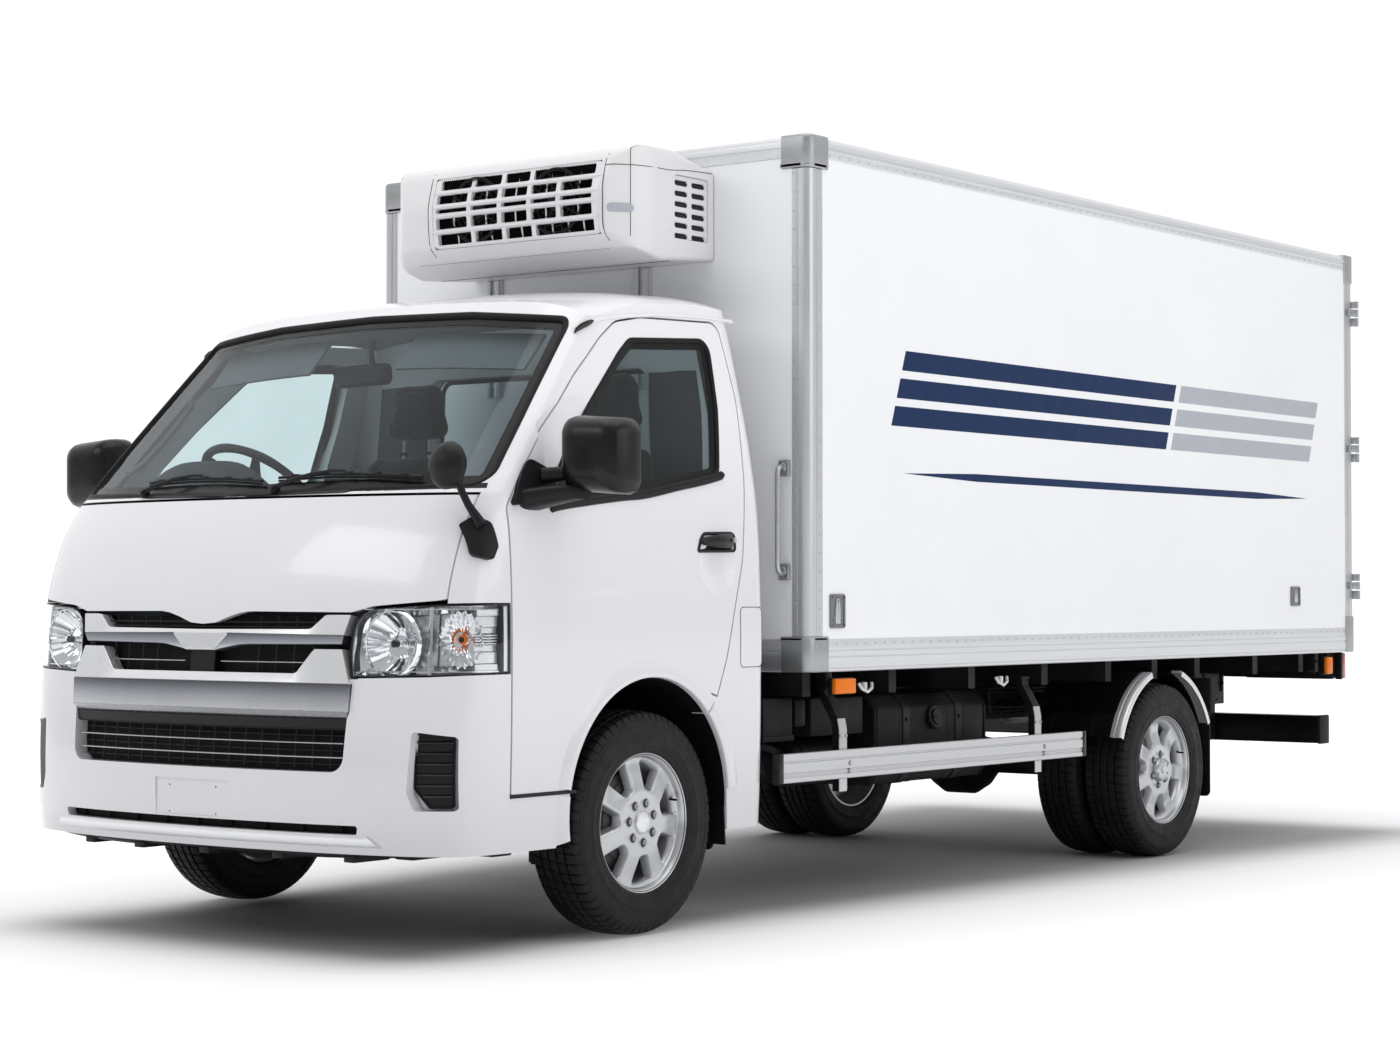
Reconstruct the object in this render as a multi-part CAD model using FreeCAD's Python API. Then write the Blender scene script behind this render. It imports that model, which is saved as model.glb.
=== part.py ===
import FreeCAD, Part
import math
import os

V = FreeCAD.Vector
os.makedirs("parts", exist_ok=True)

# ---------------------------------------------------------------- driving dimensions (mm)
# Working frame: +X is the truck's left, -Y its front, +Z up, ground at z = 0,
# y = 0 a little ahead of the front axle. Everything is shifted by -Y_MID at export, so that the
# finished truck's origin is on the ground under the middle of its bounding box.
Y_MID = 2072.0
AXLE_Y = 38.0             # the front axle line stands a little behind the working origin
WHEELBASE = 3345.0        # from y = 0, so the axles are 3307 mm apart
TYRE_R = 345.0            # 195 mm wide tyre on a 15 inch rim
TYRE_W = 195.0
RIM_R = 200.0
AXLE_Z = 345.0
FRONT_WHEEL_X = 827.5     # centre plane of the front wheels
REAR_OUT_X = 860.0        # centre planes of the twin rear wheels
REAR_IN_X = 642.0
KING_X = 765.0            # steering axis
STEER_DEG = 33.0
BOX_HW = 965.0            # load box half width
BOX_Y0, BOX_Y1 = 846.0, 5105.0
BOX_Z0, BOX_Z1 = 787.0, 2566.0
WALL = 62.0
CAB_T = 60.0              # cab wall and door thickness
GAP = 5.0
DOOR_HX, DOOR_HY = 946.0, -607.0     # cab door hinge axis
HOOD_HY, HOOD_HZ = -806.0, 1333.0    # front lid hinge axis
RDOOR_HX, RDOOR_HY = 985.0, 5119.0   # rear door hinge axis


# ---------------------------------------------------------------- helpers
def bx(x0, x1, y0, y1, z0, z1):
    return Part.makeBox(x1 - x0, y1 - y0, z1 - z0, V(x0, y0, z0))


def cyl(r, p0, p1):
    p0, p1 = V(*p0), V(*p1)
    d = p1 - p0
    return Part.makeCylinder(r, d.Length, p0, d)


def fuse(shapes):
    s = shapes[0]
    return s.fuse(list(shapes[1:])) if len(shapes) > 1 else s


def mirx(s):
    return s.mirror(V(0, 0, 0), V(1, 0, 0))


def rpoly(pts, r, conv):
    """Closed outline through 2D points with corners rounded to r (number or list)."""
    n = len(pts)
    rs = r if isinstance(r, (list, tuple)) else [r] * n
    edges = []
    ends = []
    for i in range(n):
        p = FreeCAD.Vector(pts[i][0], pts[i][1], 0)
        a = FreeCAD.Vector(pts[i - 1][0], pts[i - 1][1], 0)
        b = FreeCAD.Vector(pts[(i + 1) % n][0], pts[(i + 1) % n][1], 0)
        u = (a - p)
        w = (b - p)
        lu, lw = u.Length, w.Length
        u.normalize()
        w.normalize()
        ang = u.getAngle(w)
        ri = rs[i]
        if ri <= 0 or ang > math.radians(177):
            ends.append((p, p, None))
            continue
        t = min(ri / math.tan(ang / 2), 0.45 * lu, 0.45 * lw)
        ri = t * math.tan(ang / 2)
        p1, p2 = p + u * t, p + w * t
        bis = (u + w)
        bis.normalize()
        c = p + bis * (ri / math.sin(ang / 2))
        m = c - bis * ri
        ends.append((p1, p2, m))
    for i in range(n):
        p1, p2, m = ends[i]
        if m is not None:
            edges.append(Part.Arc(conv(p1), conv(m), conv(p2)).toShape())
        q = ends[(i + 1) % n][0]
        if (q - p2).Length > 1e-6:
            edges.append(Part.LineSegment(conv(p2), conv(q)).toShape())
    return Part.Face(Part.Wire(edges))


def prism_x(pts, x0, x1, r=0):
    """Outline in the YZ plane, extruded along X."""
    f = rpoly(pts, r, lambda p: V(x0, p.x, p.y))
    return f.extrude(V(x1 - x0, 0, 0))


def prism_y(pts, y0, y1, r=0):
    """Outline in the XZ plane, extruded along Y."""
    f = rpoly(pts, r, lambda p: V(p.x, y0, p.y))
    return f.extrude(V(0, y1 - y0, 0))


def prism_z(pts, z0, z1, r=0):
    f = rpoly(pts, r, lambda p: V(p.x, p.y, z0))
    return f.extrude(V(0, 0, z1 - z0))


def rev_x(pts, xs=1.0):
    """Closed profile (x, radius) turned about the X axis."""
    w = Part.makePolygon([V(x * xs, r, 0) for x, r in pts] + [V(pts[0][0] * xs, pts[0][1], 0)])
    return Part.Face(w).revolve(V(0, 0, 0), V(1, 0, 0), 360)


def tube(path, r, bend=None):
    """Round bar along straight runs with ball-shaped corners."""
    parts = []
    for i in range(len(path) - 1):
        parts.append(cyl(r, path[i], path[i + 1]))
    for p in path[1:-1]:
        parts.append(Part.makeSphere(r, V(*p)))
    return fuse(parts)


def pipe(path, r, bend):
    """Round bar swept along straight runs joined by tangent arcs of radius bend."""
    pts = [V(*p) for p in path]
    edges, last = [], pts[0]
    for i in range(1, len(pts) - 1):
        p = pts[i]
        u, w = pts[i - 1] - p, pts[i + 1] - p
        lu, lw = u.Length, w.Length
        u.normalize()
        w.normalize()
        ang = u.getAngle(w)
        t = min(bend / math.tan(ang / 2), 0.45 * lu, 0.45 * lw)
        rr = t * math.tan(ang / 2)
        p1, p2 = p + u * t, p + w * t
        b = u + w
        b.normalize()
        m = p + b * (rr / math.sin(ang / 2) - rr)
        edges.append(Part.LineSegment(last, p1).toShape())
        edges.append(Part.Arc(p1, m, p2).toShape())
        last = p2
    edges.append(Part.LineSegment(last, pts[-1]).toShape())
    prof = Part.Wire([Part.makeCircle(r, pts[0], pts[1] - pts[0])])
    return Part.Wire(edges).makePipeShell([prof], True, False)


def table(xs, ys):
    """Smooth monotone interpolation through a table."""
    n = len(xs)
    h = [xs[i + 1] - xs[i] for i in range(n - 1)]
    d = [(ys[i + 1] - ys[i]) / h[i] for i in range(n - 1)]
    m = [d[0]] + [0.0] * (n - 2) + [d[-1]]
    for i in range(1, n - 1):
        if d[i - 1] * d[i] > 0:
            w1, w2 = 2 * h[i] + h[i - 1], h[i] + 2 * h[i - 1]
            m[i] = (w1 + w2) / (w1 / d[i - 1] + w2 / d[i])

    def f(x):
        if x <= xs[0]:
            return ys[0] + m[0] * (x - xs[0])
        if x >= xs[-1]:
            return ys[-1] + m[-1] * (x - xs[-1])
        i = max(k for k in range(n - 1) if xs[k] <= x)
        t = (x - xs[i]) / h[i]
        return ((2 * t**3 - 3 * t**2 + 1) * ys[i] + (t**3 - 2 * t**2 + t) * h[i] * m[i]
                + (-2 * t**3 + 3 * t**2) * ys[i + 1] + (t**3 - t**2) * h[i] * m[i + 1])
    return f


# ---------------------------------------------------------------- cab body surface
CAB_XS = table([300, 450, 690, 900, 1030, 1200, 1345, 1420, 1550, 1680, 1810, 1940, 2080],
               [930, 936, 941, 942, 940, 934, 923, 913, 891, 864, 835, 803, 765])
FRONT_LOW = table([300, 360, 450, 550, 690, 800, 900, 990, 1100, 1200, 1280, 1345],
                  [-958, -972, -980, -977, -965, -951, -941, -930, -906, -873, -836, -800])
FRONT_UP = table([1345, 1500, 1650, 1800, 1925, 2100], [-794, -640, -492, -343, -217, -38])
CORNER_Y = table([300, 990, 1200, 1345, 1500, 1650, 1800, 1925, 2100],
                 [-600, -598, -545, -450, -330, -215, -100, -4, 130])
REAR_Y = table([300, 1200, 1700, 2100], [657, 656, 648, 636])
ROOF_Z = table([-420, -220, -100, 0, 200, 450, 660, 760], [1858, 1950, 1985, 2003, 2026, 2035, 2016, 2000])
GUTTER_Z = table([-420, -220, -56, 160, 477, 684, 760], [1785, 1862, 1902, 1944, 1962, 1944, 1934])
FRONT_SHAPE = [(0.0, 0.0), (0.16, 0.007), (0.32, 0.028), (0.47, 0.064), (0.617, 0.121), (0.735, 0.187),
               (0.835, 0.266), (0.90, 0.340), (0.945, 0.420), (0.973, 0.51), (0.989, 0.63), (0.997, 0.79), (1.0, 1.0)]
SECTIONS = [300, 345, 400, 480, 560, 640, 720, 800, 880, 950, 1020, 1090, 1160, 1220, 1270, 1305, 1328, 1341,
            1350, 1363, 1385, 1425, 1490, 1570, 1650, 1730, 1810, 1890, 1970, 2050, 2110]


def even_params(half):
    """One parameter list shared by every section, so that their knots agree."""
    full = [(-x, y) for x, y in reversed(half[1:])] + list(half)
    t = [0.0]
    for a, b in zip(full, full[1:]):
        t.append(t[-1] + math.hypot(b[0] - a[0], b[1] - a[1]))
    return [v / t[-1] * 2.0 for v in t]


FRONT_PARAMS = even_params([(u * 900, w * 330) for u, w in FRONT_SHAPE])


def cab_section(z, inset):
    up = z > 1345
    f = FRONT_UP if up else FRONT_LOW
    slope = (f(z + 5) - f(z - 5)) / 10.0 if abs(z - 1345) > 6 else (1.0 if up else 0.5)
    yf = f(z) + inset * math.sqrt(1 + slope * slope)
    xs = CAB_XS(z) - inset * 1.02
    yc = CORNER_Y(z) + inset * 0.35
    yr = REAR_Y(z) - inset
    r = max(70 - inset, 12)
    half = [(u * xs, yf + w * (yc - yf)) for u, w in FRONT_SHAPE]
    pts = [V(-x, y, z) for x, y in reversed(half[1:])] + [V(x, y, z) for x, y in half]
    sp = Part.BSplineCurve()
    sp.interpolate(Points=pts, Parameters=FRONT_PARAMS, InitialTangent=V(0, -900, 0), FinalTangent=V(0, 900, 0), Scale=False)
    k = r * (1 - math.sqrt(0.5))
    e = [sp.toShape(),
         Part.LineSegment(V(xs, yc, z), V(xs, yr - r, z)).toShape(),
         Part.Arc(V(xs, yr - r, z), V(xs - k, yr - k, z), V(xs - r, yr, z)).toShape(),
         Part.LineSegment(V(xs - r, yr, z), V(-xs + r, yr, z)).toShape(),
         Part.Arc(V(-xs + r, yr, z), V(-xs + k, yr - k, z), V(-xs, yr - r, z)).toShape(),
         Part.LineSegment(V(-xs, yr - r, z), V(-xs, yc, z)).toShape()]
    return Part.Wire(e)


def cab_walls(inset):
    zs = [z for z in SECTIONS]
    if inset:
        zs[0] = 285
    return Part.makeLoft([cab_section(z, inset) for z in zs], True, False)


def roof_prism(drop):
    """Everything below the roof surface, as a loft of cross sections along Y."""
    wires = []
    par = None
    shape = [(0, 0), (180, 0.018), (360, 0.075), (520, 0.17), (650, 0.32), (725, 0.48), (770, 0.65), (797, 0.83), (815, 1.02)]
    for y in [-430, -340, -260, -180, -100, 0, 120, 260, 400, 540, 640, 740]:
        zr, zg = ROOF_Z(y) - drop, GUTTER_Z(y) - drop
        half = [(x * (1 - drop / 815.0), zr - (zr - zg) * s) for x, s in shape]
        half.append((half[-1][0] + 45, half[-1][1] - 95))
        half.append((half[-1][0] + 160, half[-1][1] - 330))
        pts = [V(-x, y, z) for x, z in reversed(half[1:])] + [V(x, y, z) for x, z in half]
        par = par or even_params(half)
        sp = Part.BSplineCurve()
        sp.interpolate(Points=pts, Parameters=par)
        a, b = pts[0], pts[-1]
        wires.append(Part.Wire([sp.toShape(),
                                Part.LineSegment(b, V(b.x, y, 200)).toShape(),
                                Part.LineSegment(V(b.x, y, 200), V(a.x, y, 200)).toShape(),
                                Part.LineSegment(V(a.x, y, 200), a).toShape()]))
    s = Part.makeLoft(wires, True, False)
    # in front of the header the cut is open
    front = bx(-1300, 1300, -1300, -430, 200, ROOF_Z(-430) - drop)
    return s.fuse(front)


cab_out = cab_walls(0).common(roof_prism(0))
cab_in = cab_walls(CAB_T).common(roof_prism(38))
shell = cab_out.cut(cab_in)

# ---- outlines on the cab side (Y, Z)
DOOR = [(-607, 468), (-607, 1297), (-533, 1392), (-409, 1530), (-228, 1705), (-75, 1830), (14, 1886),
        (147, 1909), (545, 1922), (572, 1674), (551, 1413), (514, 1155), (470, 1010), (425, 850), (374, 727), (250, 760), (30, 780), (-180, 690), (-300, 468)]
DOOR_R = [4, 60, 200, 300, 300, 200, 120, 120, 45, 300, 300, 200, 200, 200, 4, 0, 0, 0, 0]
SIDE_WIN = [(-462, 1296), (-321, 1478), (-176, 1626), (2, 1786), (70, 1836), (478, 1862), (462, 1640), (417, 1424), (34, 1360)]
SIDE_WIN_R = [40, 250, 300, 200, 60, 42, 200, 40, 300]


def grow(pts, d):
    """Offset a closed outline outwards by d."""
    n = len(pts)
    area = sum(pts[i][0] * pts[(i + 1) % n][1] - pts[(i + 1) % n][0] * pts[i][1] for i in range(n))
    s = -1.0 if area > 0 else 1.0
    out = []
    for i in range(n):
        x0, y0 = pts[i - 1]
        x1, y1 = pts[i]
        x2, y2 = pts[(i + 1) % n]
        a = math.hypot(x1 - x0, y1 - y0)
        b = math.hypot(x2 - x1, y2 - y1)
        n1 = (-(y1 - y0) / a * s, (x1 - x0) / a * s)
        n2 = (-(y2 - y1) / b * s, (x2 - x1) / b * s)
        k = 1 + n1[0] * n2[0] + n1[1] * n2[1]
        out.append((x1 + d * (n1[0] + n2[0]) / k, y1 + d * (n1[1] + n2[1]) / k))
    return out


# ---- wheel arch
ARCH_C = (43.0, 400.0)
ARCH_R = 390.0
arch = cyl(ARCH_R, (480, *ARCH_C), (1100, *ARCH_C)).fuse(
    prism_x([(-343, 440), (-408, 280), (442, 280), (431, 440)], 480, 1100))
arch = arch.fuse(mirx(arch))
shell = shell.cut(arch)

# ---- front outlines (X, Z), seen from the front
WIND = [(-868, 1366), (0, 1350), (868, 1366), (836, 1560), (782, 1860), (765, 1886), (420, 1916), (0, 1926), (-420, 1916), (-765, 1886), (-782, 1860), (-836, 1560)]
WIND_R = [40, 2000, 40, 900, 60, 60, 900, 1500, 900, 60, 60, 900]
# the lid's lower edge dips in the middle
HOOD_HALF = [(0, 957), (52, 961), (108, 979), (150, 990), (190, 995), (572, 993), (612, 1003), (645, 1011), (840, 1027), (862, 1031), (862, 1230), (862, 1332)]
HOOD = [(-x, z) for x, z in reversed(HOOD_HALF[1:])] + HOOD_HALF
GRILLE = [(577, 984), (575, 940), (573, 899), (580, 801), (592, 786), (590, 706), (583, 688), (-583, 688), (-590, 706), (-592, 786), (-580, 801), (-573, 899), (-575, 940), (-577, 984)]
HEAD = [(588, 806), (579, 860), (580, 899), (586, 950), (604, 980), (645, 1001), (836, 1015), (960, 1018), (960, 819), (829, 812)]
LOWGR = [(-586, 692), (586, 692), (578, 534), (-578, 534)]
FOG = [(790, 655), (905, 640), (905, 430), (800, 430), (780, 480)]
SLOT = [(-628, 383), (628, 383), (622, 357), (-622, 357)]
front_half = bx(-1100, 1100, -1100, -350, 200, 2200)
FRONT_SPLIT_Y = -613.0
nose = bx(-1100, 1100, -1100, FRONT_SPLIT_Y, 200, 1400)

wind_cut = prism_y(WIND, -1100, 60, WIND_R)
hood = shell.common(prism_y(HOOD, -1100, -560, 0)).common(nose)
# the lid is a thinner double skin, so that it swings clear of what is behind it
hood = hood.cut(cab_walls(28))
hood_cut = prism_y(grow(HOOD, GAP), -1100, -560, 0)
grille = shell.common(prism_y(GRILLE, -1100, -800, 0)).cut(hood_cut)
grille_cut = prism_y(grow(GRILLE, 2), -1100, -800, 0)
head = shell.common(prism_y(HEAD, -1100, FRONT_SPLIT_Y - 4, 0))
head = head.fuse(mirx(head))
head_cut = prism_y(grow(HEAD, 3), -1100, FRONT_SPLIT_Y - 1, 0)
head_cut = head_cut.fuse(mirx(head_cut))
# open joint between lamp and grille
lamp_gap = prism_y([(556, 1002), (612, 1002), (612, 801), (556, 801)], -1100, -700, 0)
lamp_gap = lamp_gap.fuse(mirx(lamp_gap))

# bumper: the front of the shell below the lamps, wrapped round to the doors
bump_zone = bx(-1100, 1100, -1100, FRONT_SPLIT_Y, 290, 800)
bumper = shell.common(bump_zone).cut(grille_cut).cut(head_cut)
bumper = bumper.cut(prism_y(LOWGR, -1100, -850, [4, 4, 45, 45]))
bumper = bumper.cut(prism_y(SLOT, -1100, -850, 8))
fog_back = cab_walls(38)
fogs = prism_y(FOG, -1100, -650, 12)
fogs = fogs.fuse(mirx(fogs)).cut(fog_back)
bumper = bumper.cut(fogs)
# flat number-plate seat with four fixing holes
bumper = bumper.cut(bx(-158, 158, -1100, -972, 389, 497))
for hx in (-100, 100):
    for hz in (396, 476):
        bumper = bumper.cut(cyl(3.5, (hx, -1000, hz), (hx, -850, hz)))

cab = shell.cut(wind_cut).cut(hood_cut).cut(grille_cut).cut(head_cut).cut(lamp_gap)
# wider joint above the lid, and no thin strip between lid and lamp
cab = cab.cut(bx(-867, 867, -1100, -600, 1330, 1340))
cab = cab.cut(bx(600, 867, -1100, -600, 1000, 1033)).cut(bx(-867, -600, -1100, -600, 1000, 1033))
# the rear wall ends at the floor platform, above the chassis
cab = cab.cut(bx(-866, 866, 540, 720, 240, 838))
cab = cab.cut(bx(-1100, 1100, -1100, FRONT_SPLIT_Y + 0.0, 290, 800))
door_prism = prism_x(DOOR, 600, 1100, DOOR_R)
door_gap = prism_x(grow(DOOR, 6), 600, 1100, DOOR_R)
win_prism = prism_x(SIDE_WIN, 600, 1100, SIDE_WIN_R)
door_l = shell.common(door_prism).cut(bx(0, 1100, -1100, -606, 200, 1400)).cut(win_prism)
# shallow round scoop under the outside handle
door_l = door_l.cut(Part.makeSphere(308, V(936.3 + 308 - 15, 385, 1150)))
cab = cab.cut(door_gap).cut(mirx(door_gap))
REAR_WIN = [(-500, 1440), (500, 1440), (490, 1800), (-490, 1800)]
rear_win_prism = prism_y(REAR_WIN, 560, 760, 50)
cab = cab.cut(rear_win_prism)

# glass, as thin curved panes in the middle of the wall
pane = cab_walls(10).cut(cab_walls(15))
windscreen = pane.common(prism_y(WIND, -1100, 60, WIND_R))
side_glass = pane.common(win_prism)
rear_glass = pane.common(prism_y(REAR_WIN, 600, 700, 50))

# cab floor: low foot space in front, high platform over the wheels and the engine
floor_pts = [(-800, 500), (-425, 500), (-425, 838), (594, 838), (594, 880), (-465, 880), (-465, 540), (-800, 540)]
floor_in = cab_walls(CAB_T + 2)
floor = prism_x(floor_pts, -905, 905).common(floor_in)
liner = []
for s in (1, -1):
    a, b = (500, 520) if s > 0 else (-520, -500)
    liner.append(bx(a, b, -425, 460, 330, 838))
    liner[-1] = liner[-1].cut(bx(min(s * 490, s * 530), max(s * 490, s * 530), -90, 90, 320, 500))
    a, b = (520, 862) if s > 0 else (-862, -520)
    liner.append(bx(a, b, 440, 460, 330, 838))
    a, b = (500, 868) if s > 0 else (-868, -500)
    liner.append(bx(a, b, -445, -425, 330, 500))
floor = fuse([floor] + liner)
print("cab solids", len(cab.Solids), [round(s.Volume / 1e6) for s in cab.Solids])

out = {}
# cab mounts reach from the floor down to the chassis rails
mounts = [bx(s * 343 - 35, s * 343 + 35, y - 35, y + 35, z0, z1) for s in (1, -1) for y, z0, z1 in ((-640, 472, 500), (560, 706, 838))]
cab_sol = sorted(cab.Solids, key=lambda q: -q.Volume)
out["cab_shell"] = cab_sol[0]
out["sill_panels"] = Part.makeCompound([q for q in cab_sol[1:] if q.Volume > 1e6])
out["cab_floor"] = fuse([floor] + mounts)
out["hood"] = hood
out["grille"] = grille
out["headlamps"] = head
out["front_bumper"] = bumper
out["cab_glass"] = Part.makeCompound([windscreen, rear_glass])
out["door_left"] = door_l
out["door_right"] = mirx(door_l)
out["door_glass_left"] = side_glass
out["door_glass_right"] = mirx(side_glass)

# ---------------------------------------------------------------- mirrors
def side_mirror():
    head_pts = [(1000, 1560), (1040, 1572), (1180, 1556), (1206, 1530), (1208, 1380), (1190, 1345), (1010, 1338), (985, 1380), (980, 1520)]
    h = prism_y(head_pts, -478, -345, [30, 60, 40, 30, 40, 30, 30, 40, 40])
    arm = prism_z([(915, -560), (1000, -455), (1000, -380), (915, -430)], 1345, 1400, 8)
    foot = prism_x([(-590, 1305), (-560, 1312), (-400, 1330), (-395, 1362), (-520, 1440), (-590, 1345)], 905, 955, 10)
    return fuse([h, arm, foot]).cut(cab_out)


mir = side_mirror()
out["mirror_left"] = mir
out["mirror_right"] = mirx(mir)
um = fuse([Part.makeSphere(70, V(850, -771, 1412)).common(bx(700, 1000, -900, -771, 1300, 1500)),
           cyl(70, (850, -771, 1412), (850, -757, 1412)),
           tube([(850, -757, 1400), (862, -738, 1345), (925, -706, 1232)], 11),
           prism_x([(-735, 1150), (-680, 1150), (-668, 1245), (-705, 1262), (-728, 1240)], 900, 968, 12)]).cut(cab_out)
out["under_mirror"] = max(um.Solids, key=lambda s: s.Volume)

# ---------------------------------------------------------------- cab inside
dash = prism_x([(-760, 1080), (-715, 1330), (-560, 1325), (-470, 1270), (-440, 1150), (-520, 1010), (-620, 980)], -850, 850, 30).common(cab_walls(74))
out["dashboard"] = dash
SW_X = -400.0
sw_c = V(SW_X, -330, 1400)
sw_n = V(0, 0.62, 0.785)
ring = Part.makeTorus(185, 14, sw_c, sw_n)
hub = Part.makeCylinder(55, 34, sw_c - sw_n * 40, sw_n)
spk = []
for a in (90, 210, 330):
    e1 = V(1, 0, 0)
    e2 = sw_n.cross(e1)
    d = e1 * math.cos(math.radians(a)) + e2 * math.sin(math.radians(a))
    p0, p1 = sw_c - sw_n * 22 + d * 40, sw_c + d * 185
    spk.append(cyl(11, (p0.x, p0.y, p0.z), (p1.x, p1.y, p1.z)))
col_end = sw_c - sw_n * 235
col = cyl(26, (col_end.x, col_end.y, col_end.z), (sw_c.x - sw_n.x * 35, sw_c.y - sw_n.y * 35, sw_c.z - sw_n.z * 35))
out["steering_wheel"] = fuse([ring, hub, col] + spk).cut(dash)


def seat(xc, w):
    cushion = prism_x([(-190, 905), (-205, 1035), (-150, 1062), (300, 1030), (330, 960), (310, 905)], xc - w / 2, xc + w / 2, 30)
    back = prism_x([(235, 1000), (385, 1510), (415, 1545), (492, 1535), (500, 1475), (345, 985)], xc - w / 2 + 15, xc + w / 2 - 15, 25)
    head = prism_x([(415, 1575), (430, 1765), (468, 1790), (520, 1752), (512, 1575)], xc - 130, xc + 130, 25)
    posts = [cyl(7, (xc + s * 60, 456, 1520), (xc + s * 60, 464, 1600)) for s in (1, -1)]
    base = bx(xc - w / 2 + 60, xc + w / 2 - 60, -150, 260, 880, 930)
    return fuse([cushion, back, head, base] + posts)


out["seats"] = Part.makeCompound([seat(-430, 500), seat(430, 500)])
wip = []
for px, sx in ((-430, 1), (180, 1)):
    p0 = V(px, 0, 0)
    for (xa, za), (xb, zb) in (((px, 1362), (px + 420, 1392)), ((px + 70, 1384), (px + 560, 1400))):
        def on(x, z, off):
            u = abs(x) / CAB_XS(z)
            k = max(i for i in range(len(FRONT_SHAPE) - 1) if FRONT_SHAPE[i][0] <= u)
            (u0, w0), (u1, w1) = FRONT_SHAPE[k], FRONT_SHAPE[k + 1]
            w = w0 + (w1 - w0) * (u - u0) / (u1 - u0)
            yf = FRONT_UP(z)
            return (x, yf + w * (CORNER_Y(z) - yf) - off, z)
        wip.append(tube([on(xa, za, 26), on((xa + xb) / 2, (za + zb) / 2, 24), on(xb, zb, 24)], 8))
    wip.append(cyl(20, on(px, 1352, 34), on(px, 1352, -4)))
wipers = fuse(wip).cut(cab_out)
out["wipers"] = Part.makeCompound([s for s in wipers.Solids if s.Volume > 3000])

# ---------------------------------------------------------------- chassis
def rail(x0, x1):
    return prism_x([(-850, 385), (-480, 385), (430, 385), (640, 545), (5000, 545), (5000, 705), (560, 705), (350, 530), (60, 472), (-850, 472)], x0, x1, [0, 0, 60, 60, 0, 0, 60, 60, 60, 0])


ch = [rail(308, 378), rail(-378, -308)]
for y, z0, z1 in ((-840, 390, 465), (-420, 390, 460), (760, 618, 690), (1450, 570, 680), (2150, 570, 680), (2680, 570, 690), (4120, 570, 690), (4930, 560, 690)):
    ch.append(bx(-310, 310, y, y + 60, z0, z1))
out["chassis_rails"] = Part.makeCompound(ch[:2])
out["cross_members"] = Part.makeCompound([c.cut(ch[0]).cut(ch[1]) for c in ch[2:]])
sub = []
for y in (900, 1420, 1940, 2460, 2950, 3330, 3698, 4230, 4680, 4975):
    sub.append(bx(-900, 900, y, y + 45, 705, 787))
out["box_subframe"] = Part.makeCompound(sub)
out["engine_block"] = bx(-240, 240, -330, 400, 476, 800).cut(fuse([bx(-400, 400, -430, -355, 380, 480)]))
prop = fuse([cyl(38, (0, 380, 602), (0, 1480, 500)), cyl(38, (0, 1480, 500), (0, 3250, 345)),
             Part.makeSphere(52, V(0, 1480, 500)), bx(-70, 70, 1466, 1496, 500, 570)])
out["propshaft"] = prop.common(bx(-200, 200, 401, WHEELBASE - 171, 200, 800))
fax = [bx(-560, 560, -60, 60, 262, 330), bx(-378, -308, -50, 50, 325, 385), bx(308, 378, -50, 50, 325, 385)]
for s in (1, -1):
    fax.append(prism_z([(s * 540, -110), (s * 790, -22), (s * 790, 22), (s * 540, 110)], 205, 232, 12))
    fax.append(bx(min(s * 500, s * 565), max(s * 500, s * 565), -60, 60, 205, 262))
    fax.append(prism_z([(s * 450, -46), (s * 790, -20), (s * 790, 20), (s * 450, 46)], 462, 482, 12))
    fax.append(bx(min(s * 378, s * 460), max(s * 378, s * 460), -50, 50, 440, 482))
    fax.append(cyl(24, (s * 610, 0, 225), (s * 610, 0, 470)))
fax = fuse(fax)
fax.translate(V(0, AXLE_Y, 0))
out["front_axle"] = fax


def knuckle(s):
    k = [cyl(26, (s * KING_X, 0, 238), (s * KING_X, 0, 456)),
         cyl(34, (s * (KING_X - 5), 0, AXLE_Z), (s * (KING_X + 55), 0, AXLE_Z)),
         cyl(17, (s * (KING_X + 30), 0, AXLE_Z), (s * (KING_X + 100), 0, AXLE_Z)),
         bx(min(s * 700, s * 770), max(s * 700, s * 770), -25, 25, 320, 370),
         bx(min(s * 690, s * 712), max(s * 690, s * 712), 0, 120, 330, 350)]
    k = fuse(k)
    k.translate(V(0, AXLE_Y, 0))
    return k


out["knuckle_left"] = knuckle(1)
out["knuckle_right"] = knuckle(-1)

# tyre: profile (x across, r), bulged sidewalls and rounded shoulders
TY = [(-77.4, 204.5), (-79.4, 216.8), (-92, 218), (-97.5, 262), (-96, 300), (-88, 326), (-74, 339), (-40, 344), (0, 345), (40, 344), (74, 339), (88, 326), (96, 300), (97.5, 262), (92, 218), (79.4, 216.8), (77.4, 204.5), (70, 203.4), (-70, 203.4)]


def tyre(xc):
    t = rev_x(TY)
    t.translate(V(xc, 0, AXLE_Z))
    return t


def rim(xc, s, dish, bore, edge):
    """Barrel with a spoked disc; s = outward side, dish = disc plane from the centre."""
    barrel = rev_x([(-86, 205), (-86, 216), (-80, 216), (-78, 203), (-60, 197), (-40, 180), (40, 180), (60, 197), (78, 203), (80, 216), (86, 216), (86, 205), (66, 192), (44, 174), (-44, 174), (-66, 192)], s)
    d = dish
    disc = rev_x([(d - 4, bore), (d + 16, bore), (d + 16, 70), (d + 20, 95), (d + 12, 150), (d + 2, edge), (d - 8, edge), (d, 150), (d + 6, 95), (d - 4, 70)], s)
    win = []
    for i in range(7):
        a = 2 * math.pi * i / 7
        w = rpoly([(112, -22), (160, -40), (160, 40), (112, 22)], 12, lambda p: V(s * (d - 30), p.x, p.y)).extrude(V(s * 80, 0, 0))
        w.rotate(V(0, 0, 0), V(1, 0, 0), math.degrees(a) + 90)
        win.append(w)
    disc = disc.cut(fuse(win))
    r = barrel.fuse(disc)
    r.translate(V(s * abs(xc), 0, AXLE_Z))
    return r


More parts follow.
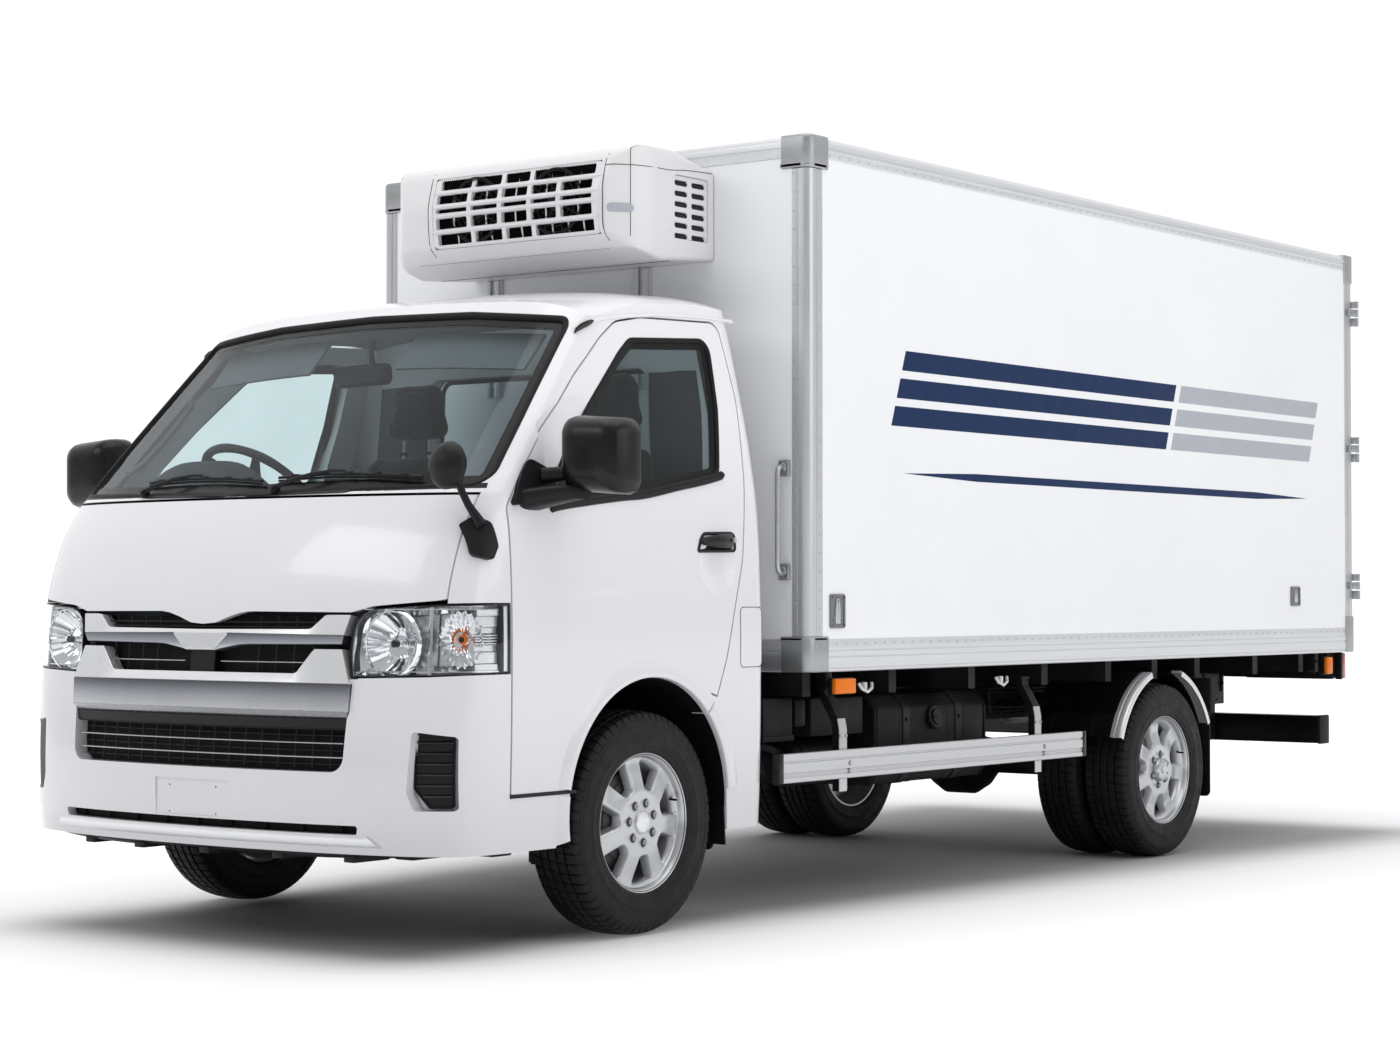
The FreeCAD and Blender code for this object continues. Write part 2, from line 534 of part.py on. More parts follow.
for s, side in ((1, "left"), (-1, "right")):
    ft = tyre(s * FRONT_WHEEL_X)
    ft.translate(V(0, AXLE_Y, 0))
    out["front_tyre_" + side] = ft
    hub = fuse([cyl(60, (s * 828, 0, AXLE_Z), (s * 896, 0, AXLE_Z)).cut(cyl(17.3, (s * 820, 0, AXLE_Z), (s * 868, 0, AXLE_Z))),
                cyl(32, (s * 890, 0, AXLE_Z), (s * 912, 0, AXLE_Z))])
    fr = rim(s * FRONT_WHEEL_X, s, 58, 20, 188).fuse(hub)
    fr.translate(V(0, AXLE_Y, 0))
    out["front_rim_" + side] = fr
    yr = WHEELBASE
    t1, t2 = tyre(s * REAR_OUT_X), tyre(s * REAR_IN_X)
    tt = Part.makeCompound([t1, t2])
    tt.translate(V(0, yr, 0))
    out["rear_tyres_" + side] = tt
    r1 = rim(s * REAR_OUT_X, s, 40, 20, 177)
    r2 = rim(s * REAR_IN_X, s, 40, 31, 177)
    hub = fuse([cyl(58, (s * 640, 0, AXLE_Z), (s * 902, 0, AXLE_Z)).cut(cyl(30.5, (s * 630, 0, AXLE_Z), (s * 760, 0, AXLE_Z))),
                cyl(44, (s * 900, 0, AXLE_Z), (s * 943, 0, AXLE_Z))])
    rr = fuse([r1, r2, hub])
    rr.translate(V(0, yr, 0))
    out["rear_rims_" + side] = rr

casing = rev_x([(-750, 0), (-750, 30), (-560, 30), (-560, 42), (-170, 42), (-115, 100), (-60, 132), (60, 132), (115, 100), (170, 42), (560, 42), (560, 30), (750, 30), (750, 0)])
casing.translate(V(0, WHEELBASE, AXLE_Z))
rax = [casing,
       cyl(55, (0, WHEELBASE - 170, AXLE_Z), (0, WHEELBASE, AXLE_Z))]
for s in (1, -1):
    x0, x1 = s * 343 - 32, s * 343 + 32
    top, low = [], []
    n = 10
    for k in range(n + 1):
        y = -660 + 1320 * k / n
        z = 448 + 70 * (y / 660.0) ** 2
        top.append((WHEELBASE + y, z))
    # four leaves, each shorter than the one above
    steps = [(660, 11), (560, 11), (560, 22), (430, 22), (430, 33), (300, 33), (300, 44)]
    under = [(y, d) for y, d in steps] + [(-y, d) for y, d in reversed(steps)]
    low = [(WHEELBASE + y, 448 + 70 * (y / 660.0) ** 2 - d) for y, d in under]
    rax.append(prism_x(top + low, x0, x1))
    rax.append(bx(x0 - 8, x1 + 8, WHEELBASE - 60, WHEELBASE + 60, 370, 460))
    for y in (WHEELBASE - 640, WHEELBASE + 640):
        rax.append(bx(x0 + 4, x1 - 4, y - 18, y + 18, 490, 545))
out["rear_axle"] = fuse(rax)

# tanks and boxes hung on the rails
out["fuel_tank"] = prism_y([(400, 372), (760, 372), (790, 420), (790, 640), (740, 690), (400, 690)], 1500, 2250, 40).fuse(
    [bx(378, 402, 1600, 1640, 560, 690), bx(378, 402, 2110, 2150, 560, 690)])
out["battery_box"] = fuse([prism_y([(-400, 400), (-800, 400), (-800, 680), (-400, 680)], 960, 1440, 20), bx(-402, -378, 1010, 1060, 560, 680), bx(-402, -378, 1340, 1390, 560, 680)])
pipe_run = pipe([(-200, 404, 520), (-200, 900, 470), (-200, 2800, 470), (-200, 3010, 640), (-200, 3700, 640), (-200, 4050, 500), (-200, 4560, 500)], 28, 110)
out["exhaust"] = fuse([pipe_run, cyl(85, (-200, 1600, 470), (-200, 2350, 470)), bx(-307, -180, 1900, 1930, 540, 575), bx(-307, -180, 4400, 4430, 515, 560)])

# side guards: one aluminium rail a side on two bent stays
guards = []
for s in (1, -1):
    def X(a, b):
        return (min(s * a, s * b), max(s * a, s * b))
    a, b = X(938, 965)
    guards.append(bx(a, b, 676, 2681, 430, 525))
    for y in (1062, 2348):
        st = prism_y([(s * 938, 380), (s * 906, 380), (s * 906, 600), (s * 850, 690), (s * 850, 738), (s * 880, 738), (s * 882, 700), (s * 938, 612)], y, y + 46)
        guards.append(st)
g = fuse(guards)
out["side_guards"] = g.cut(out["fuel_tank"]) if g.common(out["fuel_tank"]).Volume > 1 else g

# rear fenders: half hoops over each pair of rear wheels
fen = []
for s in (1, -1):
    c = (WHEELBASE, 345)
    o = cyl(412, (s * 545, *c), (s * 962, *c)).cut(cyl(400, (s * 500, *c), (s * 1000, *c)))
    lip = cyl(412, (s * 950, *c), (s * 962, *c)).cut(cyl(385, (s * 940, *c), (s * 980, *c)))
    f = o.fuse(lip).common(prism_x([(2700, 480), (2700, 736), (4000, 736), (4000, 520), (3700, 520), (3345, 520), (3000, 480)], -1000, 1000))
    f = f.fuse([bx(min(s * 378, s * 560), max(s * 378, s * 560), WHEELBASE + yy, WHEELBASE + yy + 30, 600, 625) for yy in (-345, 315)])
    fen.append(f)
fen = Part.makeCompound(fen)
out["rear_fenders"] = fen
flaps = []
for s in (1, -1):
    a, b = min(s * 560, s * 945), max(s * 560, s * 945)
    flaps.append(bx(a, b, 3742, 3752, 215, 560).fuse(bx(a, b, 3752, 3790, 530, 736)).cut(fen))
    a, b = min(s * 600, s * 858), max(s * 600, s * 858)
    flaps.append(bx(a, b, 460, 470, 226, 560))
fl = Part.makeCompound([max(f.Solids, key=lambda q: q.Volume) for f in flaps])
out["mudflaps"] = fl
# underrun bar and its two hangers
out["rear_underrun_bar"] = fuse([bx(-900, 900, 4900, 4990, 382, 505)] + [bx(s * 343 - 40, s * 343 + 40, 4850, 4898, 382, 700).cut(bx(s * 343 - 36, s * 343 + 36, 4800, 4999, 545, 705)) for s in (1, -1)] +
                                [bx(s * 343 - 40, s * 343 + 40, 4890, 4910, 400, 500) for s in (1, -1)])
tl = []
for s in (1, -1):
    tl.append(bx(min(s * 480, s * 800), max(s * 480, s * 800), 5020, 5052, 668, 738))
    tl.append(bx(min(s * 640, s * 935), max(s * 640, s * 935), 5052, 5100, 664, 786))
tl.append(bx(-480, 480, 5022, 5040, 664, 736))
out["tail_lamps"] = fuse(tl)

# ---------------------------------------------------------------- load box
P = 3.0
x1 = BOX_HW
zt, zb = BOX_Z1, BOX_Z0
side = bx(x1 - WALL, x1 - P, BOX_Y0 + 82, BOX_Y1 - 72, zb + 110, zt - 72)
front_wall = bx(-x1 + 70, x1 - 70, BOX_Y0 + P, BOX_Y0 + WALL, zb + 110, zt - 72)
out["box_walls"] = Part.makeCompound([side, mirx(side), front_wall])
box_roof = bx(-x1 + WALL, x1 - WALL, BOX_Y0 + WALL, BOX_Y1 - 72, zt - WALL, zt - P)
floor_box = bx(-x1 + WALL, x1 - WALL, BOX_Y0 + WALL, BOX_Y1 - 66, zb, zb + 105)
frame = []
for s in (1, -1):
    # front posts with a rounded outer corner
    frame.append(prism_z([(s * (x1 - 70), BOX_Y0), (s * x1, BOX_Y0), (s * x1, BOX_Y0 + 82), (s * (x1 - 70), BOX_Y0 + 82)], zb, zt, [0, 30, 0, 0]))
    frame.append(bx(min(s * (x1 - 62), s * x1), max(s * (x1 - 62), s * x1), BOX_Y0 + 40, BOX_Y1 - 40, zb, zb + 110))
    frame.append(prism_y([(s * (x1 - 62), zt - 72), (s * x1, zt - 72), (s * x1, zt), (s * (x1 - 62), zt)], BOX_Y0 + 40, BOX_Y1 - 40, [0, 0, 22, 0]))
    frame.append(bx(min(s * (x1 - 62), s * x1), max(s * (x1 - 62), s * x1), BOX_Y1 - 72, BOX_Y1, zb, zt))
frame.append(bx(-x1 + 40, x1 - 40, BOX_Y0, BOX_Y0 + 62, zb, zb + 110))
frame.append(prism_x([(BOX_Y0, zt - 72), (BOX_Y0, zt), (BOX_Y0 + 62, zt), (BOX_Y0 + 62, zt - 72)], -x1 + 40, x1 - 40, [0, 22, 0, 0]))
frame.append(bx(-x1 + 40, x1 - 40, BOX_Y1 - 72, BOX_Y1, zt - 72, zt))
frame.append(bx(-x1 + 40, x1 - 40, BOX_Y1 - 66, BOX_Y1, zb, zb + 105))
frame = fuse(frame)
out["box_frame"] = frame
out["box_roof"] = box_roof.cut(frame)
out["box_floor"] = floor_box.cut(frame)
# cast corner caps, 4 mm proud of the profiles
C = 4.0
caps = []
for s in (1, -1):
    for (ya, yb, za, zc) in ((BOX_Y0 - C, 956, zt - 110, zt + C), (BOX_Y0 - C, 956, zb, 905), (BOX_Y1 - 72, BOX_Y1 + C, zt - 125, zt + C), (BOX_Y1 - 72, BOX_Y1 + C, zb, 948)):
        front = ya < 2000
        o = bx(min(s * (x1 - 112 if front else x1 - 62), s * (x1 + C)), max(s * (x1 - 112 if front else x1 - 62), s * (x1 + C)), ya, yb, za, zc)
        ve = [e for e in o.Edges if abs(e.CenterOfMass.x - s * (x1 + C)) < 1 and abs(e.Vertexes[0].Z - e.Vertexes[-1].Z) > 50 and ((abs(e.CenterOfMass.y - ya) < 1) if front else False)]
        if ve:
            o = o.makeFillet(34, ve)
        core = bx(-x1 + 1, x1 - 1, BOX_Y0 + 1, BOX_Y1 - 1, zb - 10, zt - 0.0)
        o = o.cut(frame).cut(core)
        o = max(o.Solids, key=lambda q: q.Volume)
        caps.append(o)
out["corner_caps"] = Part.makeCompound(caps)

# rear doors: two insulated leaves
DZ0, DZ1 = zb + 112, zt - 78
leaf = bx(4, x1 - 68, BOX_Y1 - 62, BOX_Y1 - 3, DZ0, DZ1)
straps = []
for z in (1024, 1640, 2252):
    straps.append(bx(x1 - 240, x1 + 8, BOX_Y1 + 5.5, BOX_Y1 + 12, z, z + 113).cut(bx(x1 - 5, x1 + 50, 5000, 5200, z + 40, z + 80)))
    for za, zc in ((z, z + 38), (z + 82, z + 113)):
        straps.append(cyl(9, (RDOOR_HX, RDOOR_HY, za), (RDOOR_HX, RDOOR_HY, zc)))
        straps.append(bx(x1 - 10, RDOOR_HX, BOX_Y1 + 5.5, BOX_Y1 + 12, za, zc))
    straps.append(bx(x1 - 240, x1 - 75, BOX_Y1 - 4, BOX_Y1 + 7, z + 10, z + 103))
rod_x = 150
straps += [cyl(11, (rod_x, BOX_Y1 + 12, DZ0 + 20), (rod_x, BOX_Y1 + 12, DZ1 - 20))]
for z in (930, 1250, 1700, 2150, 2440):
    straps.append(bx(rod_x - 28, rod_x + 28, BOX_Y1 - 4, BOX_Y1 + 14, z, z + 34))
straps.append(bx(rod_x, rod_x + 200, BOX_Y1 + 8, BOX_Y1 + 17, 1330, 1358))
rd = fuse([leaf] + straps)
out["rear_door_left"] = rd
out["rear_door_right"] = mirx(rd)
# fixed halves of the rear hinges
hb = []
for s in (1, -1):
    for z in (1024, 1640, 2252):
        hb.append(fuse([cyl(9, (s * RDOOR_HX, RDOOR_HY, z + 43.5), (s * RDOOR_HX, RDOOR_HY, z + 76.5)),
                        bx(min(s * x1, s * (x1 + 16)), max(s * x1, s * (x1 + 16)), BOX_Y1 - 50, BOX_Y1 - 2, z + 43.5, z + 76.5),
                        prism_z([(s * (x1 + 2), BOX_Y1 - 20), (s * (x1 + 16), BOX_Y1 - 20), (s * (RDOOR_HX + 6), RDOOR_HY), (s * (RDOOR_HX - 6), RDOOR_HY)], z + 43.5, z + 76.5)]).cut(frame))

# ---------------------------------------------------------------- cooling unit and front wall fittings
UXR, UXL = 572.0, -510.0
cu = prism_x([(BOX_Y0, 2172), (BOX_Y0, 2470), (620, 2525), (470, 2522), (395, 2492), (362, 2370), (372, 2235), (430, 2185), (560, 2150)], UXL, UXR, [0, 0, 120, 80, 60, 200, 60, 50, 80])
# chamfered front corners in plan
for s, ux in ((1, UXR), (-1, UXL)):
    cu = cu.cut(prism_z([(ux - s * 120, 300), (ux - s * 95, 366), (ux - s * 20, 430), (ux + s * 2, 520), (ux + s * 50, 520), (ux + s * 50, 300)], 2100, 2620, [0, 0, 60, 0, 0, 0]))
# recess behind the front grille, and a shallow one behind the louvres at each end
cu = cu.cut(prism_y([(-272, 2226), (458, 2226), (462, 2470), (-268, 2482)], 300, 402, 16))
for s, ux in ((1, UXR), (-1, UXL)):
    cu = cu.cut(bx(min(ux - s * 14, ux + s * 10), max(ux - s * 14, ux + s * 10), 600, 826, 2225, 2446))
out["cooling_unit"] = cu
ur = [bx(a, b, BOX_Y0 - 14, BOX_Y0 + P, 1750, 2169.5) for a, b in ((-449, -373), (229, 305))]
# grab handle beside the corner post, with its two black brackets
gh = []
for s in (1,):
    x = s * 868
    gh.append(tube([(x, BOX_Y0 + 8, 1462), (x, BOX_Y0 - 42, 1450), (x, BOX_Y0 - 42, 1130), (x, BOX_Y0 + 8, 1118)], 9))
    for z in (1444, 1100):
        gh.append(bx(x - 22, x + 22, BOX_Y0 - 10, BOX_Y0 + P, z, z + 38))
out["front_wall_fittings"] = Part.makeCompound(ur + [fuse(gh).cut(front_wall)])
# side latch plates and front marker lamps
lp = []
for s in (1, -1):
    for ya, yb, za, zc in ((968, 1056, 932, 1046), (4471, 4560, 995, 1079)):
        lp.append(bx(min(s * (x1 - P), s * (x1 + 4)), max(s * (x1 - P), s * (x1 + 4)), ya, yb, za, zc))
out["box_hardware"] = Part.makeCompound(lp + [s for h in hb for s in h.Solids])
mk = []
for s in (1, -1):
    mk.append(bx(min(s * 880, s * 962), max(s * 880, s * 962), 1004, 1131, 709, 766).fuse(bx(min(s * 850, s * 900), max(s * 850, s * 900), 1050, 1090, 720, 786)).cut(out["box_subframe"]))
    mk.append(bx(min(s * 880, s * 958), max(s * 880, s * 958), 4850, 4912, 690, 770).fuse(bx(min(s * 850, s * 900), max(s * 850, s * 900), 4860, 4900, 700, 786)).cut(out["box_subframe"]))
out["marker_lamps"] = Part.makeCompound([m if len(m.Solids) == 1 else max(m.Solids, key=lambda q: q.Volume) for m in mk])
out["side_guards"] = out["side_guards"].cut(out["marker_lamps"])

# ---------------------------------------------------------------- export
bb = None
for name, shp in out.items():
    shp = shp.copy()
    shp.translate(V(0, -Y_MID, 0))
    sols = [s for s in shp.Solids if s.Volume > 50]
    if len(sols) != len(shp.Solids) or shp.ShapeType != "Solid":
        shp = sols[0] if len(sols) == 1 else Part.makeCompound(sols)
    shp.exportStep("parts/%s.step" % name)
    b = shp.BoundBox
    bb = b if bb is None else bb.united(b)
    print("%-20s solids %d valid %s vol %.1f L  x %.0f..%.0f y %.0f..%.0f z %.0f..%.0f" % (
        name, len(sols), shp.isValid(), shp.Volume / 1e6, b.XMin, b.XMax, b.YMin, b.YMax, b.ZMin, b.ZMax))
print("box", round(bb.XMin, 2), round(bb.XMax, 2), round(bb.YMin, 2), round(bb.YMax, 2), round(bb.ZMin, 2), round(bb.ZMax, 2), len(out), "nodes")
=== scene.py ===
import math

import bmesh
import bpy
import numpy as np
from mathutils import Matrix, Vector, noise


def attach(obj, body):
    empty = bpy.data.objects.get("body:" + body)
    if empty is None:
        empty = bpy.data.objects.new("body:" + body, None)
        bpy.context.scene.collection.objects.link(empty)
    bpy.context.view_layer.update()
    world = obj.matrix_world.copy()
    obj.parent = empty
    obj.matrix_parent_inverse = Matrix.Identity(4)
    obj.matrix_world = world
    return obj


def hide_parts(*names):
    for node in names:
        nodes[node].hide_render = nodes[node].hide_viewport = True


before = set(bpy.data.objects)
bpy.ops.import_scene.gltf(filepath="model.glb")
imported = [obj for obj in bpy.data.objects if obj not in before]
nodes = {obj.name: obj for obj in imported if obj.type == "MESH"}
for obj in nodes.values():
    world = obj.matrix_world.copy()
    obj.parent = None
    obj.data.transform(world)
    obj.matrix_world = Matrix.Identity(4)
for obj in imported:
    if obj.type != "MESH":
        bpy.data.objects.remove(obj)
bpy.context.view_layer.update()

YM = 2.072          # y of the working frame's front axle line, before the shift


def P(x, y, z):
    """Point given in millimetres from the front axle line, in metres in the row frame."""
    return Vector((x / 1000.0, y / 1000.0 - YM, z / 1000.0))


# ------------------------------------------------------------------ materials
MATS = {}


class NT:
    """Small helper that builds a node tree."""

    def __init__(self, name):
        self.m = bpy.data.materials.new(name)
        self.m.use_nodes = True
        self.t = self.m.node_tree
        self.b = self.t.nodes["Principled BSDF"]
        self.out = self.t.nodes["Material Output"]
        self._co = None
        MATS[name] = self.m

    def n(self, kind, **kw):
        node = self.t.nodes.new(kind)
        for k, v in kw.items():
            setattr(node, k, v)
        return node

    def l(self, a, b):
        self.t.links.new(a, b)

    def co(self):
        if self._co is None:
            self._co = self.n("ShaderNodeTexCoord").outputs["Object"]
        return self._co

    def mapped(self, scale=(1, 1, 1), rot=(0, 0, 0), loc=(0, 0, 0)):
        mp = self.n("ShaderNodeMapping")
        mp.inputs["Scale"].default_value = scale
        mp.inputs["Rotation"].default_value = rot
        mp.inputs["Location"].default_value = loc
        self.l(self.co(), mp.inputs["Vector"])
        return mp.outputs["Vector"]

    def noise(self, scale, detail=3.0, rough=0.5, vec=None):
        t = self.n("ShaderNodeTexNoise")
        t.inputs["Scale"].default_value = scale
        t.inputs["Detail"].default_value = detail
        t.inputs["Roughness"].default_value = rough
        self.l(vec if vec is not None else self.co(), t.inputs["Vector"])
        return t.outputs["Fac"]

    def voronoi(self, scale, vec=None, feature="F1"):
        t = self.n("ShaderNodeTexVoronoi", feature=feature)
        t.inputs["Scale"].default_value = scale
        self.l(vec if vec is not None else self.co(), t.inputs["Vector"])
        return t.outputs["Distance"]

    def ramp(self, fac, stops):
        r = self.n("ShaderNodeValToRGB")
        el = r.color_ramp.elements
        while len(el) > 1:
            el.remove(el[-1])
        el[0].position, el[0].color = stops[0][0], tuple(stops[0][1]) + (1.0,)
        for p, c in stops[1:]:
            e = el.new(p)
            e.color = tuple(c) + (1.0,)
        self.l(fac, r.inputs["Fac"])
        return r.outputs["Color"]

    def maprange(self, fac, a, b, c, d, smooth=False):
        r = self.n("ShaderNodeMapRange")
        if smooth:
            r.interpolation_type = "SMOOTHSTEP"
        for i, v in zip((1, 2, 3, 4), (a, b, c, d)):
            r.inputs[i].default_value = v
        self.l(fac, r.inputs[0])
        return r.outputs[0]

    def math(self, op, a, b=None, c=None):
        r = self.n("ShaderNodeMath", operation=op)
        for i, v in enumerate((a, b, c)):
            if v is None:
                continue
            if isinstance(v, (int, float)):
                r.inputs[i].default_value = v
            else:
                self.l(v, r.inputs[i])
        return r.outputs[0]

    def mix(self, fac, a, b):
        r = self.n("ShaderNodeMix", data_type="RGBA")
        for i, v in ((0, fac), (6, a), (7, b)):
            if isinstance(v, (int, float)):
                r.inputs[i].default_value = v
            elif isinstance(v, (tuple, list)):
                r.inputs[i].default_value = tuple(v) + (1.0,)
            else:
                self.l(v, r.inputs[i])
        return r.outputs[2]

    def bump(self, height, strength=0.2, dist=0.001, after=None):
        r = self.n("ShaderNodeBump")
        r.inputs["Strength"].default_value = strength
        r.inputs["Distance"].default_value = dist
        self.l(height, r.inputs["Height"])
        if after is not None:
            self.l(after, r.inputs["Normal"])
        return r.outputs["Normal"]

    def sep(self):
        s = self.n("ShaderNodeSeparateXYZ")
        self.l(self.co(), s.inputs[0])
        return s.outputs

    def set(self, **kw):
        for k, v in kw.items():
            sock = self.b.inputs[k.replace("_", " ")]
            if isinstance(v, (int, float)):
                sock.default_value = v
            elif isinstance(v, (tuple, list)):
                sock.default_value = tuple(v) + (1.0,) if len(v) == 3 else tuple(v)
            else:
                self.l(v, sock)
        return self


def paint(name, col, rough=0.24, coat=0.6, peel=0.05, crease=False):
    t = NT(name)
    n1 = t.noise(3.0, 4, 0.6)
    dark = tuple(c * 0.985 for c in col)
    t.set(Base_Color=t.ramp(n1, [(0.35, dark), (0.65, col)]), Roughness=t.maprange(t.noise(2.0, 2), 0.2, 0.8, rough - 0.02, rough + 0.02))
    t.b.inputs["Coat Weight"].default_value = coat
    t.b.inputs["Coat Roughness"].default_value = 0.06
    nrm = t.bump(t.noise(260.0, 1), peel, 0.0002)
    if crease:
        # pressed line along the door and the rear quarter, rising towards the rear
        x, y, z = t.sep()
        line = t.math("ADD", t.math("MULTIPLY", t.math("ADD", y, YM + 0.33), 0.082), 1.037)
        d = t.math("SUBTRACT", z, line)
        step = t.maprange(d, -0.012, 0.010, 0.0, 1.0, True)
        fade = t.maprange(t.math("ADD", y, YM), -0.40, 0.0, 0.0, 1.0, True)
        top = t.maprange(d, 0.012, 0.10, 1.0, 0.0, True)
        nrm = t.bump(t.math("MULTIPLY", t.math("MULTIPLY", step, fade), top), 0.85, 0.006, nrm)
    t.set(Normal=nrm)
    return t.m


paint("white_paint", (0.80, 0.80, 0.83), crease=True)
paint("white_plain", (0.80, 0.80, 0.83))
paint("wheel_silver", (0.53, 0.54, 0.56), 0.30, 0.4, 0.04)
MATS["wheel_silver"].node_tree.nodes["Principled BSDF"].inputs["Metallic"].default_value = 0.75
paint("unit_white", (0.72, 0.72, 0.735), 0.34, 0.25, 0.10)

# white laminate panels, with a faint waviness and fine texture
t = NT("panel_white")
t.set(Base_Color=t.ramp(t.noise(1.6, 5, 0.6), [(0.3, (0.835, 0.845, 0.87)), (0.7, (0.865, 0.872, 0.89))]),
      Roughness=t.maprange(t.noise(14.0, 3), 0.3, 0.7, 0.30, 0.40),
      Normal=t.bump(t.noise(3.0, 2), 0.25, 0.004, t.bump(t.noise(650.0, 2), 0.06, 0.0004)))
t.b.inputs["Coat Weight"].default_value = 0.15


def metal(name, col, rough, streak=(1, 1, 40), bump=0.05, met=1.0, vary=0.1):
    t = NT(name)
    v = t.mapped(streak)
    n1 = t.noise(60.0, 4, 0.6, v)
    lo = tuple(c * (1 - vary) for c in col)
    t.set(Base_Color=t.ramp(n1, [(0.3, lo), (0.7, col)]), Roughness=t.maprange(n1, 0.25, 0.75, rough - 0.05, rough + 0.08),
          Normal=t.bump(n1, bump, 0.0005))
    t.b.inputs["Metallic"].default_value = met
    return t.m


metal("aluminium", (0.72, 0.73, 0.75), 0.36, (1, 0.03, 1), 0.03, 0.75, 0.06)
metal("aluminium_v", (0.60, 0.61, 0.63), 0.36, (1, 1, 0.03), 0.04, 0.8)
metal("cap_grey", (0.40, 0.41, 0.42), 0.38, (1, 1, 1), 0.12, 0.8)
metal("steel", (0.50, 0.51, 0.52), 0.34, (1, 1, 1), 0.10, 0.9)
metal("chrome", (0.80, 0.81, 0.83), 0.09, (1, 1, 1), 0.01, 1.0, 0.04)
metal("lamp_chrome", (0.86, 0.87, 0.885), 0.07, (1, 1, 1), 0.0, 0.95, 0.03)
metal("satin_chrome", (0.42, 0.425, 0.44), 0.24, (1, 1, 30), 0.02, 0.9, 0.06)
metal("spring_steel", (0.30, 0.30, 0.31), 0.4, (1, 1, 1), 0.1, 0.8, 0.2)


def painted_reflection_metal(name, z0, z1, stops, rough):
    """Bright trim with a painted wide reflection: its tone runs with height."""
    t = NT(name)
    h = t.maprange(t.sep()[2], z0, z1, 0.0, 1.0)
    n1 = t.noise(3.0, 3)
    t.set(Base_Color=t.ramp(h, stops), Roughness=t.maprange(n1, 0.3, 0.7, rough - 0.03, rough + 0.03), Normal=t.bump(n1, 0.01, 0.0005))
    t.b.inputs["Metallic"].default_value = 0.85


def calm_metal(name, col, rough, metallic):
    """Even satin plating with only a faint drift of tone."""
    t = NT(name)
    n1 = t.noise(3.0, 3)
    t.set(Base_Color=t.ramp(n1, [(0.3, tuple(c * 0.965 for c in col)), (0.7, col)]), Roughness=t.maprange(n1, 0.3, 0.7, rough - 0.02, rough + 0.02), Normal=t.bump(n1, 0.01, 0.0005))
    t.b.inputs["Metallic"].default_value = metallic


calm_metal("lamp_satin", (0.86, 0.87, 0.885), 0.25, 0.75)
calm_metal("silver_trim", (0.78, 0.785, 0.80), 0.27, 0.6)
calm_metal("guard_metal", (0.56, 0.565, 0.58), 0.30, 0.72)
calm_metal("latch_dark", (0.20, 0.205, 0.215), 0.38, 0.6)
painted_reflection_metal("band_face", 0.706, 0.788, [(0.0, (0.74, 0.75, 0.78)), (0.45, (0.50, 0.51, 0.55)), (0.8, (0.24, 0.25, 0.28)), (1.0, (0.12, 0.125, 0.14))], 0.26)
painted_reflection_metal("bar_face", 0.880, 0.928, [(0.0, (0.60, 0.61, 0.65)), (0.45, (0.26, 0.27, 0.30)), (1.0, (0.09, 0.095, 0.11))], 0.22)
metal("floor_aluminium", (0.55, 0.56, 0.57), 0.42, (30, 1, 1), 0.12, 0.9)
metal("exhaust_steel", (0.20, 0.185, 0.17), 0.55, (1, 1, 1), 0.35, 0.7, 0.35)
metal("engine_iron", (0.10, 0.10, 0.10), 0.60, (1, 1, 1), 0.5, 0.4, 0.3)


def plastic(name, col, rough, grain=900.0, g=0.12, coat=0.0, vary=0.15, spec=0.5, rr=0.055):
    t = NT(name)
    t.b.inputs["Specular IOR Level"].default_value = spec
    n1 = t.noise(18.0, 4, 0.6)
    lo = tuple(c * (1 - vary) for c in col)
    t.set(Base_Color=t.ramp(n1, [(0.35, lo), (0.7, col)]), Roughness=t.maprange(n1, 0.3, 0.7, rough - rr, rough + rr),
          Normal=t.bump(t.voronoi(grain), g, 0.0006))
    if coat:
        t.b.inputs["Coat Weight"].default_value = coat
        t.b.inputs["Coat Roughness"].default_value = 0.05
    return t.m


plastic("black_plastic", (0.009, 0.009, 0.0105), 0.42, g=0.05, spec=0.22)
plastic("black_gloss", (0.004, 0.004, 0.005), 0.14, 500, 0.02, 0.12, spec=0.28)
plastic("black_gloss_grain", (0.0045, 0.0045, 0.0055), 0.27, 700, 0.012, 0.0, 0.04, spec=0.30, rr=0.012)
plastic("black_matt", (0.004, 0.004, 0.0045), 0.62, spec=0.12)
plastic("dark_trim", (0.020, 0.023, 0.027), 0.6, 1100.0, 0.1, spec=0.22)
plastic("grey_trim", (0.13, 0.138, 0.15), 0.6, 1100.0, 0.1)
plastic("white_trim", (0.62, 0.63, 0.645), 0.5, 1100.0, 0.12)
plastic("headliner", (0.25, 0.262, 0.275), 0.85, 1600.0, 0.12)
plastic("seal_rubber", (0.004, 0.004, 0.0045), 0.5, 700.0, 0.08, spec=0.18)
plastic("glass_border", (0.0025, 0.0025, 0.003), 0.22, 700.0, 0.01, spec=0.2)
plastic("flap_rubber", (0.006, 0.006, 0.0065), 0.6, 300.0, 0.15, 0.0, 0.3, spec=0.18)
plastic("tail_red", (0.42, 0.012, 0.008), 0.18, 260.0, 0.35, 0.7)
plastic("amber", (0.85, 0.19, 0.0), 0.25, 260.0, 0.2, 0.0, spec=0.25)
plastic("reflect_white", (0.75, 0.76, 0.78), 0.22, 260.0, 0.3, 0.6)
plastic("navy", (0.0015, 0.020, 0.085), 0.5, 900.0, 0.03, 0.0, 0.08, spec=0.16)
plastic("stripe_grey", (0.42, 0.44, 0.485), 0.42, 900.0, 0.03, 0.0, 0.06, spec=0.25)

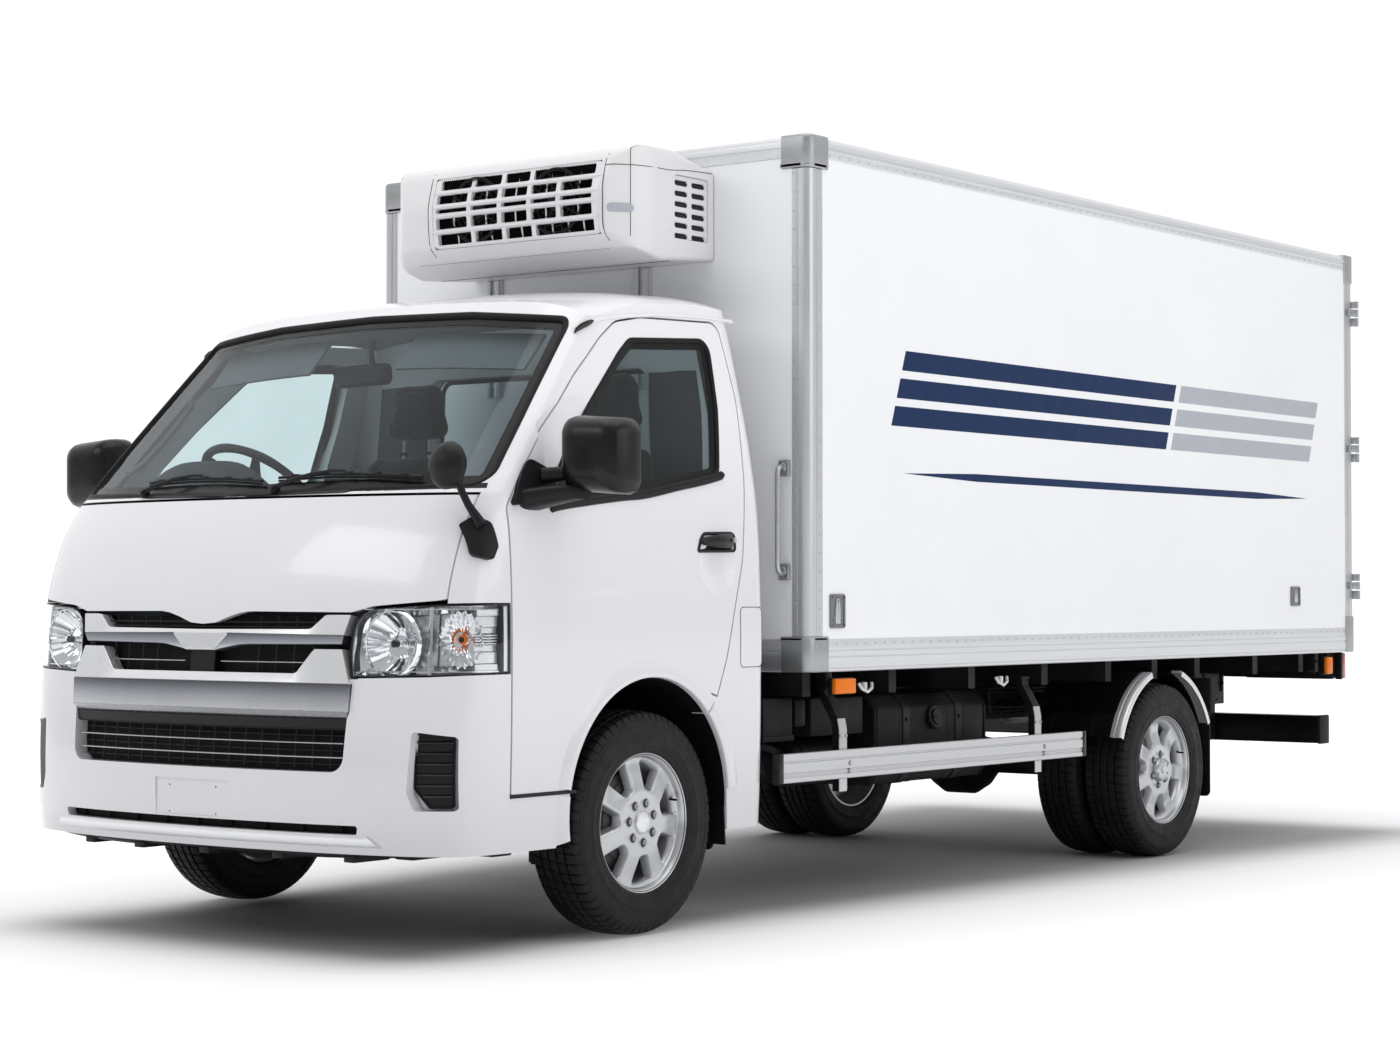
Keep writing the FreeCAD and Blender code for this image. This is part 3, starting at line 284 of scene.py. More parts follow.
def dark_wells(*names):
    """The same paint turns to black underseal inside the wheel wells, and a painted shade darkens it towards the
    ground.
    """
    for name in names:
        nt = MATS[name].node_tree
        b = nt.nodes["Principled BSDF"]
        co = nt.nodes.new("ShaderNodeTexCoord")
        sx = nt.nodes.new("ShaderNodeSeparateXYZ")
        nt.links.new(co.outputs["Object"], sx.inputs[0])

        def m(op, a, c=0.0):
            n = nt.nodes.new("ShaderNodeMath")
            n.operation = op
            for i, v in ((0, a), (1, c)):
                if isinstance(v, (int, float)):
                    n.inputs[i].default_value = v
                else:
                    nt.links.new(v, n.inputs[i])
            return n.outputs[0]
        k = m("LESS_THAN", m("ABSOLUTE", sx.outputs[0]), 0.862)
        k = m("MULTIPLY", k, m("LESS_THAN", sx.outputs[2], 0.80))
        k = m("MULTIPLY", k, m("GREATER_THAN", sx.outputs[1], -2.50))
        k = m("MULTIPLY", k, m("LESS_THAN", sx.outputs[1], -1.50))
        inp = b.inputs["Base Color"]
        mix = nt.nodes.new("ShaderNodeMix")
        mix.data_type = "RGBA"
        nt.links.new(k, mix.inputs[0])
        # painted shade: the paint darkens towards the ground
        ground_shade = nt.nodes.new("ShaderNodeMix")
        ground_shade.data_type = "RGBA"
        ground_shade.blend_type = "MULTIPLY"
        ground_shade.inputs[0].default_value = 1.0
        ramp = nt.nodes.new("ShaderNodeValToRGB")
        el = ramp.color_ramp.elements
        for p, c in ((0.0, 0.70), (0.2, 0.80), (0.45, 0.91), (0.8, 0.95), (1.0, 1.0)):
            e = el.new(p)
            e.color = (c, c, c * 1.004, 1)
        el.remove(el[0])
        el.remove(el[len(el) - 1])
        nt.links.new(m("DIVIDE", sx.outputs[2], 1.6), ramp.inputs[0])
        nt.links.new(inp.links[0].from_socket, ground_shade.inputs[6])
        nt.links.new(ramp.outputs[0], ground_shade.inputs[7])
        nt.links.new(ground_shade.outputs[2], mix.inputs[6])
        mix.inputs[7].default_value = (0.004, 0.004, 0.0045, 1)
        nt.links.new(mix.outputs[2], inp)
        free = m("SUBTRACT", 1.0, k)
        for sock in ("Coat Weight", "Metallic"):
            v = b.inputs[sock].default_value
            if v and not b.inputs[sock].is_linked:
                nt.links.new(m("MULTIPLY", free, v), b.inputs[sock])


# chassis black: satin paint with patches of road dust
t = NT("chassis_black")
n1 = t.noise(7.0, 6, 0.65)
t.set(Base_Color=t.ramp(n1, [(0.35, (0.004, 0.004, 0.0045)), (0.62, (0.009, 0.009, 0.0095)), (0.85, (0.026, 0.024, 0.022))]),
      Roughness=t.maprange(n1, 0.3, 0.8, 0.38, 0.75), Normal=t.bump(t.noise(160.0, 4), 0.12, 0.001))
t.b.inputs["Specular IOR Level"].default_value = 0.2

# tyre rubber: deep black with a faint mottled bloom
t = NT("tyre_rubber")
n1 = t.noise(12.0, 6, 0.6)
t.set(Base_Color=t.ramp(n1, [(0.3, (0.005, 0.005, 0.0055)), (0.7, (0.011, 0.011, 0.011))]),
      Roughness=t.maprange(t.noise(30.0, 4), 0.3, 0.7, 0.46, 0.62), Normal=t.bump(t.noise(900.0, 3), 0.12, 0.0006))
t.b.inputs["Specular IOR Level"].default_value = 0.22

# woven seat cloth
t = NT("seat_fabric")
wv = t.n("ShaderNodeTexWave", wave_type="BANDS", bands_direction="X")
wv.inputs["Scale"].default_value = 260.0
wv.inputs["Distortion"].default_value = 0.6
t.l(t.co(), wv.inputs["Vector"])
wz = t.n("ShaderNodeTexWave", wave_type="BANDS", bands_direction="DIAGONAL")
wz.inputs["Scale"].default_value = 260.0
wz.inputs["Distortion"].default_value = 0.6
t.l(t.co(), wz.inputs["Vector"])
weave = t.math("MULTIPLY", wv.outputs["Fac"], wz.outputs["Fac"])
t.set(Base_Color=t.mix(weave, (0.014, 0.016, 0.019), (0.032, 0.035, 0.041)), Roughness=0.92,
      Normal=t.bump(weave, 0.2, 0.0006))
t.b.inputs["Sheen Weight"].default_value = 0.35
t.b.inputs["Sheen Roughness"].default_value = 0.5
plastic("seat_side", (0.035, 0.036, 0.040), 0.7, 700.0, 0.3)


def glass(name, tint, fres_lo=1.45, refl=1.0):
    t = NT(name)
    t.t.nodes.remove(t.b)
    tr = t.n("ShaderNodeBsdfTransparent")
    gl = t.n("ShaderNodeBsdfGlossy")
    gl.inputs["Roughness"].default_value = 0.015
    gl.inputs["Color"].default_value = (0.95, 0.97, 1.0, 1)
    n1 = t.noise(2.2, 3)
    lo = tuple(c * 0.97 for c in tint)
    t.l(t.ramp(n1, [(0.3, lo), (0.7, tint)]), tr.inputs["Color"])
    fr = t.n("ShaderNodeFresnel")
    fr.inputs["IOR"].default_value = fres_lo
    ge = t.n("ShaderNodeNewGeometry")
    # only the faces towards the eye mirror; light leaves through the back of the pane unchanged
    k = t.math("MULTIPLY", fr.outputs[0], t.math("SUBTRACT", 1.0, ge.outputs["Backfacing"]))
    mx = t.n("ShaderNodeMixShader")
    t.l(t.math("MULTIPLY", k, refl), mx.inputs[0])
    t.l(tr.outputs[0], mx.inputs[1])
    t.l(gl.outputs[0], mx.inputs[2])
    t.l(mx.outputs[0], t.out.inputs["Surface"])
    return t.m


glass("glass", (0.87, 0.925, 0.93), 1.42, 0.7)
glass("lamp_lens", (0.97, 0.98, 0.99), 1.4)
t = NT("mirror_glass")
t.set(Base_Color=t.ramp(t.noise(3.0, 2), [(0.3, (0.78, 0.79, 0.80)), (0.7, (0.84, 0.85, 0.86))]), Roughness=0.03)
t.b.inputs["Metallic"].default_value = 1.0


def use(obj, mat):
    m = MATS[mat]
    obj.data.materials.clear()
    obj.data.materials.append(m)
    return obj


CAD_MATS = {
    "white_paint": ["cab_shell", "sill_panels", "hood", "door_left", "door_right", "front_bumper"],
    "glass": ["cab_glass", "door_glass_left", "door_glass_right"],
    "dark_trim": ["cab_floor", "dashboard", "steering_wheel"],
    "chrome": ["grille"], "lamp_lens": ["headlamps"],
    "black_plastic": ["mirror_left", "mirror_right", "under_mirror", "wipers", "battery_box", "rear_fenders"],
    "seat_fabric": ["seats"],
    "chassis_black": ["chassis_rails", "cross_members", "box_subframe", "propshaft", "front_axle", "rear_axle", "fuel_tank", "rear_underrun_bar"],
    "engine_iron": ["engine_block", "knuckle_left", "knuckle_right"], "exhaust_steel": ["exhaust"],
    "aluminium": ["side_guards", "box_frame"], "flap_rubber": ["mudflaps"], "tail_red": ["tail_lamps"],
    "panel_white": ["box_walls", "box_roof", "rear_door_left", "rear_door_right"],
    "floor_aluminium": ["box_floor"], "cap_grey": ["corner_caps"], "steel": ["box_hardware", "front_wall_fittings"],
    "unit_white": ["cooling_unit"], "amber": ["marker_lamps"],
    "tyre_rubber": ["front_tyre_left", "front_tyre_right", "rear_tyres_left", "rear_tyres_right"],
    "wheel_silver": ["front_rim_left", "front_rim_right", "rear_rims_left", "rear_rims_right"],
}
for mname, names in CAD_MATS.items():
    for nd in names:
        use(nodes[nd], mname)

dark_wells("white_paint", "white_plain")
# ------------------------------------------------------------------ modelling helpers
def dense(pts, step, closed=True):
    out = []
    n = len(pts)
    for i in range(n if closed else n - 1):
        a, b = pts[i], pts[(i + 1) % n]
        k = max(1, int(math.ceil(math.hypot(b[0] - a[0], b[1] - a[1]) / step)))
        out += [(a[0] + (b[0] - a[0]) * j / k, a[1] + (b[1] - a[1]) * j / k) for j in range(k)]
    if not closed:
        out.append(pts[-1])
    return out


def rounded(pts, r, arc=6):
    """Outline through 2D points with its corners rounded to r (number or list)."""
    n = len(pts)
    rs = r if isinstance(r, (list, tuple)) else [r] * n
    out = []
    for i in range(n):
        p = Vector(pts[i])
        u, w = Vector(pts[i - 1]) - p, Vector(pts[(i + 1) % n]) - p
        lu, lw = u.length, w.length
        u.normalize()
        w.normalize()
        ang = u.angle(w)
        if rs[i] <= 0 or ang > math.radians(177):
            out.append(tuple(p))
            continue
        t = min(rs[i] / math.tan(ang / 2), 0.47 * lu, 0.47 * lw)
        rr = t * math.tan(ang / 2)
        b = u + w
        b.normalize()
        c = p + b * (rr / math.sin(ang / 2))
        a0, a1 = p + u * t - c, p + w * t - c
        s0 = math.atan2(a0.y, a0.x)
        s1 = math.atan2(a1.y, a1.x)
        ds = (s1 - s0 + math.pi) % (2 * math.pi) - math.pi
        k = max(2, int(round(arc * abs(ds) / (math.pi / 2))) + 1)
        out += [(c.x + rr * math.cos(s0 + ds * j / k), c.y + rr * math.sin(s0 + ds * j / k)) for j in range(k + 1)]
    return out


def area2(pts):
    n = len(pts)
    return sum(pts[i][0] * pts[(i + 1) % n][1] - pts[(i + 1) % n][0] * pts[i][1] for i in range(n)) / 2


def offset(pts, d):
    """Outline moved outwards by d."""
    n = len(pts)
    s = -1.0 if area2(pts) > 0 else 1.0
    out = []
    for i in range(n):
        x0, y0 = pts[i - 1]
        x1, y1 = pts[i]
        x2, y2 = pts[(i + 1) % n]
        a = math.hypot(x1 - x0, y1 - y0) or 1e-9
        b = math.hypot(x2 - x1, y2 - y1) or 1e-9
        n1 = (-(y1 - y0) / a * s, (x1 - x0) / a * s)
        n2 = (-(y2 - y1) / b * s, (x2 - x1) / b * s)
        k = max(0.35, 1 + n1[0] * n2[0] + n1[1] * n2[1])
        out.append((x1 + d * (n1[0] + n2[0]) / k, y1 + d * (n1[1] + n2[1]) / k))
    return out


def inside(pts, x, y):
    c = False
    n = len(pts)
    for i in range(n):
        x1, y1 = pts[i]
        x2, y2 = pts[i - 1]
        if (y1 > y) != (y2 > y) and x < (x2 - x1) * (y - y1) / (y2 - y1) + x1:
            c = not c
    return c


def fill2d(outer, holes=(), step=40.0, extra=()):
    """Triangles of an outline with holes, with inner points on a grid."""
    from mathutils.geometry import delaunay_2d_cdt
    pts, edges = [], []
    for loop in [outer] + list(holes):
        k = len(pts)
        pts += [Vector(p) for p in loop]
        edges += [(k + i, k + (i + 1) % len(loop)) for i in range(len(loop))]
    near = np.array([tuple(p) for p in pts])
    xs = [p[0] for p in outer]
    ys = [p[1] for p in outer]
    grid = []
    if step:
        nx = int((max(xs) - min(xs)) / step) + 2
        ny = int((max(ys) - min(ys)) / step) + 2
        grid = [(min(xs) + step * (i + 0.5 * (j % 2)), min(ys) + step * j) for i in range(nx) for j in range(ny)]
    for x, y in list(grid) + list(extra):
        if inside(outer, x, y) and not any(inside(h, x, y) for h in holes) and np.min(np.hypot(near[:, 0] - x, near[:, 1] - y)) > (step or 8) * 0.35:
            pts.append(Vector((x, y)))
    vo, _, fo, _, _, _ = delaunay_2d_cdt(pts, edges, [], 0, 1e-5)
    out = []
    for f in fo:
        cx = sum(vo[i].x for i in f) / len(f)
        cy = sum(vo[i].y for i in f) / len(f)
        if inside(outer, cx, cy) and not any(inside(h, cx, cy) for h in holes):
            out.append(tuple(f))
    return [tuple(v) for v in vo], out


def beveled(v, f, w, seg=2, deg=28):
    bm = bmesh.new()
    vs = [bm.verts.new(p) for p in v]
    for q in f:
        bm.faces.new([vs[i] for i in q])
    bmesh.ops.recalc_face_normals(bm, faces=bm.faces)
    ed = [e for e in bm.edges if len(e.link_faces) == 2 and e.calc_face_angle(0) > math.radians(deg)]
    bmesh.ops.bevel(bm, geom=ed, offset=w, segments=seg, profile=0.5, affect="EDGES", clamp_overlap=True)
    bm.verts.index_update()
    out = [tuple(p.co) for p in bm.verts], [tuple(x.index for x in q.verts) for q in bm.faces]
    bm.free()
    return out


class Bag:
    """Points and faces in millimetres in the working frame; obj() makes one object of them."""

    def __init__(self):
        self.v, self.f = [], []

    def add(self, v, f):
        k = len(self.v)
        self.v += [(float(p[0]), float(p[1]), float(p[2])) for p in v]
        self.f += [tuple(i + k for i in q) for q in f]
        return self

    def rows(self, rows, closed=False, loop=False, ends=False):
        n, m = len(rows[0]), len(rows)
        f = []
        for i in range(m if loop else m - 1):
            a, b = i * n, ((i + 1) % m) * n
            for j in range(n if closed else n - 1):
                k = (j + 1) % n
                f.append((a + j, a + k, b + k, b + j))
        if ends:
            f.append(tuple(range(n))[::-1])
            f.append(tuple((m - 1) * n + j for j in range(n)))
        return self.add([p for r in rows for p in r], f)

    def box(self, x0, x1, y0, y1, z0, z1, bev=0.0, seg=2):
        x0, x1 = min(x0, x1), max(x0, x1)
        v = [(x, y, z) for x in (x0, x1) for y in (y0, y1) for z in (z0, z1)]
        f = [(0, 1, 3, 2), (4, 6, 7, 5), (0, 4, 5, 1), (2, 3, 7, 6), (0, 2, 6, 4), (1, 5, 7, 3)]
        if bev:
            v, f = beveled(v, f, bev, seg)
        return self.add(v, f)

    def prism(self, pts, axis, a, b, bev=0.0, seg=2):
        n = len(pts)

        def put(p, h):
            return {"x": (h, p[0], p[1]), "y": (p[0], h, p[1]), "z": (p[0], p[1], h)}[axis]
        v = [put(p, a) for p in pts] + [put(p, b) for p in pts]
        f = [tuple(range(n)), tuple(range(2 * n - 1, n - 1, -1))]
        f += [(i, (i + 1) % n, n + (i + 1) % n, n + i) for i in range(n)]
        if bev:
            v, f = beveled(v, f, bev, seg, 40)
        return self.add(v, f)

    def rev(self, prof, c, axis, n=48, closed=True, a0=0.0):
        """Profile (along the axis, radius) turned about an axis through c."""
        ax = Vector(axis).normalized()
        e1 = ax.orthogonal().normalized()
        e2 = ax.cross(e1)
        rows = []
        for i in range(n):
            t = 2 * math.pi * i / n + a0
            d = e1 * math.cos(t) + e2 * math.sin(t)
            rows.append([Vector(c) + ax * h + d * r for h, r in prof])
        return self.rows(rows, closed=closed, loop=True)

    def cyl(self, p0, p1, r, n=28, bev=0.0, r2=None):
        p0, p1 = Vector(p0), Vector(p1)
        h = (p1 - p0).length
        r2 = r if r2 is None else r2
        b = min(bev, h / 3, r / 2)
        prof = [(0, 0.001), (0, r - b), (b, r), (h - b, r2), (h, r2 - b), (h, 0.001)] if b else [(0, 0.001), (0, r), (h, r2), (h, 0.001)]
        return self.rev(prof, p0, p1 - p0, n, closed=False)

    def tube(self, pts, r, n=12, closed=False, caps=True, flat=1.0, up=None):
        """Round (or flattened) bar along a path, with steady frames."""
        P3 = [Vector(p) for p in pts]
        m = len(P3)
        rows = []
        ref = Vector(up) if up else None
        for i, p in enumerate(P3):
            a = P3[i - 1] if (i or closed) else p
            b = P3[(i + 1) % m] if (i < m - 1 or closed) else p
            t = (b - a).normalized()
            if ref is None:
                ref = t.orthogonal().normalized()
            e1 = (ref - t * ref.dot(t)).normalized()
            if up is None:
                ref = e1
            e2 = t.cross(e1)
            rr = r[i] if isinstance(r, (list, tuple)) else r
            rows.append([p + e1 * (math.cos(2 * math.pi * k / n) * rr) + e2 * (math.sin(2 * math.pi * k / n) * rr * flat) for k in range(n)])
        return self.rows(rows, closed=True, loop=closed, ends=caps and not closed)

    def sweep(self, outline, profile, place, closed=True):
        """A section of (distance outwards, height) pairs swept round an outline lying on a surface."""
        rows = []
        for d, h in profile:
            rows.append([place(p, h) for p in (offset(outline, d) if d else outline)])
        return self.rows(rows, closed=closed)

    def patch(self, outer, place, h=0.0, holes=(), step=40.0, thick=0.0):
        """Filled outline on a surface, h off it; with thick, a closed plate."""
        v, f = fill2d(outer, holes, step)
        top = [place(p, h) for p in v]
        self.add(top, f)
        if thick:
            self.add([place(p, h - thick) for p in v], [tuple(reversed(q)) for q in f])
            for loop in [outer] + list(holes):
                self.rows([[place(p, h) for p in loop], [place(p, h - thick) for p in loop]], closed=True)
        return self

    def join(self, other, mirror=False, move=(0, 0, 0)):
        s = -1 if mirror else 1
        return self.add([(s * p[0] + move[0], p[1] + move[1], p[2] + move[2]) for p in other.v],
                        [tuple(reversed(q)) if mirror else q for q in other.f])

    def both(self):
        """Adds the mirror image in X."""
        c = Bag()
        c.v, c.f = list(self.v), list(self.f)
        return self.join(c, True)

    def flip(self):
        """The mirror image alone."""
        b = Bag()
        return b.join(self, True)

    def obj(self, name, mat, body="truck", deg=32, rep=(), slot=None, weld=0.02, face=None):
        me = bpy.data.meshes.new(name)
        me.from_pydata([P(*p) for p in self.v], [], self.f)
        bm = bmesh.new()
        bm.from_mesh(me)
        bmesh.ops.remove_doubles(bm, verts=bm.verts, dist=weld / 1000.0)
        bmesh.ops.recalc_face_normals(bm, faces=bm.faces)
        if face is not None:
            s = sum((f.normal * f.calc_area() for f in bm.faces), Vector())
            if s.dot(Vector(face)) < 0:
                bmesh.ops.reverse_faces(bm, faces=bm.faces)
        bm.to_mesh(me)
        bm.free()
        me.shade_smooth()
        me.set_sharp_from_angle(angle=math.radians(deg))
        o = bpy.data.objects.new(name, me)
        bpy.context.scene.collection.objects.link(o)
        use(o, mat)
        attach(o, body)
        if rep:
            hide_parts(*rep)
        return o


def front(p, h=0.0):
    return fpt(p[0], p[1], h)


def side(p, h=0.0):
    return spt(p[0], p[1], h, 1)


def flat_x(x):
    return lambda p, h=0.0: (x + h, p[0], p[1])


def flat_y(y):
    return lambda p, h=0.0: (p[0], y - h, p[1])


# ------------------------------------------------------------------ cab surface
# The same tables as the cab's CAD source, so that trim can follow the body's curves.
def table(xs, ys):
    n = len(xs)
    h = [xs[i + 1] - xs[i] for i in range(n - 1)]
    d = [(ys[i + 1] - ys[i]) / h[i] for i in range(n - 1)]
    m = [d[0]] + [0.0] * (n - 2) + [d[-1]]
    for i in range(1, n - 1):
        if d[i - 1] * d[i] > 0:
            w1, w2 = 2 * h[i] + h[i - 1], h[i] + 2 * h[i - 1]
            m[i] = (w1 + w2) / (w1 / d[i - 1] + w2 / d[i])

    def f(x):
        if x <= xs[0]:
            return ys[0] + m[0] * (x - xs[0])
        if x >= xs[-1]:
            return ys[-1] + m[-1] * (x - xs[-1])
        i = max(k for k in range(n - 1) if xs[k] <= x)
        t = (x - xs[i]) / h[i]
        return ((2 * t**3 - 3 * t**2 + 1) * ys[i] + (t**3 - 2 * t**2 + t) * h[i] * m[i]
                + (-2 * t**3 + 3 * t**2) * ys[i + 1] + (t**3 - t**2) * h[i] * m[i + 1])
    return f


CAB_XS = table([300, 450, 690, 900, 1030, 1200, 1345, 1420, 1550, 1680, 1810, 1940, 2080],
               [930, 936, 941, 942, 940, 934, 923, 913, 891, 864, 835, 803, 765])
FRONT_LOW = table([300, 360, 450, 550, 690, 800, 900, 990, 1100, 1200, 1280, 1345],
                  [-958, -972, -980, -977, -965, -951, -941, -930, -906, -873, -836, -800])
FRONT_UP = table([1345, 1500, 1650, 1800, 1925, 2100], [-794, -640, -492, -343, -217, -38])
CORNER_Y = table([300, 990, 1200, 1345, 1500, 1650, 1800, 1925, 2100],
                 [-600, -598, -545, -450, -330, -215, -100, -4, 130])
ROOF_Z = table([-420, -220, -100, 0, 200, 450, 660, 760], [1858, 1950, 1985, 2003, 2026, 2035, 2016, 2000])
GUTTER_Z = table([-420, -220, -56, 160, 477, 684, 760], [1785, 1862, 1902, 1944, 1962, 1944, 1934])
FRONT_SHAPE = [(0.0, 0.0), (0.16, 0.007), (0.32, 0.028), (0.47, 0.064), (0.617, 0.121), (0.735, 0.187),
               (0.835, 0.266), (0.90, 0.340), (0.945, 0.420), (0.973, 0.51), (0.989, 0.63), (0.997, 0.79), (1.0, 1.0)]


def _clamped(t, y, d0, d1, q):
    """Values at q of the cubic spline through (t, y) with end slopes d0 and d1."""
    n = len(t)
    a = np.zeros((n, n))
    b = np.zeros(n)
    h = np.diff(t)
    a[0, 0] = a[-1, -1] = 1
    b[0], b[-1] = d0, d1
    for i in range(1, n - 1):
        a[i, i - 1] = 1 / h[i - 1]
        a[i, i] = 2 * (1 / h[i - 1] + 1 / h[i])
        a[i, i + 1] = 1 / h[i]
        b[i] = 3 * ((y[i] - y[i - 1]) / h[i - 1]**2 + (y[i + 1] - y[i]) / h[i]**2)
    m = np.linalg.solve(a, b)
    i = np.clip(np.searchsorted(t, q, side="right") - 1, 0, n - 2)
    s = (q - t[i]) / h[i]
    return ((2 * s**3 - 3 * s**2 + 1) * y[i] + (s**3 - 2 * s**2 + s) * h[i] * m[i]
            + (-2 * s**3 + 3 * s**2) * y[i + 1] + (s**3 - s**2) * h[i] * m[i + 1])


def _front_curves():
    full = [(-u, w) for u, w in reversed(FRONT_SHAPE[1:])] + FRONT_SHAPE
    full = np.array(full)
    seg = np.hypot(np.diff(full[:, 0]) * 900, np.diff(full[:, 1]) * 330)
    t = np.concatenate([[0], np.cumsum(seg)])
    t = t / t[-1] * 2.0
    q = np.linspace(1.0, 2.0, 601)
    u = _clamped(t, full[:, 0], 0, 0, q)
    w = _clamped(t, full[:, 1], 0, 0, q)
    k = _clamped(t, full[:, 1] * 0, -1, 1, q)
    return u, w, k


FU, FW, FK = _front_curves()
FU = np.maximum.accumulate(FU)


def _lim(z):
    yf = (FRONT_UP if z > 1345 else FRONT_LOW)(z)
    yc = CORNER_Y(z)
    return yf, yc, CAB_XS(z)


def front_y(x, z):
    """y of the cab's outer surface at (x, z), seen from the front."""
    yf, yc, xs = _lim(z)
    i = float(np.interp(min(abs(x) / xs, 0.99999), FU, np.arange(601)))
    w = np.interp(i, np.arange(601), FW) + 900.0 / (yc - yf) * np.interp(i, np.arange(601), FK)
    return yf + w * (yc - yf)


def side_x(y, z):
    """x of the cab's outer surface at (y, z), seen from the side."""
    yf, yc, xs = _lim(z)
    if y >= yc:
        return xs
    w = FW + 900.0 / (yc - yf) * FK
    i = float(np.interp(max((y - yf) / (yc - yf), 0.0), np.maximum.accumulate(w), np.arange(601)))
    return float(np.interp(i, np.arange(601), FU)) * xs


def round_y(g, z):
    """(x, y) at girth g: 0 on the centre line, 1 at the corner, then g - 1 metres along the side."""
    yf, yc, xs = _lim(z)
    if g >= 1:
        return xs, yc + (g - 1) * 1000.0
    i = g * 600.0
    w = np.interp(i, np.arange(601), FW) + 900.0 / (yc - yf) * np.interp(i, np.arange(601), FK)
    return float(np.interp(i, np.arange(601), FU)) * xs, yf + w * (yc - yf)


def girth_x(x, z):
    return float(np.interp(abs(x) / CAB_XS(z), FU, np.arange(601))) / 600.0


def girth_y(y, z):
    yf, yc, xs = _lim(z)
    if y >= yc:
        return 1 + (y - yc) / 1000.0
    w = FW + 900.0 / (yc - yf) * FK
    return float(np.interp((y - yf) / (yc - yf), np.maximum.accumulate(w), np.arange(601))) / 600.0


def roof_z(x, y):
    """z of the roof at (x, y)."""
    sh = [(0, 0), (180, 0.018), (360, 0.075), (520, 0.17), (650, 0.32), (725, 0.48), (770, 0.65), (797, 0.83), (815, 1.02)]
    s = float(np.interp(abs(x), [a for a, b in sh], [b for a, b in sh]))
    return ROOF_Z(y) - (ROOF_Z(y) - GUTTER_Z(y)) * s


def fpt(x, z, off=0.0):
    """Point off the front surface by off mm."""
    y = front_y(x, z)
    e = 4.0
    dx = (front_y(x + e, z) - front_y(x - e, z)) / (2 * e)
    za, zb = (z - e, z + e)
    if za < 1345 < zb:
        za, zb = (z, z + 2 * e) if z >= 1345 else (z - 2 * e, z)
    dz = (front_y(x, zb) - front_y(x, za)) / (zb - za)
    n = np.array([dx, -1.0, dz])
    n /= np.linalg.norm(n)
    return np.array([x, y, z]) + n * off


def spt(y, z, off=0.0, side=1):
    """Point off the side surface by off mm."""
    x = side_x(y, z)
    e = 4.0
    dy = (side_x(y + e, z) - side_x(y - e, z)) / (2 * e)
    dz = (side_x(y, z + e) - side_x(y, z - e)) / (2 * e)
    n = np.array([1.0, -dy, -dz])
    n /= np.linalg.norm(n)
    p = np.array([x, y, z]) + n * off
    p[0] *= side
    return p
# ------------------------------------------------------------------ wheels
def tyre_bag():
    """Tyre about the X axis at the origin; its outer side faces +X."""
    def crown(x):
        return 345.0 - 6.0 * (abs(x) / 74.0) ** 2.4
    half = []            # (x, r, depth of the cross cuts)
    for x0, x1, cut in ((0, 12.5, 2.5), (20.5, 43, 3.5), (51.5, 76, 5.5)):
        if x0:
            half += [(x0 - 6.5, crown(x0) - 8.5, 0), (x0 - 1.0, crown(x0) - 8.0, 0), (x0, crown(x0) - 0.8, cut * 0.6), (x0 + 1.2, crown(x0), cut)]
        else:
            half += [(0, crown(0), cut)]
        half += [((x0 + x1) / 2, crown((x0 + x1) / 2), cut)] if x0 else []
        half += [(x1 - 1.0, crown(x1), cut), (x1, crown(x1) - 0.8, cut * 0.6)]
    half += [(81, 336.5, 5.0), (85.5, 332, 4.5), (88.5, 326.5, 3.5), (90.5, 321.5, 2.4), (92.2, 317, 1.2), (93.4, 314.5, 0), (94.4, 313.5, 0), (95.0, 310, 0),
             (95.4, 304, 0), (96.6, 303, 0), (96.9, 300.5, 0), (95.9, 299, 0), (96.7, 286, 0), (97.2, 274, 0), (97.0, 262, 0), (97.5, 261, 0), (97.5, 257.5, 0), (96.6, 256.5, 0),
             (95.6, 246, 0), (94.2, 238, 0), (94.8, 237, 0), (94.4, 233.5, 0), (93.2, 232.5, 0), (91.6, 226, 0), (91.8, 224.5, 0), (90.6, 221, 0), (87.5, 216, 0), (83, 209, 0)]
    prof = [(-x, r, c) for x, r, c in reversed(half[1:])] + half + [(70, 204, 0), (-70, 204, 0)]
    pitches = 64
    b = Bag()
    rows = []
    for i in range(pitches):
        for fr, deep in ((0.0, 0), (0.40, 0), (0.80, 0), (0.845, 1), (0.955, 1)):
            row = []
            for x, r, c in prof:
                t = 2 * math.pi * (i + fr + 0.0045 * abs(x) * (1 if x > 0 else -1)) / pitches
                rr = r - c * deep if abs(x) < 82 else r - c * deep * 0.8
                xx = x - (math.copysign(c * deep * 0.35, x) if abs(x) >= 82 else 0)
                row.append((xx, rr * math.cos(t), rr * math.sin(t)))
            rows.append(row)
    return b.rows(rows, closed=True, loop=True)


def disc_height(r):
    return float(np.interp(r, [0, 34, 44, 60, 80, 100, 118, 140, 160, 180, 190, 196], [77, 77, 76.5, 75.5, 76.5, 77, 74.5, 69.5, 65, 61.5, 61, 62.5]))


def window_outline(k, grow_by=0.0):
    """Rounded trapezoid between two spokes, in the wheel's YZ plane."""
    a = math.radians(-83.0 + 51.4286 * k)
    pts = [(106, -19), (140, -33.5), (184, -51.5), (189.5, -26), (191, 0), (189.5, 26), (184, 51.5), (140, 33.5), (106, 19), (102, 0)]
    o = rounded(pts, [15, 0, 13, 60, 60, 60, 13, 0, 15, 22], 5)
    o = dense(o, 7.0)
    if grow_by:
        o = offset(o, grow_by)
    return [(y * math.cos(a) - z * math.sin(a), y * math.sin(a) + z * math.cos(a)) for y, z in o]


def circle2(r, n, a0=0.0):
    return [(r * math.cos(a0 + 2 * math.pi * i / n), r * math.sin(a0 + 2 * math.pi * i / n)) for i in range(n)]


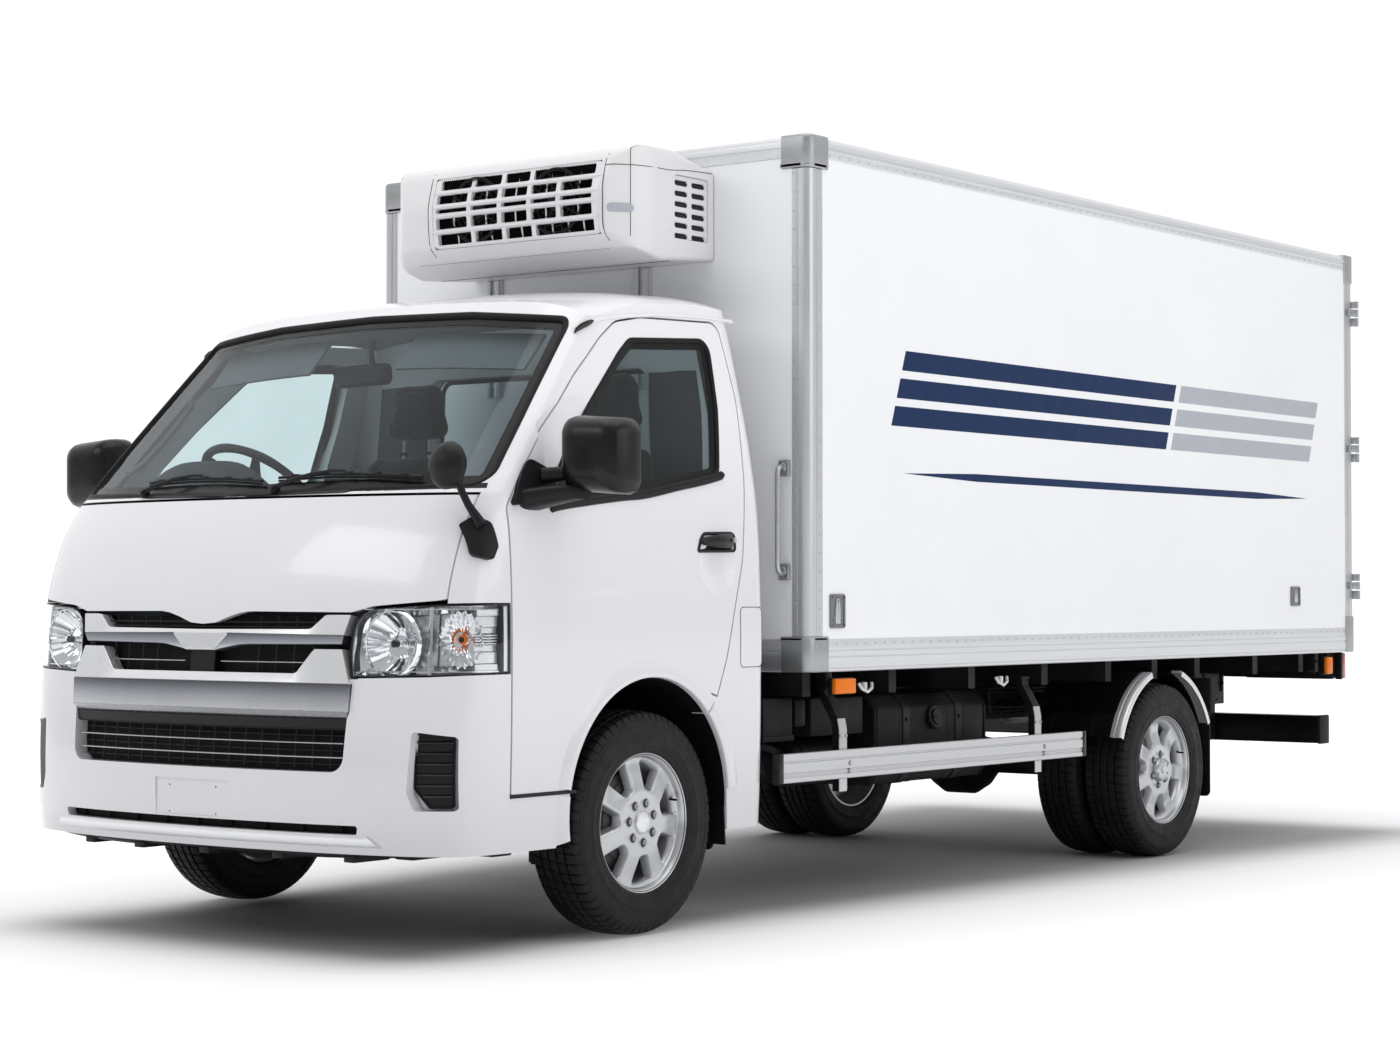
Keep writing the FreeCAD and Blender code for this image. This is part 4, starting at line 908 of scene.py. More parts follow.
def wheel_bags(rear):
    """Silver rim with seven windows, nuts, cap and the dark drum behind, about X at the origin."""
    sh = -14.0 if rear else 0.0
    silver, dark, nuts, capb = Bag(), Bag(), Bag(), Bag()

    def put(p, h=0.0):
        r = math.hypot(p[0], p[1])
        return (disc_height(r) + sh * (1 - min(max((r - 150) / 45, 0), 1)) + h, p[0], p[1])
    outer = circle2(196, 112)
    hub = circle2(34, 40)
    wins = [window_outline(k, 5.5) for k in range(7)]
    extra = []
    for r, n in ((44, 36), (56, 42), (68, 42), (80, 48), (92, 56), (104, 56), (122, 84), (140, 84), (158, 98), (176, 112)):
        extra += circle2(r, n, 0.02 * r)
    v, f = fill2d(outer, wins + [hub], 0, extra)
    silver.add([put(p) for p in v], f)
    for k in range(7):
        rows = []
        for d, h in ((5.5, 0.0), (4.0, -0.35), (2.4, -1.4), (0.8, -3.6), (-0.6, -7.5), (-2.4, -14.0), (-5.5, -27.0), (-5.9, -29.0), (-4.0, -30.5)):
            rows.append([put(p, h) for p in window_outline(k, d)])
        silver.rows(rows, closed=True)
    # rim: lip, well and barrel
    silver.rev([(62.5, 196), (63.5, 198.5), (68, 200.5), (75, 202.5), (80, 206), (82.5, 209.5), (84.5, 210.8), (86, 212.6), (86, 215.5), (84.2, 217.2), (80, 217),
                (78, 210), (60, 204), (40, 188), (-40, 188), (-60, 204), (-80, 212), (-80, 217), (-85, 217), (-86, 213), (-83, 208), (-64, 199), (-44, 181),
                (40, 181), (56, 188)], (0, 0, 0), (1, 0, 0), 112)
    # drum and plate behind the windows
    dark.rev([(-40, 0.5), (-40, 150), (-34, 156), (10, 156), (18, 150), (22, 132), (30, 128), (36, 110), (36, 0.5)], (0, 0, 0), (1, 0, 0), 64, closed=False)
    hz = 75.5 + sh
    if rear:
        silver.rev([(hz, 34), (hz + 2, 46), (hz + 5, 47.5), (hz + 14, 46), (hz + 19, 42), (hz + 21, 34), (hz + 21.5, 12), (hz + 21.5, 0.5)], (0, 0, 0), (1, 0, 0), 56, closed=False)
        for i in range(8):
            t = 2 * math.pi * (i + 0.5) / 8
            c = Vector((hz + 17, 40 * math.cos(t), 40 * math.sin(t)))
            silver.cyl(c, c + Vector((7, 0, 0)), 5.2, 6, 1.0)
        silver.cyl((hz + 21, 0, 0), (hz + 25, 0, 0), 15, 28, 1.5)
    else:
        silver.rev([(hz, 34), (hz + 2.5, 35.5), (hz + 4, 34), (hz + 4, 31.5)], (0, 0, 0), (1, 0, 0), 56, closed=False)
        capb.rev([(hz + 2, 31.8), (hz + 6, 31), (hz + 8, 28.5), (hz + 8.4, 22), (hz + 7.2, 20.5), (hz + 7.4, 10), (hz + 7.6, 0.5)], (0, 0, 0), (1, 0, 0), 48, closed=False)
    # nuts in dark counterbores
    for i in range(7 if not rear else 6):
        t = 2 * math.pi * i / (7 if not rear else 6) + 0.35
        c = Vector((hz, 62 * math.cos(t), 62 * math.sin(t)))
        e = Vector((1, 0, 0))
        dark.rev([(0.9, 8), (1.1, 13.6), (0.2, 14.2)], c, e, 28, closed=False)
        silver.rev([(0.0, 14.0), (1.9, 14.6), (2.2, 16.0), (0.2, 18.0)], c, e, 28, closed=False)
        nuts.cyl(c + e * 0.5, c + e * 11, 9.4, 6, 1.3)
        nuts.rev([(11, 0.3), (14, 4.5), (14.2, 5.8), (10.5, 6.6)], c, e, 16, closed=False)
    # valve
    a = math.radians(-83.0 + 51.4286 * 2.0)
    d = Vector((0, math.cos(a), math.sin(a)))
    capb2 = Bag()
    capb2.cyl(Vector((52, 0, 0)) + d * 181, Vector((79, 0, 0)) + d * 177, 3.6, 10, 0.8)
    capb2.cyl(Vector((79, 0, 0)) + d * 177, Vector((86, 0, 0)) + d * 176, 2.6, 10, 0.6)
    return silver, dark, nuts, capb, capb2


def at_wheel(bag, x, y, right):
    """Copy of a wheel bag placed on its axle; the right side is turned half round."""
    b = Bag()
    s = -1.0 if right else 1.0
    return b.add([(s * p[0] + x, s * p[1] + y, p[2] + 345.0) for p in bag.v], bag.f)


TB = tyre_bag()
FRONT_W, REAR_W = wheel_bags(False), wheel_bags(True)
for sd, right in (("left", False), ("right", True)):
    s = -1 if right else 1
    at_wheel(TB, s * 827.5, 38, right).obj("tyre_front_" + sd, "tyre_rubber", "front_wheel_" + sd, 28, ("front_tyre_" + sd,))
    for nm, bag, mat in zip(("rim", "drum", "nuts", "cap", "valve"), FRONT_W, ("wheel_silver", "engine_iron", "satin_chrome", "silver_trim", "seal_rubber")):
        at_wheel(bag, s * 827.5, 38, right).obj("%s_front_%s" % (nm, sd), mat, "front_wheel_" + sd, 30, ("front_rim_" + sd,) if nm == "rim" else ())
    pair = at_wheel(TB, s * 860, 3345, right)
    pair.obj("tyre_rear_outer_" + sd, "tyre_rubber", "rear_wheels_" + sd, 28, ("rear_tyres_" + sd,))
    at_wheel(TB, s * 642, 3345, right).obj("tyre_rear_inner_" + sd, "tyre_rubber", "rear_wheels_" + sd, 28)
    for nm, bag, mat in zip(("rim", "drum", "nuts", "cap", "valve"), REAR_W, ("wheel_silver", "engine_iron", "satin_chrome", "silver_trim", "seal_rubber")):
        if bag.v:
            at_wheel(bag, s * 860, 3345, right).obj("%s_rear_%s" % (nm, sd), mat, "rear_wheels_" + sd, 30, ("rear_rims_" + sd,) if nm == "rim" else ())
    inner = Bag()
    inner.rev([(-86, 206), (-86, 216), (-80, 216), (-60, 204), (-40, 188), (40, 188), (60, 204), (80, 216), (86, 216), (86, 206), (64, 199), (44, 181),
               (12, 178), (10, 60), (2, 60), (2, 178), (-44, 181), (-64, 199)], (0, 0, 0), (1, 0, 0), 64)
    at_wheel(inner, s * 642, 3345, right).obj("rim_rear_inner_" + sd, "wheel_silver", "rear_wheels_" + sd, 30)


# ------------------------------------------------------------------ front of the cab
def smooth_curve(pts, n):
    """Even points along a Catmull-Rom curve through the given points."""
    P2 = [Vector(p) for p in pts]
    out = []
    for i in range(len(P2) - 1):
        a, b = P2[i], P2[i + 1]
        p0 = P2[i - 1] if i else a * 2 - b
        p3 = P2[i + 2] if i + 2 < len(P2) else b * 2 - a
        for k in range(n):
            t = k / n
            out.append(0.5 * ((2 * a) + (b - p0) * t + (2 * p0 - 5 * a + 4 * b - p3) * t * t + (3 * a - p0 - 3 * b + p3) * t ** 3))
    out.append(P2[-1])
    return out


def strip(bag, top, bot, section, n=60, place=front):
    """Bar between two edge curves (x, z); section gives (share from top to bottom, height off the surface)."""
    def at(curve, x):
        return float(np.interp(x, [p[0] for p in curve], [p[1] for p in curve]))
    x0, x1 = top[0][0], top[-1][0]
    xs = [x0 + (x1 - x0) * i / n for i in range(n + 1)]
    xs = sorted(set(xs) | set(p[0] for p in top) | set(p[0] for p in bot))
    rows = []
    for x in xs:
        a, b = at(top, x), at(bot, x)
        rows.append([place((x, a + (b - a) * s), h) for s, h in section])
    bag.rows(rows, closed=True, ends=True)


def mirror_curve(half):
    return [(-x, z) for x, z in reversed(half) if x > 0] + list(half)


# dark back of the grille, 30 mm behind its face
back = Bag()
gr_out = [(577, 984), (575, 940), (573, 899), (580, 801), (590, 786), (588, 700), (583, 688), (583, 600), (576, 560), (540, 536),
          (-540, 536), (-576, 560), (-583, 600), (-583, 688), (-588, 700), (-590, 786), (-580, 801), (-573, 899), (-575, 940), (-577, 984)]
back.patch(dense(gr_out, 45), front, -42, step=60)
back.obj("grille_back", "black_matt", rep=("grille",), face=(0, -1, 0))
mesh = Bag()
for z in (972, 958):
    mesh.tube([fpt(x, z - 6, -20) for x in range(-480, 481, 40)], 2.2, 6)
for x in (-430, -360, -290, -220, 220, 290, 360, 430):
    mesh.tube([fpt(x, z, -26) for z in (985, 950, 900, 850, 810)], 2.6, 6)
for x in (-520, -455, -390, -325, -260, -195, -130, -65, 0, 65, 130, 195, 260, 325, 390, 455, 520):
    mesh.tube([fpt(x, z, -28) for z in (690, 640, 590, 545)], 2.4, 6)
for z in (657, 640, 596, 556):
    mesh.tube([fpt(x, z, -30) for x in range(-560, 561, 40)], 2.0, 6)
mesh.obj("grille_mesh", "black_plastic")
bright = Bag()
for z in (848,):
    for a, b in ((-430, -78), (78, 430)):
        bright.tube([fpt(x, z, -14) for x in np.linspace(a, b, 14)], 1.7, 6)
for z in (617, 576):
    bright.tube([fpt(x, z, -12) for x in np.linspace(-572, 572, 36)], 2.0, 6)
bright.obj("grille_thin_bars", "satin_chrome")
cen = Bag()
cen.patch(dense([(-52, 884), (52, 884), (52, 816), (-52, 816)], 30), front, -12, step=30, thick=6)
# dark rail above the lower opening
strip(cen, [(-583, 690), (583, 690)], [(-583, 655), (583, 655)], [(0, -30), (0, -6), (0.12, -3), (0.85, -8), (1, -14), (1, -32)], 50)
cen.obj("grille_dark_panels", "black_plastic")

# upper bright bar with winged ends and a stepped middle
top1 = mirror_curve([(0, 941), (120, 942), (436, 944), (487, 985), (566, 985), (576, 985)])
rid1 = mirror_curve([(0, 930), (124, 930), (200, 929), (566, 926), (576, 925)])
bot1 = mirror_curve([(0, 880), (64, 880), (78, 884), (160, 897), (200, 899), (546, 901), (576, 901)])


def lookup(c, x):
    return float(np.interp(x, [p[0] for p in c], [p[1] for p in c]))


def bar(top, rid, bot, xe, hb, ht, hr, hl, n=90, extra=()):
    """Bright bar in two facets with a ridge between; xe(z) gives its slanted ends."""
    b = Bag()
    xs = sorted(set(list(np.linspace(-1, 1, n + 1)) + list(extra)))
    rows = []
    for u in xs:
        row = []
        for c, hs in ((top, ((0, hb), (0, ht - 2.2), (2.2, ht))), (rid, ((1.2, hr), (-1.2, hr + 0.8))), (bot, ((2.5, hl), (0.6, hl - 1.6), (0, hb)))):
            for dz, h in hs:
                x = u * xe(lookup(c, u * 560))
                z = lookup(c, x)
                z = z - dz if c is not bot else z + dz
                row.append(fpt(x, z, h))
        rows.append(row)
    b.rows(rows, closed=True, ends=True)
    return b


def ends1(z):
    return float(np.interp(z, [878, 901, 926, 985], [548, 550, 560, 575]))


kinks = []
for x in (64, 78, 120, 124, 160, 200, 436, 450, 465, 487):
    kinks += [x / 560.0, -x / 560.0]
# stepped shield in the middle of the bar
shield = Bag()
so = rounded([(-122, 931), (122, 931), (66, 883), (-66, 883)], [4, 4, 12, 12], 4)
so = dense(so, 14)
shield.sweep(so, [(0, 2), (0, 8.5), (-1.8, 10.2)], front)
shield.patch(offset(so, -1.8), front, 10.2, step=22)
shield.obj("grille_shield", "silver_trim", deg=30)

# wide band: bright wings and lip above, a face below with a painted reflection from bright at its foot to dark at its
# top, then the lip
top2 = mirror_curve([(0, 815), (386, 815), (398, 820), (455, 886), (548, 886), (576, 886)])
rid2 = mirror_curve([(0, 787), (300, 787), (594, 786)])
low2 = mirror_curve([(0, 709), (592, 707)])
bot2 = mirror_curve([(0, 691), (590, 689)])


def ends2(z):
    return float(np.interp(z, [688, 706, 786, 800, 886], [583, 590, 592, 580, 556]))


def facet(c0, c1, h0, h1, ends, inset=(0, 0), back=-34, n=90, extra=(), lip=1.6):
    b = Bag()
    rows = []
    for u in sorted(set(list(np.linspace(-1, 1, n + 1)) + list(extra))):
        row = []
        for c, hs in ((c0, ((0.0, back), (0.0, h0 - lip), (lip, h0))), (c1, ((-lip, h1), (0.0, h1 - lip), (0.0, back)))):
            for dz, h in hs:
                x = u * ends(lookup(c, u * 570))
                row.append(fpt(x, lookup(c, x) - dz, h))
        rows.append(row)
    b.rows(rows, closed=True, ends=True)
    return b


facet(top1, rid1, 4, 8, ends1, extra=kinks, lip=1.6).obj("grille_bar_upper", "silver_trim", deg=20, face=(0, -1, 0))
# the lower facet carries a painted reflection, bright at its foot and dark at its top
facet(rid1, bot1, 8, 1.5, ends1, extra=kinks, lip=1.0).obj("grille_bar_lower", "bar_face", deg=20, face=(0, -1, 0))
k2 = []
for x in (386, 392, 398, 410, 455, 300):
    k2 += [x / 575.0, -x / 575.0]
facet(top2, rid2, 6, 15, ends2, extra=k2).obj("grille_band_top", "silver_trim", deg=25, face=(0, -1, 0))
# painted reflection on the band's face, bright at its foot and dark at its top
facet(rid2, low2, 15, 11, ends2, lip=1.0).obj("grille_band_face", "band_face", deg=25, face=(0, -1, 0))
facet(low2, bot2, 11, -6, ends2, lip=1.0).obj("grille_band_lip", "satin_chrome", deg=25, face=(0, -1, 0))

# ---- headlamps
def lamp_pt(g, z, h):
    """Point at girth g and height z, h off the surface."""
    x, y = round_y(g, z)
    xa, ya = round_y(min(g + 0.004, 1.9), z)
    xb, yb = round_y(max(g - 0.004, 0.0), z)
    t = Vector((xa - xb, ya - yb, 0)).normalized()
    n = Vector((t.y, -t.x, 0))
    return Vector((x, y, z)) + n * h


LAMP = [(588, 806), (579, 860), (580, 899), (586, 950), (604, 980), (645, 1001), (740, 1009), (836, 1015)]


def lamp_outline():
    """Outline as (girth, z): the inner curved edge, the top, the straight rear edge and the bottom."""
    o = []
    for x, z in smooth_curve(LAMP, 5):
        o.append((girth_x(x, z), z))
    g1 = girth_y(-618, 1019)
    for i in range(1, 13):
        z = 1015 + 4 * i / 12
        o.append((o[-1][0] + (g1 - o[-1][0]) / (13 - i), z))
    gr = lambda z: girth_y(-618, z)
    for i in range(1, 9):
        z = 1019 - (1019 - 819) * i / 8
        o.append((gr(z), z))
    g0 = girth_x(829, 812)
    for i in range(1, 9):
        z = 819 - 7 * i / 8
        o.append((gr(819) + (g0 - gr(819)) * i / 8, z))
    gs = girth_x(588, 806)
    for i in range(1, 8):
        o.append((g0 + (gs - g0) * i / 8, 812 - 6 * i / 8))
    return o


def gz_place(scale=700.0, h0=0.0):
    return lambda p, h=0.0: lamp_pt(p[0] / scale, p[1], h + h0)


LO = [(g * 700.0, z) for g, z in lamp_outline()]
put = gz_place()
for sd, mir in (("left", False), ("right", True)):
    lens, housing, frame_b, refl, dark, amberb = Bag(), Bag(), Bag(), Bag(), Bag(), Bag()
    # lens shell and its rolled edge
    lens.patch(offset(LO, -3.0), put, 2.0, step=34)
    lens.sweep(LO, [(-3.0, 2.0), (-1.4, 1.4), (-0.8, -1.0), (-0.8, -14)], put)
    # dark gasket round the lamp
    frame_b.sweep(LO, [(0.6, -22), (0.6, -0.5), (-0.4, 0.6), (-2.2, 0.6), (-3.0, -1.0), (-3.0, -22)], put)
    # housing floor and walls
    housing.sweep(LO, [(-4, -4), (-5, -30), (-9, -70)], put)
    housing.patch(offset(LO, -9), put, -70, step=40)
    # main reflector: bowl with facets round a bulb
    cx, cy, cz = 700.0, -800.0, 903.0
    ax = Vector((0.10, -1.0, 0.0)).normalized()
    e1 = Vector((1, 0.1, 0)).normalized()
    e2 = Vector((0, 0, 1))
    rows = []
    nf = 48
    for k in range(nf):
        t = 2 * math.pi * k / nf
        row = []
        for r, dpt in ((14, 0), (18, 1.5), (33, 6), (49, 15), (65, 28), (79, 45), (89, 60)):
            ww = 1.0 + 0.05 * (1 if k % 2 else -1) * min(1, r / 40.0)
            sx = 1.16 if math.cos(t) > 0 else 1.16
            row.append(Vector((cx, cy, cz)) + e1 * (math.cos(t) * r * ww * sx) + e2 * (math.sin(t) * r * ww) + ax * (dpt - 2))
        rows.append(row)
    refl.rows(rows, loop=True)
    refl.rev([(52, 98), (60, 90.5), (63, 91), (62, 95), (54, 101)], (cx, cy, cz), ax, 48)
    c0 = Vector((cx, cy, cz)) + ax * -2
    refl.cyl(c0, c0 + ax * 34, 9.5, 20, 2)
    dark.cyl(c0 + ax * 34, c0 + ax * 58, 11, 20, 4)
    dark.rev([(0, 9.6), (0.5, 14.5), (3, 14.0), (2, 9.6)], c0, ax, 24)
    for a in (200, 90):
        d = e1 * math.cos(math.radians(a)) + e2 * math.sin(math.radians(a))
        dark.tube([c0 + ax * 46 + d * 8, c0 + ax * 30 + d * 34], 1.6, 6)
    # bright walls between the bowl and the inner edge of the lamp
    refl.sweep(LO, [(-5, -8), (-8, -34), (-26, -52)], put)
    # slanted divider rib
    for gx, w in ((827, 5.5),):
        g0, g1 = girth_x(gx, 815), girth_x(gx - 3, 1008)
        rows = []
        for i in range(9):
            z = 815 + (1008 - 815) * i / 8
            g = (g0 + (g1 - g0) * i / 8)
            rows.append([lamp_pt(g - 0.006, z, -60), lamp_pt(g - 0.005, z, -8), lamp_pt(g, z, -5), lamp_pt(g + 0.006, z, -8), lamp_pt(g + 0.007, z, -60)])
        refl.rows(rows)
    # turn-signal bowl behind the outer half
    tc = Vector((868, -742, 915))
    tax = Vector((0.62, -0.78, 0)).normalized()
    te1 = Vector((0.78, 0.62, 0)).normalized()
    rows = []
    for k in range(40):
        t = 2 * math.pi * k / 40
        row = []
        for r, dpt in ((10, 0), (13, 0.6), (28, 5), (45, 14), (60, 27), (72, 40)):
            ww = 1.0 + 0.06 * (1 if k % 2 else -1) * min(1, r / 30.0)
            q = tc + te1 * (math.cos(t) * r * ww * 0.86) + Vector((0, 0, 1)) * (math.sin(t) * r * ww * 1.12) + tax * (dpt - 20)
            row.append(q)
        rows.append(row)
    refl.rows(rows, loop=True)
    tb = tc - tax * 20
    refl.cyl(tb, tb + tax * 18, 8, 18, 1)
    amberb.cyl(tb + tax * 18, tb + tax * 42, 11.5, 22, 5)
    amberb.rev([(0, 10), (0.5, 15), (4, 14), (4, 10)], tb, tax, 24)
    dark.cyl(tb + tax * 42, tb + tax * 46, 8.5, 20, 1.5)
    # stepped white block and ribs towards the rear edge
    gA, gB = girth_y(-738, 915), girth_y(-652, 915)
    for z0, z1, d in ((826, 846, -14), (846, 880, -20), (880, 900, -24), (900, 906, -18), (908, 914, -18), (916, 922, -18), (924, 930, -18), (932, 950, -24), (950, 982, -20), (982, 1002, -14)):
        rows = []
        for i in range(9):
            g = gA + (gB - gA) * i / 8
            rows.append([lamp_pt(g, z0 + 0.6, -58), lamp_pt(g, z0 + 0.6, d - 1), lamp_pt(g, z0 + 1.8, d), lamp_pt(g, z1 - 1.8, d), lamp_pt(g, z1 - 0.6, d - 1), lamp_pt(g, z1 - 0.6, -58)])
        housing.rows(rows, closed=True, ends=True)
    # rear dark pillar and white edge strip
    for ya, yb, bag, d in ((-650, -642, dark, -6), (-640, -626, housing, -4)):
        rows = []
        for i in range(9):
            z = 824 + (1010 - 824) * i / 8
            ga, gb = girth_y(ya, z), girth_y(yb, z)
            rows.append([lamp_pt(ga, z, -50), lamp_pt(ga, z, d), lamp_pt(gb, z, d), lamp_pt(gb, z, -50)])
        bag.rows(rows, closed=True, ends=True)
    # long shelves above and below the bowls
    for z0, z1 in ((822, 826), (1000, 1003)):
        rows = []
        for i in range(25):
            g = girth_x(610, z0) + (girth_y(-655, z0) - girth_x(610, z0)) * i / 24
            rows.append([lamp_pt(g, z0, -60), lamp_pt(g, z0, -10), lamp_pt(g, z1, -10), lamp_pt(g, z1, -60)])
        refl.rows(rows, closed=True, ends=True)
    for nm, b, m, dg, rp in (("lens", lens, "lamp_lens", 40, ("headlamps",)), ("gasket", frame_b, "seal_rubber", 30, ()), ("housing", housing, "lamp_satin", 30, ()),
                         ("reflector", refl, "lamp_chrome", 24, ()), ("lamp_dark", dark, "black_gloss", 30, ()), ("turn_bulb", amberb, "amber", 30, ())):
        (b.flip() if mir else b).obj("headlamp_%s_%s" % (nm, sd), m, deg=dg, rep=rp)

# ---- fog recess inserts: ribbed black panel with a slanted lower corner
for sd, mir in (("left", False), ("right", True)):
    ins, rib = Bag(), Bag()
    fo = rounded([(793, 652), (902, 640), (902, 436), (838, 436), (793, 492)], [10, 10, 10, 10, 14], 4)
    fo = dense(fo, 24)
    ins.patch(offset(fo, 2), front, -31, step=30)
    ins.sweep(fo, [(1.5, -33), (1.5, -26), (-0.5, -24), (-3.5, -24), (-4.5, -31)], front)
    for i in range(6):
        z = 470 + i * 31
        x0 = 800 if z > 500 else 820
        rib.tube([fpt(x, z, -26) for x in np.linspace(x0, 897, 6)], 5.0, 8, flat=0.6)
    for b, nm, m in ((ins, "panel", "black_plastic"), (rib, "ribs", "black_gloss")):
        (b.flip() if mir else b).obj("fog_%s_%s" % (nm, sd), m)

# ---- lower slot backing and the silver skid bar
slot_b = Bag()
slot_b.patch(dense([(-640, 392), (640, 392), (634, 346), (-634, 346)], 50), front, -30, step=60)
for x in (-560, -420, -280, -140, 0, 140, 280, 420, 560):
    slot_b.tube([fpt(x, 388, -24), fpt(x, 350, -24)], 4, 6)
slot_b.obj("lower_slot_back", "black_matt", face=(0, -1, 0))
skid = Bag()


rows = []
for u in np.linspace(-1, 1, 91):
    x = u * 676
    e = 1.0
    zc, hh = 338.0, 16.5
    w = math.copysign(max(0.0, (abs(u) - 0.88) / 0.12), u)
    row = []
    for s, h in ((1.0, -10), (1.0, 1.5), (0.86, 4.5), (0.35, 7.0), (-0.2, 7.5), (-0.75, 5.0), (-1.0, 1.0), (-1.0, -10)):
        row.append(fpt(x - w * 22 * s, zc + hh * s, h * e if h > 0 else h))
    rows.append(row)
skid.rows(rows, closed=True, ends=True)
skid.obj("skid_bar", "silver_trim", deg=35, face=(0, -1, 0))

# number-plate screws are left out: four open holes stay in the bumper
# ------------------------------------------------------------------ cab trim
WIND = [(-868, 1366), (0, 1350), (868, 1366), (836, 1560), (782, 1860), (765, 1886), (420, 1916), (0, 1926), (-420, 1916), (-765, 1886), (-782, 1860), (-836, 1560)]
WIND_O = dense(rounded(WIND, [40, 0, 40, 0, 60, 60, 0, 0, 0, 60, 60, 0], 5), 36)
SIDE_WIN = [(-462, 1296), (-321, 1478), (-176, 1626), (2, 1786), (70, 1836), (478, 1862), (462, 1640), (417, 1424), (34, 1360)]
SIDE_O = dense(rounded(SIDE_WIN, [40, 250, 300, 200, 60, 42, 200, 40, 300], 5), 28)
DOOR = [(-607, 468), (-607, 1297), (-533, 1392), (-409, 1530), (-228, 1705), (-75, 1830), (14, 1886), (147, 1909), (545, 1922), (572, 1674), (551, 1413), (514, 1155), (470, 1010),
        (425, 850), (374, 727)]

frit = Bag()
frit.sweep(WIND_O, [(-1, -34), (-1, -8), (-5, -8.6), (-16, -8.9), (-27, -9.0), (-27, -17)], front)
# wider black field along the foot of the glass
frit.patch(dense([(-852, 1362), (0, 1351), (852, 1362), (848, 1396), (0, 1384), (-848, 1396)], 40), front, -9.0, step=40)
frit.obj("windscreen_border", "glass_border")
seal = Bag()
seal.sweep(WIND_O, [(9, -1.0), (8.4, 1.4), (5, 2.6), (0.5, 2.4), (-3.5, 0.2), (-5.5, -4.0), (-6.0, -9.5)], front)
seal.obj("windscreen_seal", "seal_rubber")
cowl = Bag()
cowl.patch(dense([(-872, 1352), (0, 1338), (872, 1352), (868, 1367), (0, 1351), (-868, 1367)], 24), front, 0.8, step=24, thick=3)
cowl.obj("cowl_strip", "black_plastic")

# the dot pattern of the glass border is not drawn; roof drip rails and the pillar clips
rail = Bag()
DRIP = [(-96, 1876), (-60, 1888), (0, 1899), (148, 1917), (300, 1929), (465, 1936), (600, 1936), (640, 1934)]
pth = []
for y, z in smooth_curve(DRIP, 5):
    pth.append(tuple(spt(y, z, 1.5)))
rr = [2.0, 4.0, 5.5] + [6.5] * (len(pth) - 5) + [5.0, 2.0]
rail.tube(pth, rr, 10, flat=0.8)
rail.both().obj("drip_rails", "white_plain")
clip = Bag()
pc = [(-176, 1838), (-168, 1846), (-150, 1857), (-125, 1868), (-104, 1876), (-92, 1880)]
clip.tube([spt(y, z, 4) for y, z in pc], [4, 10, 13, 13, 10, 3], 12, flat=0.55)
clip.both().obj("pillar_clips", "black_gloss_grain")

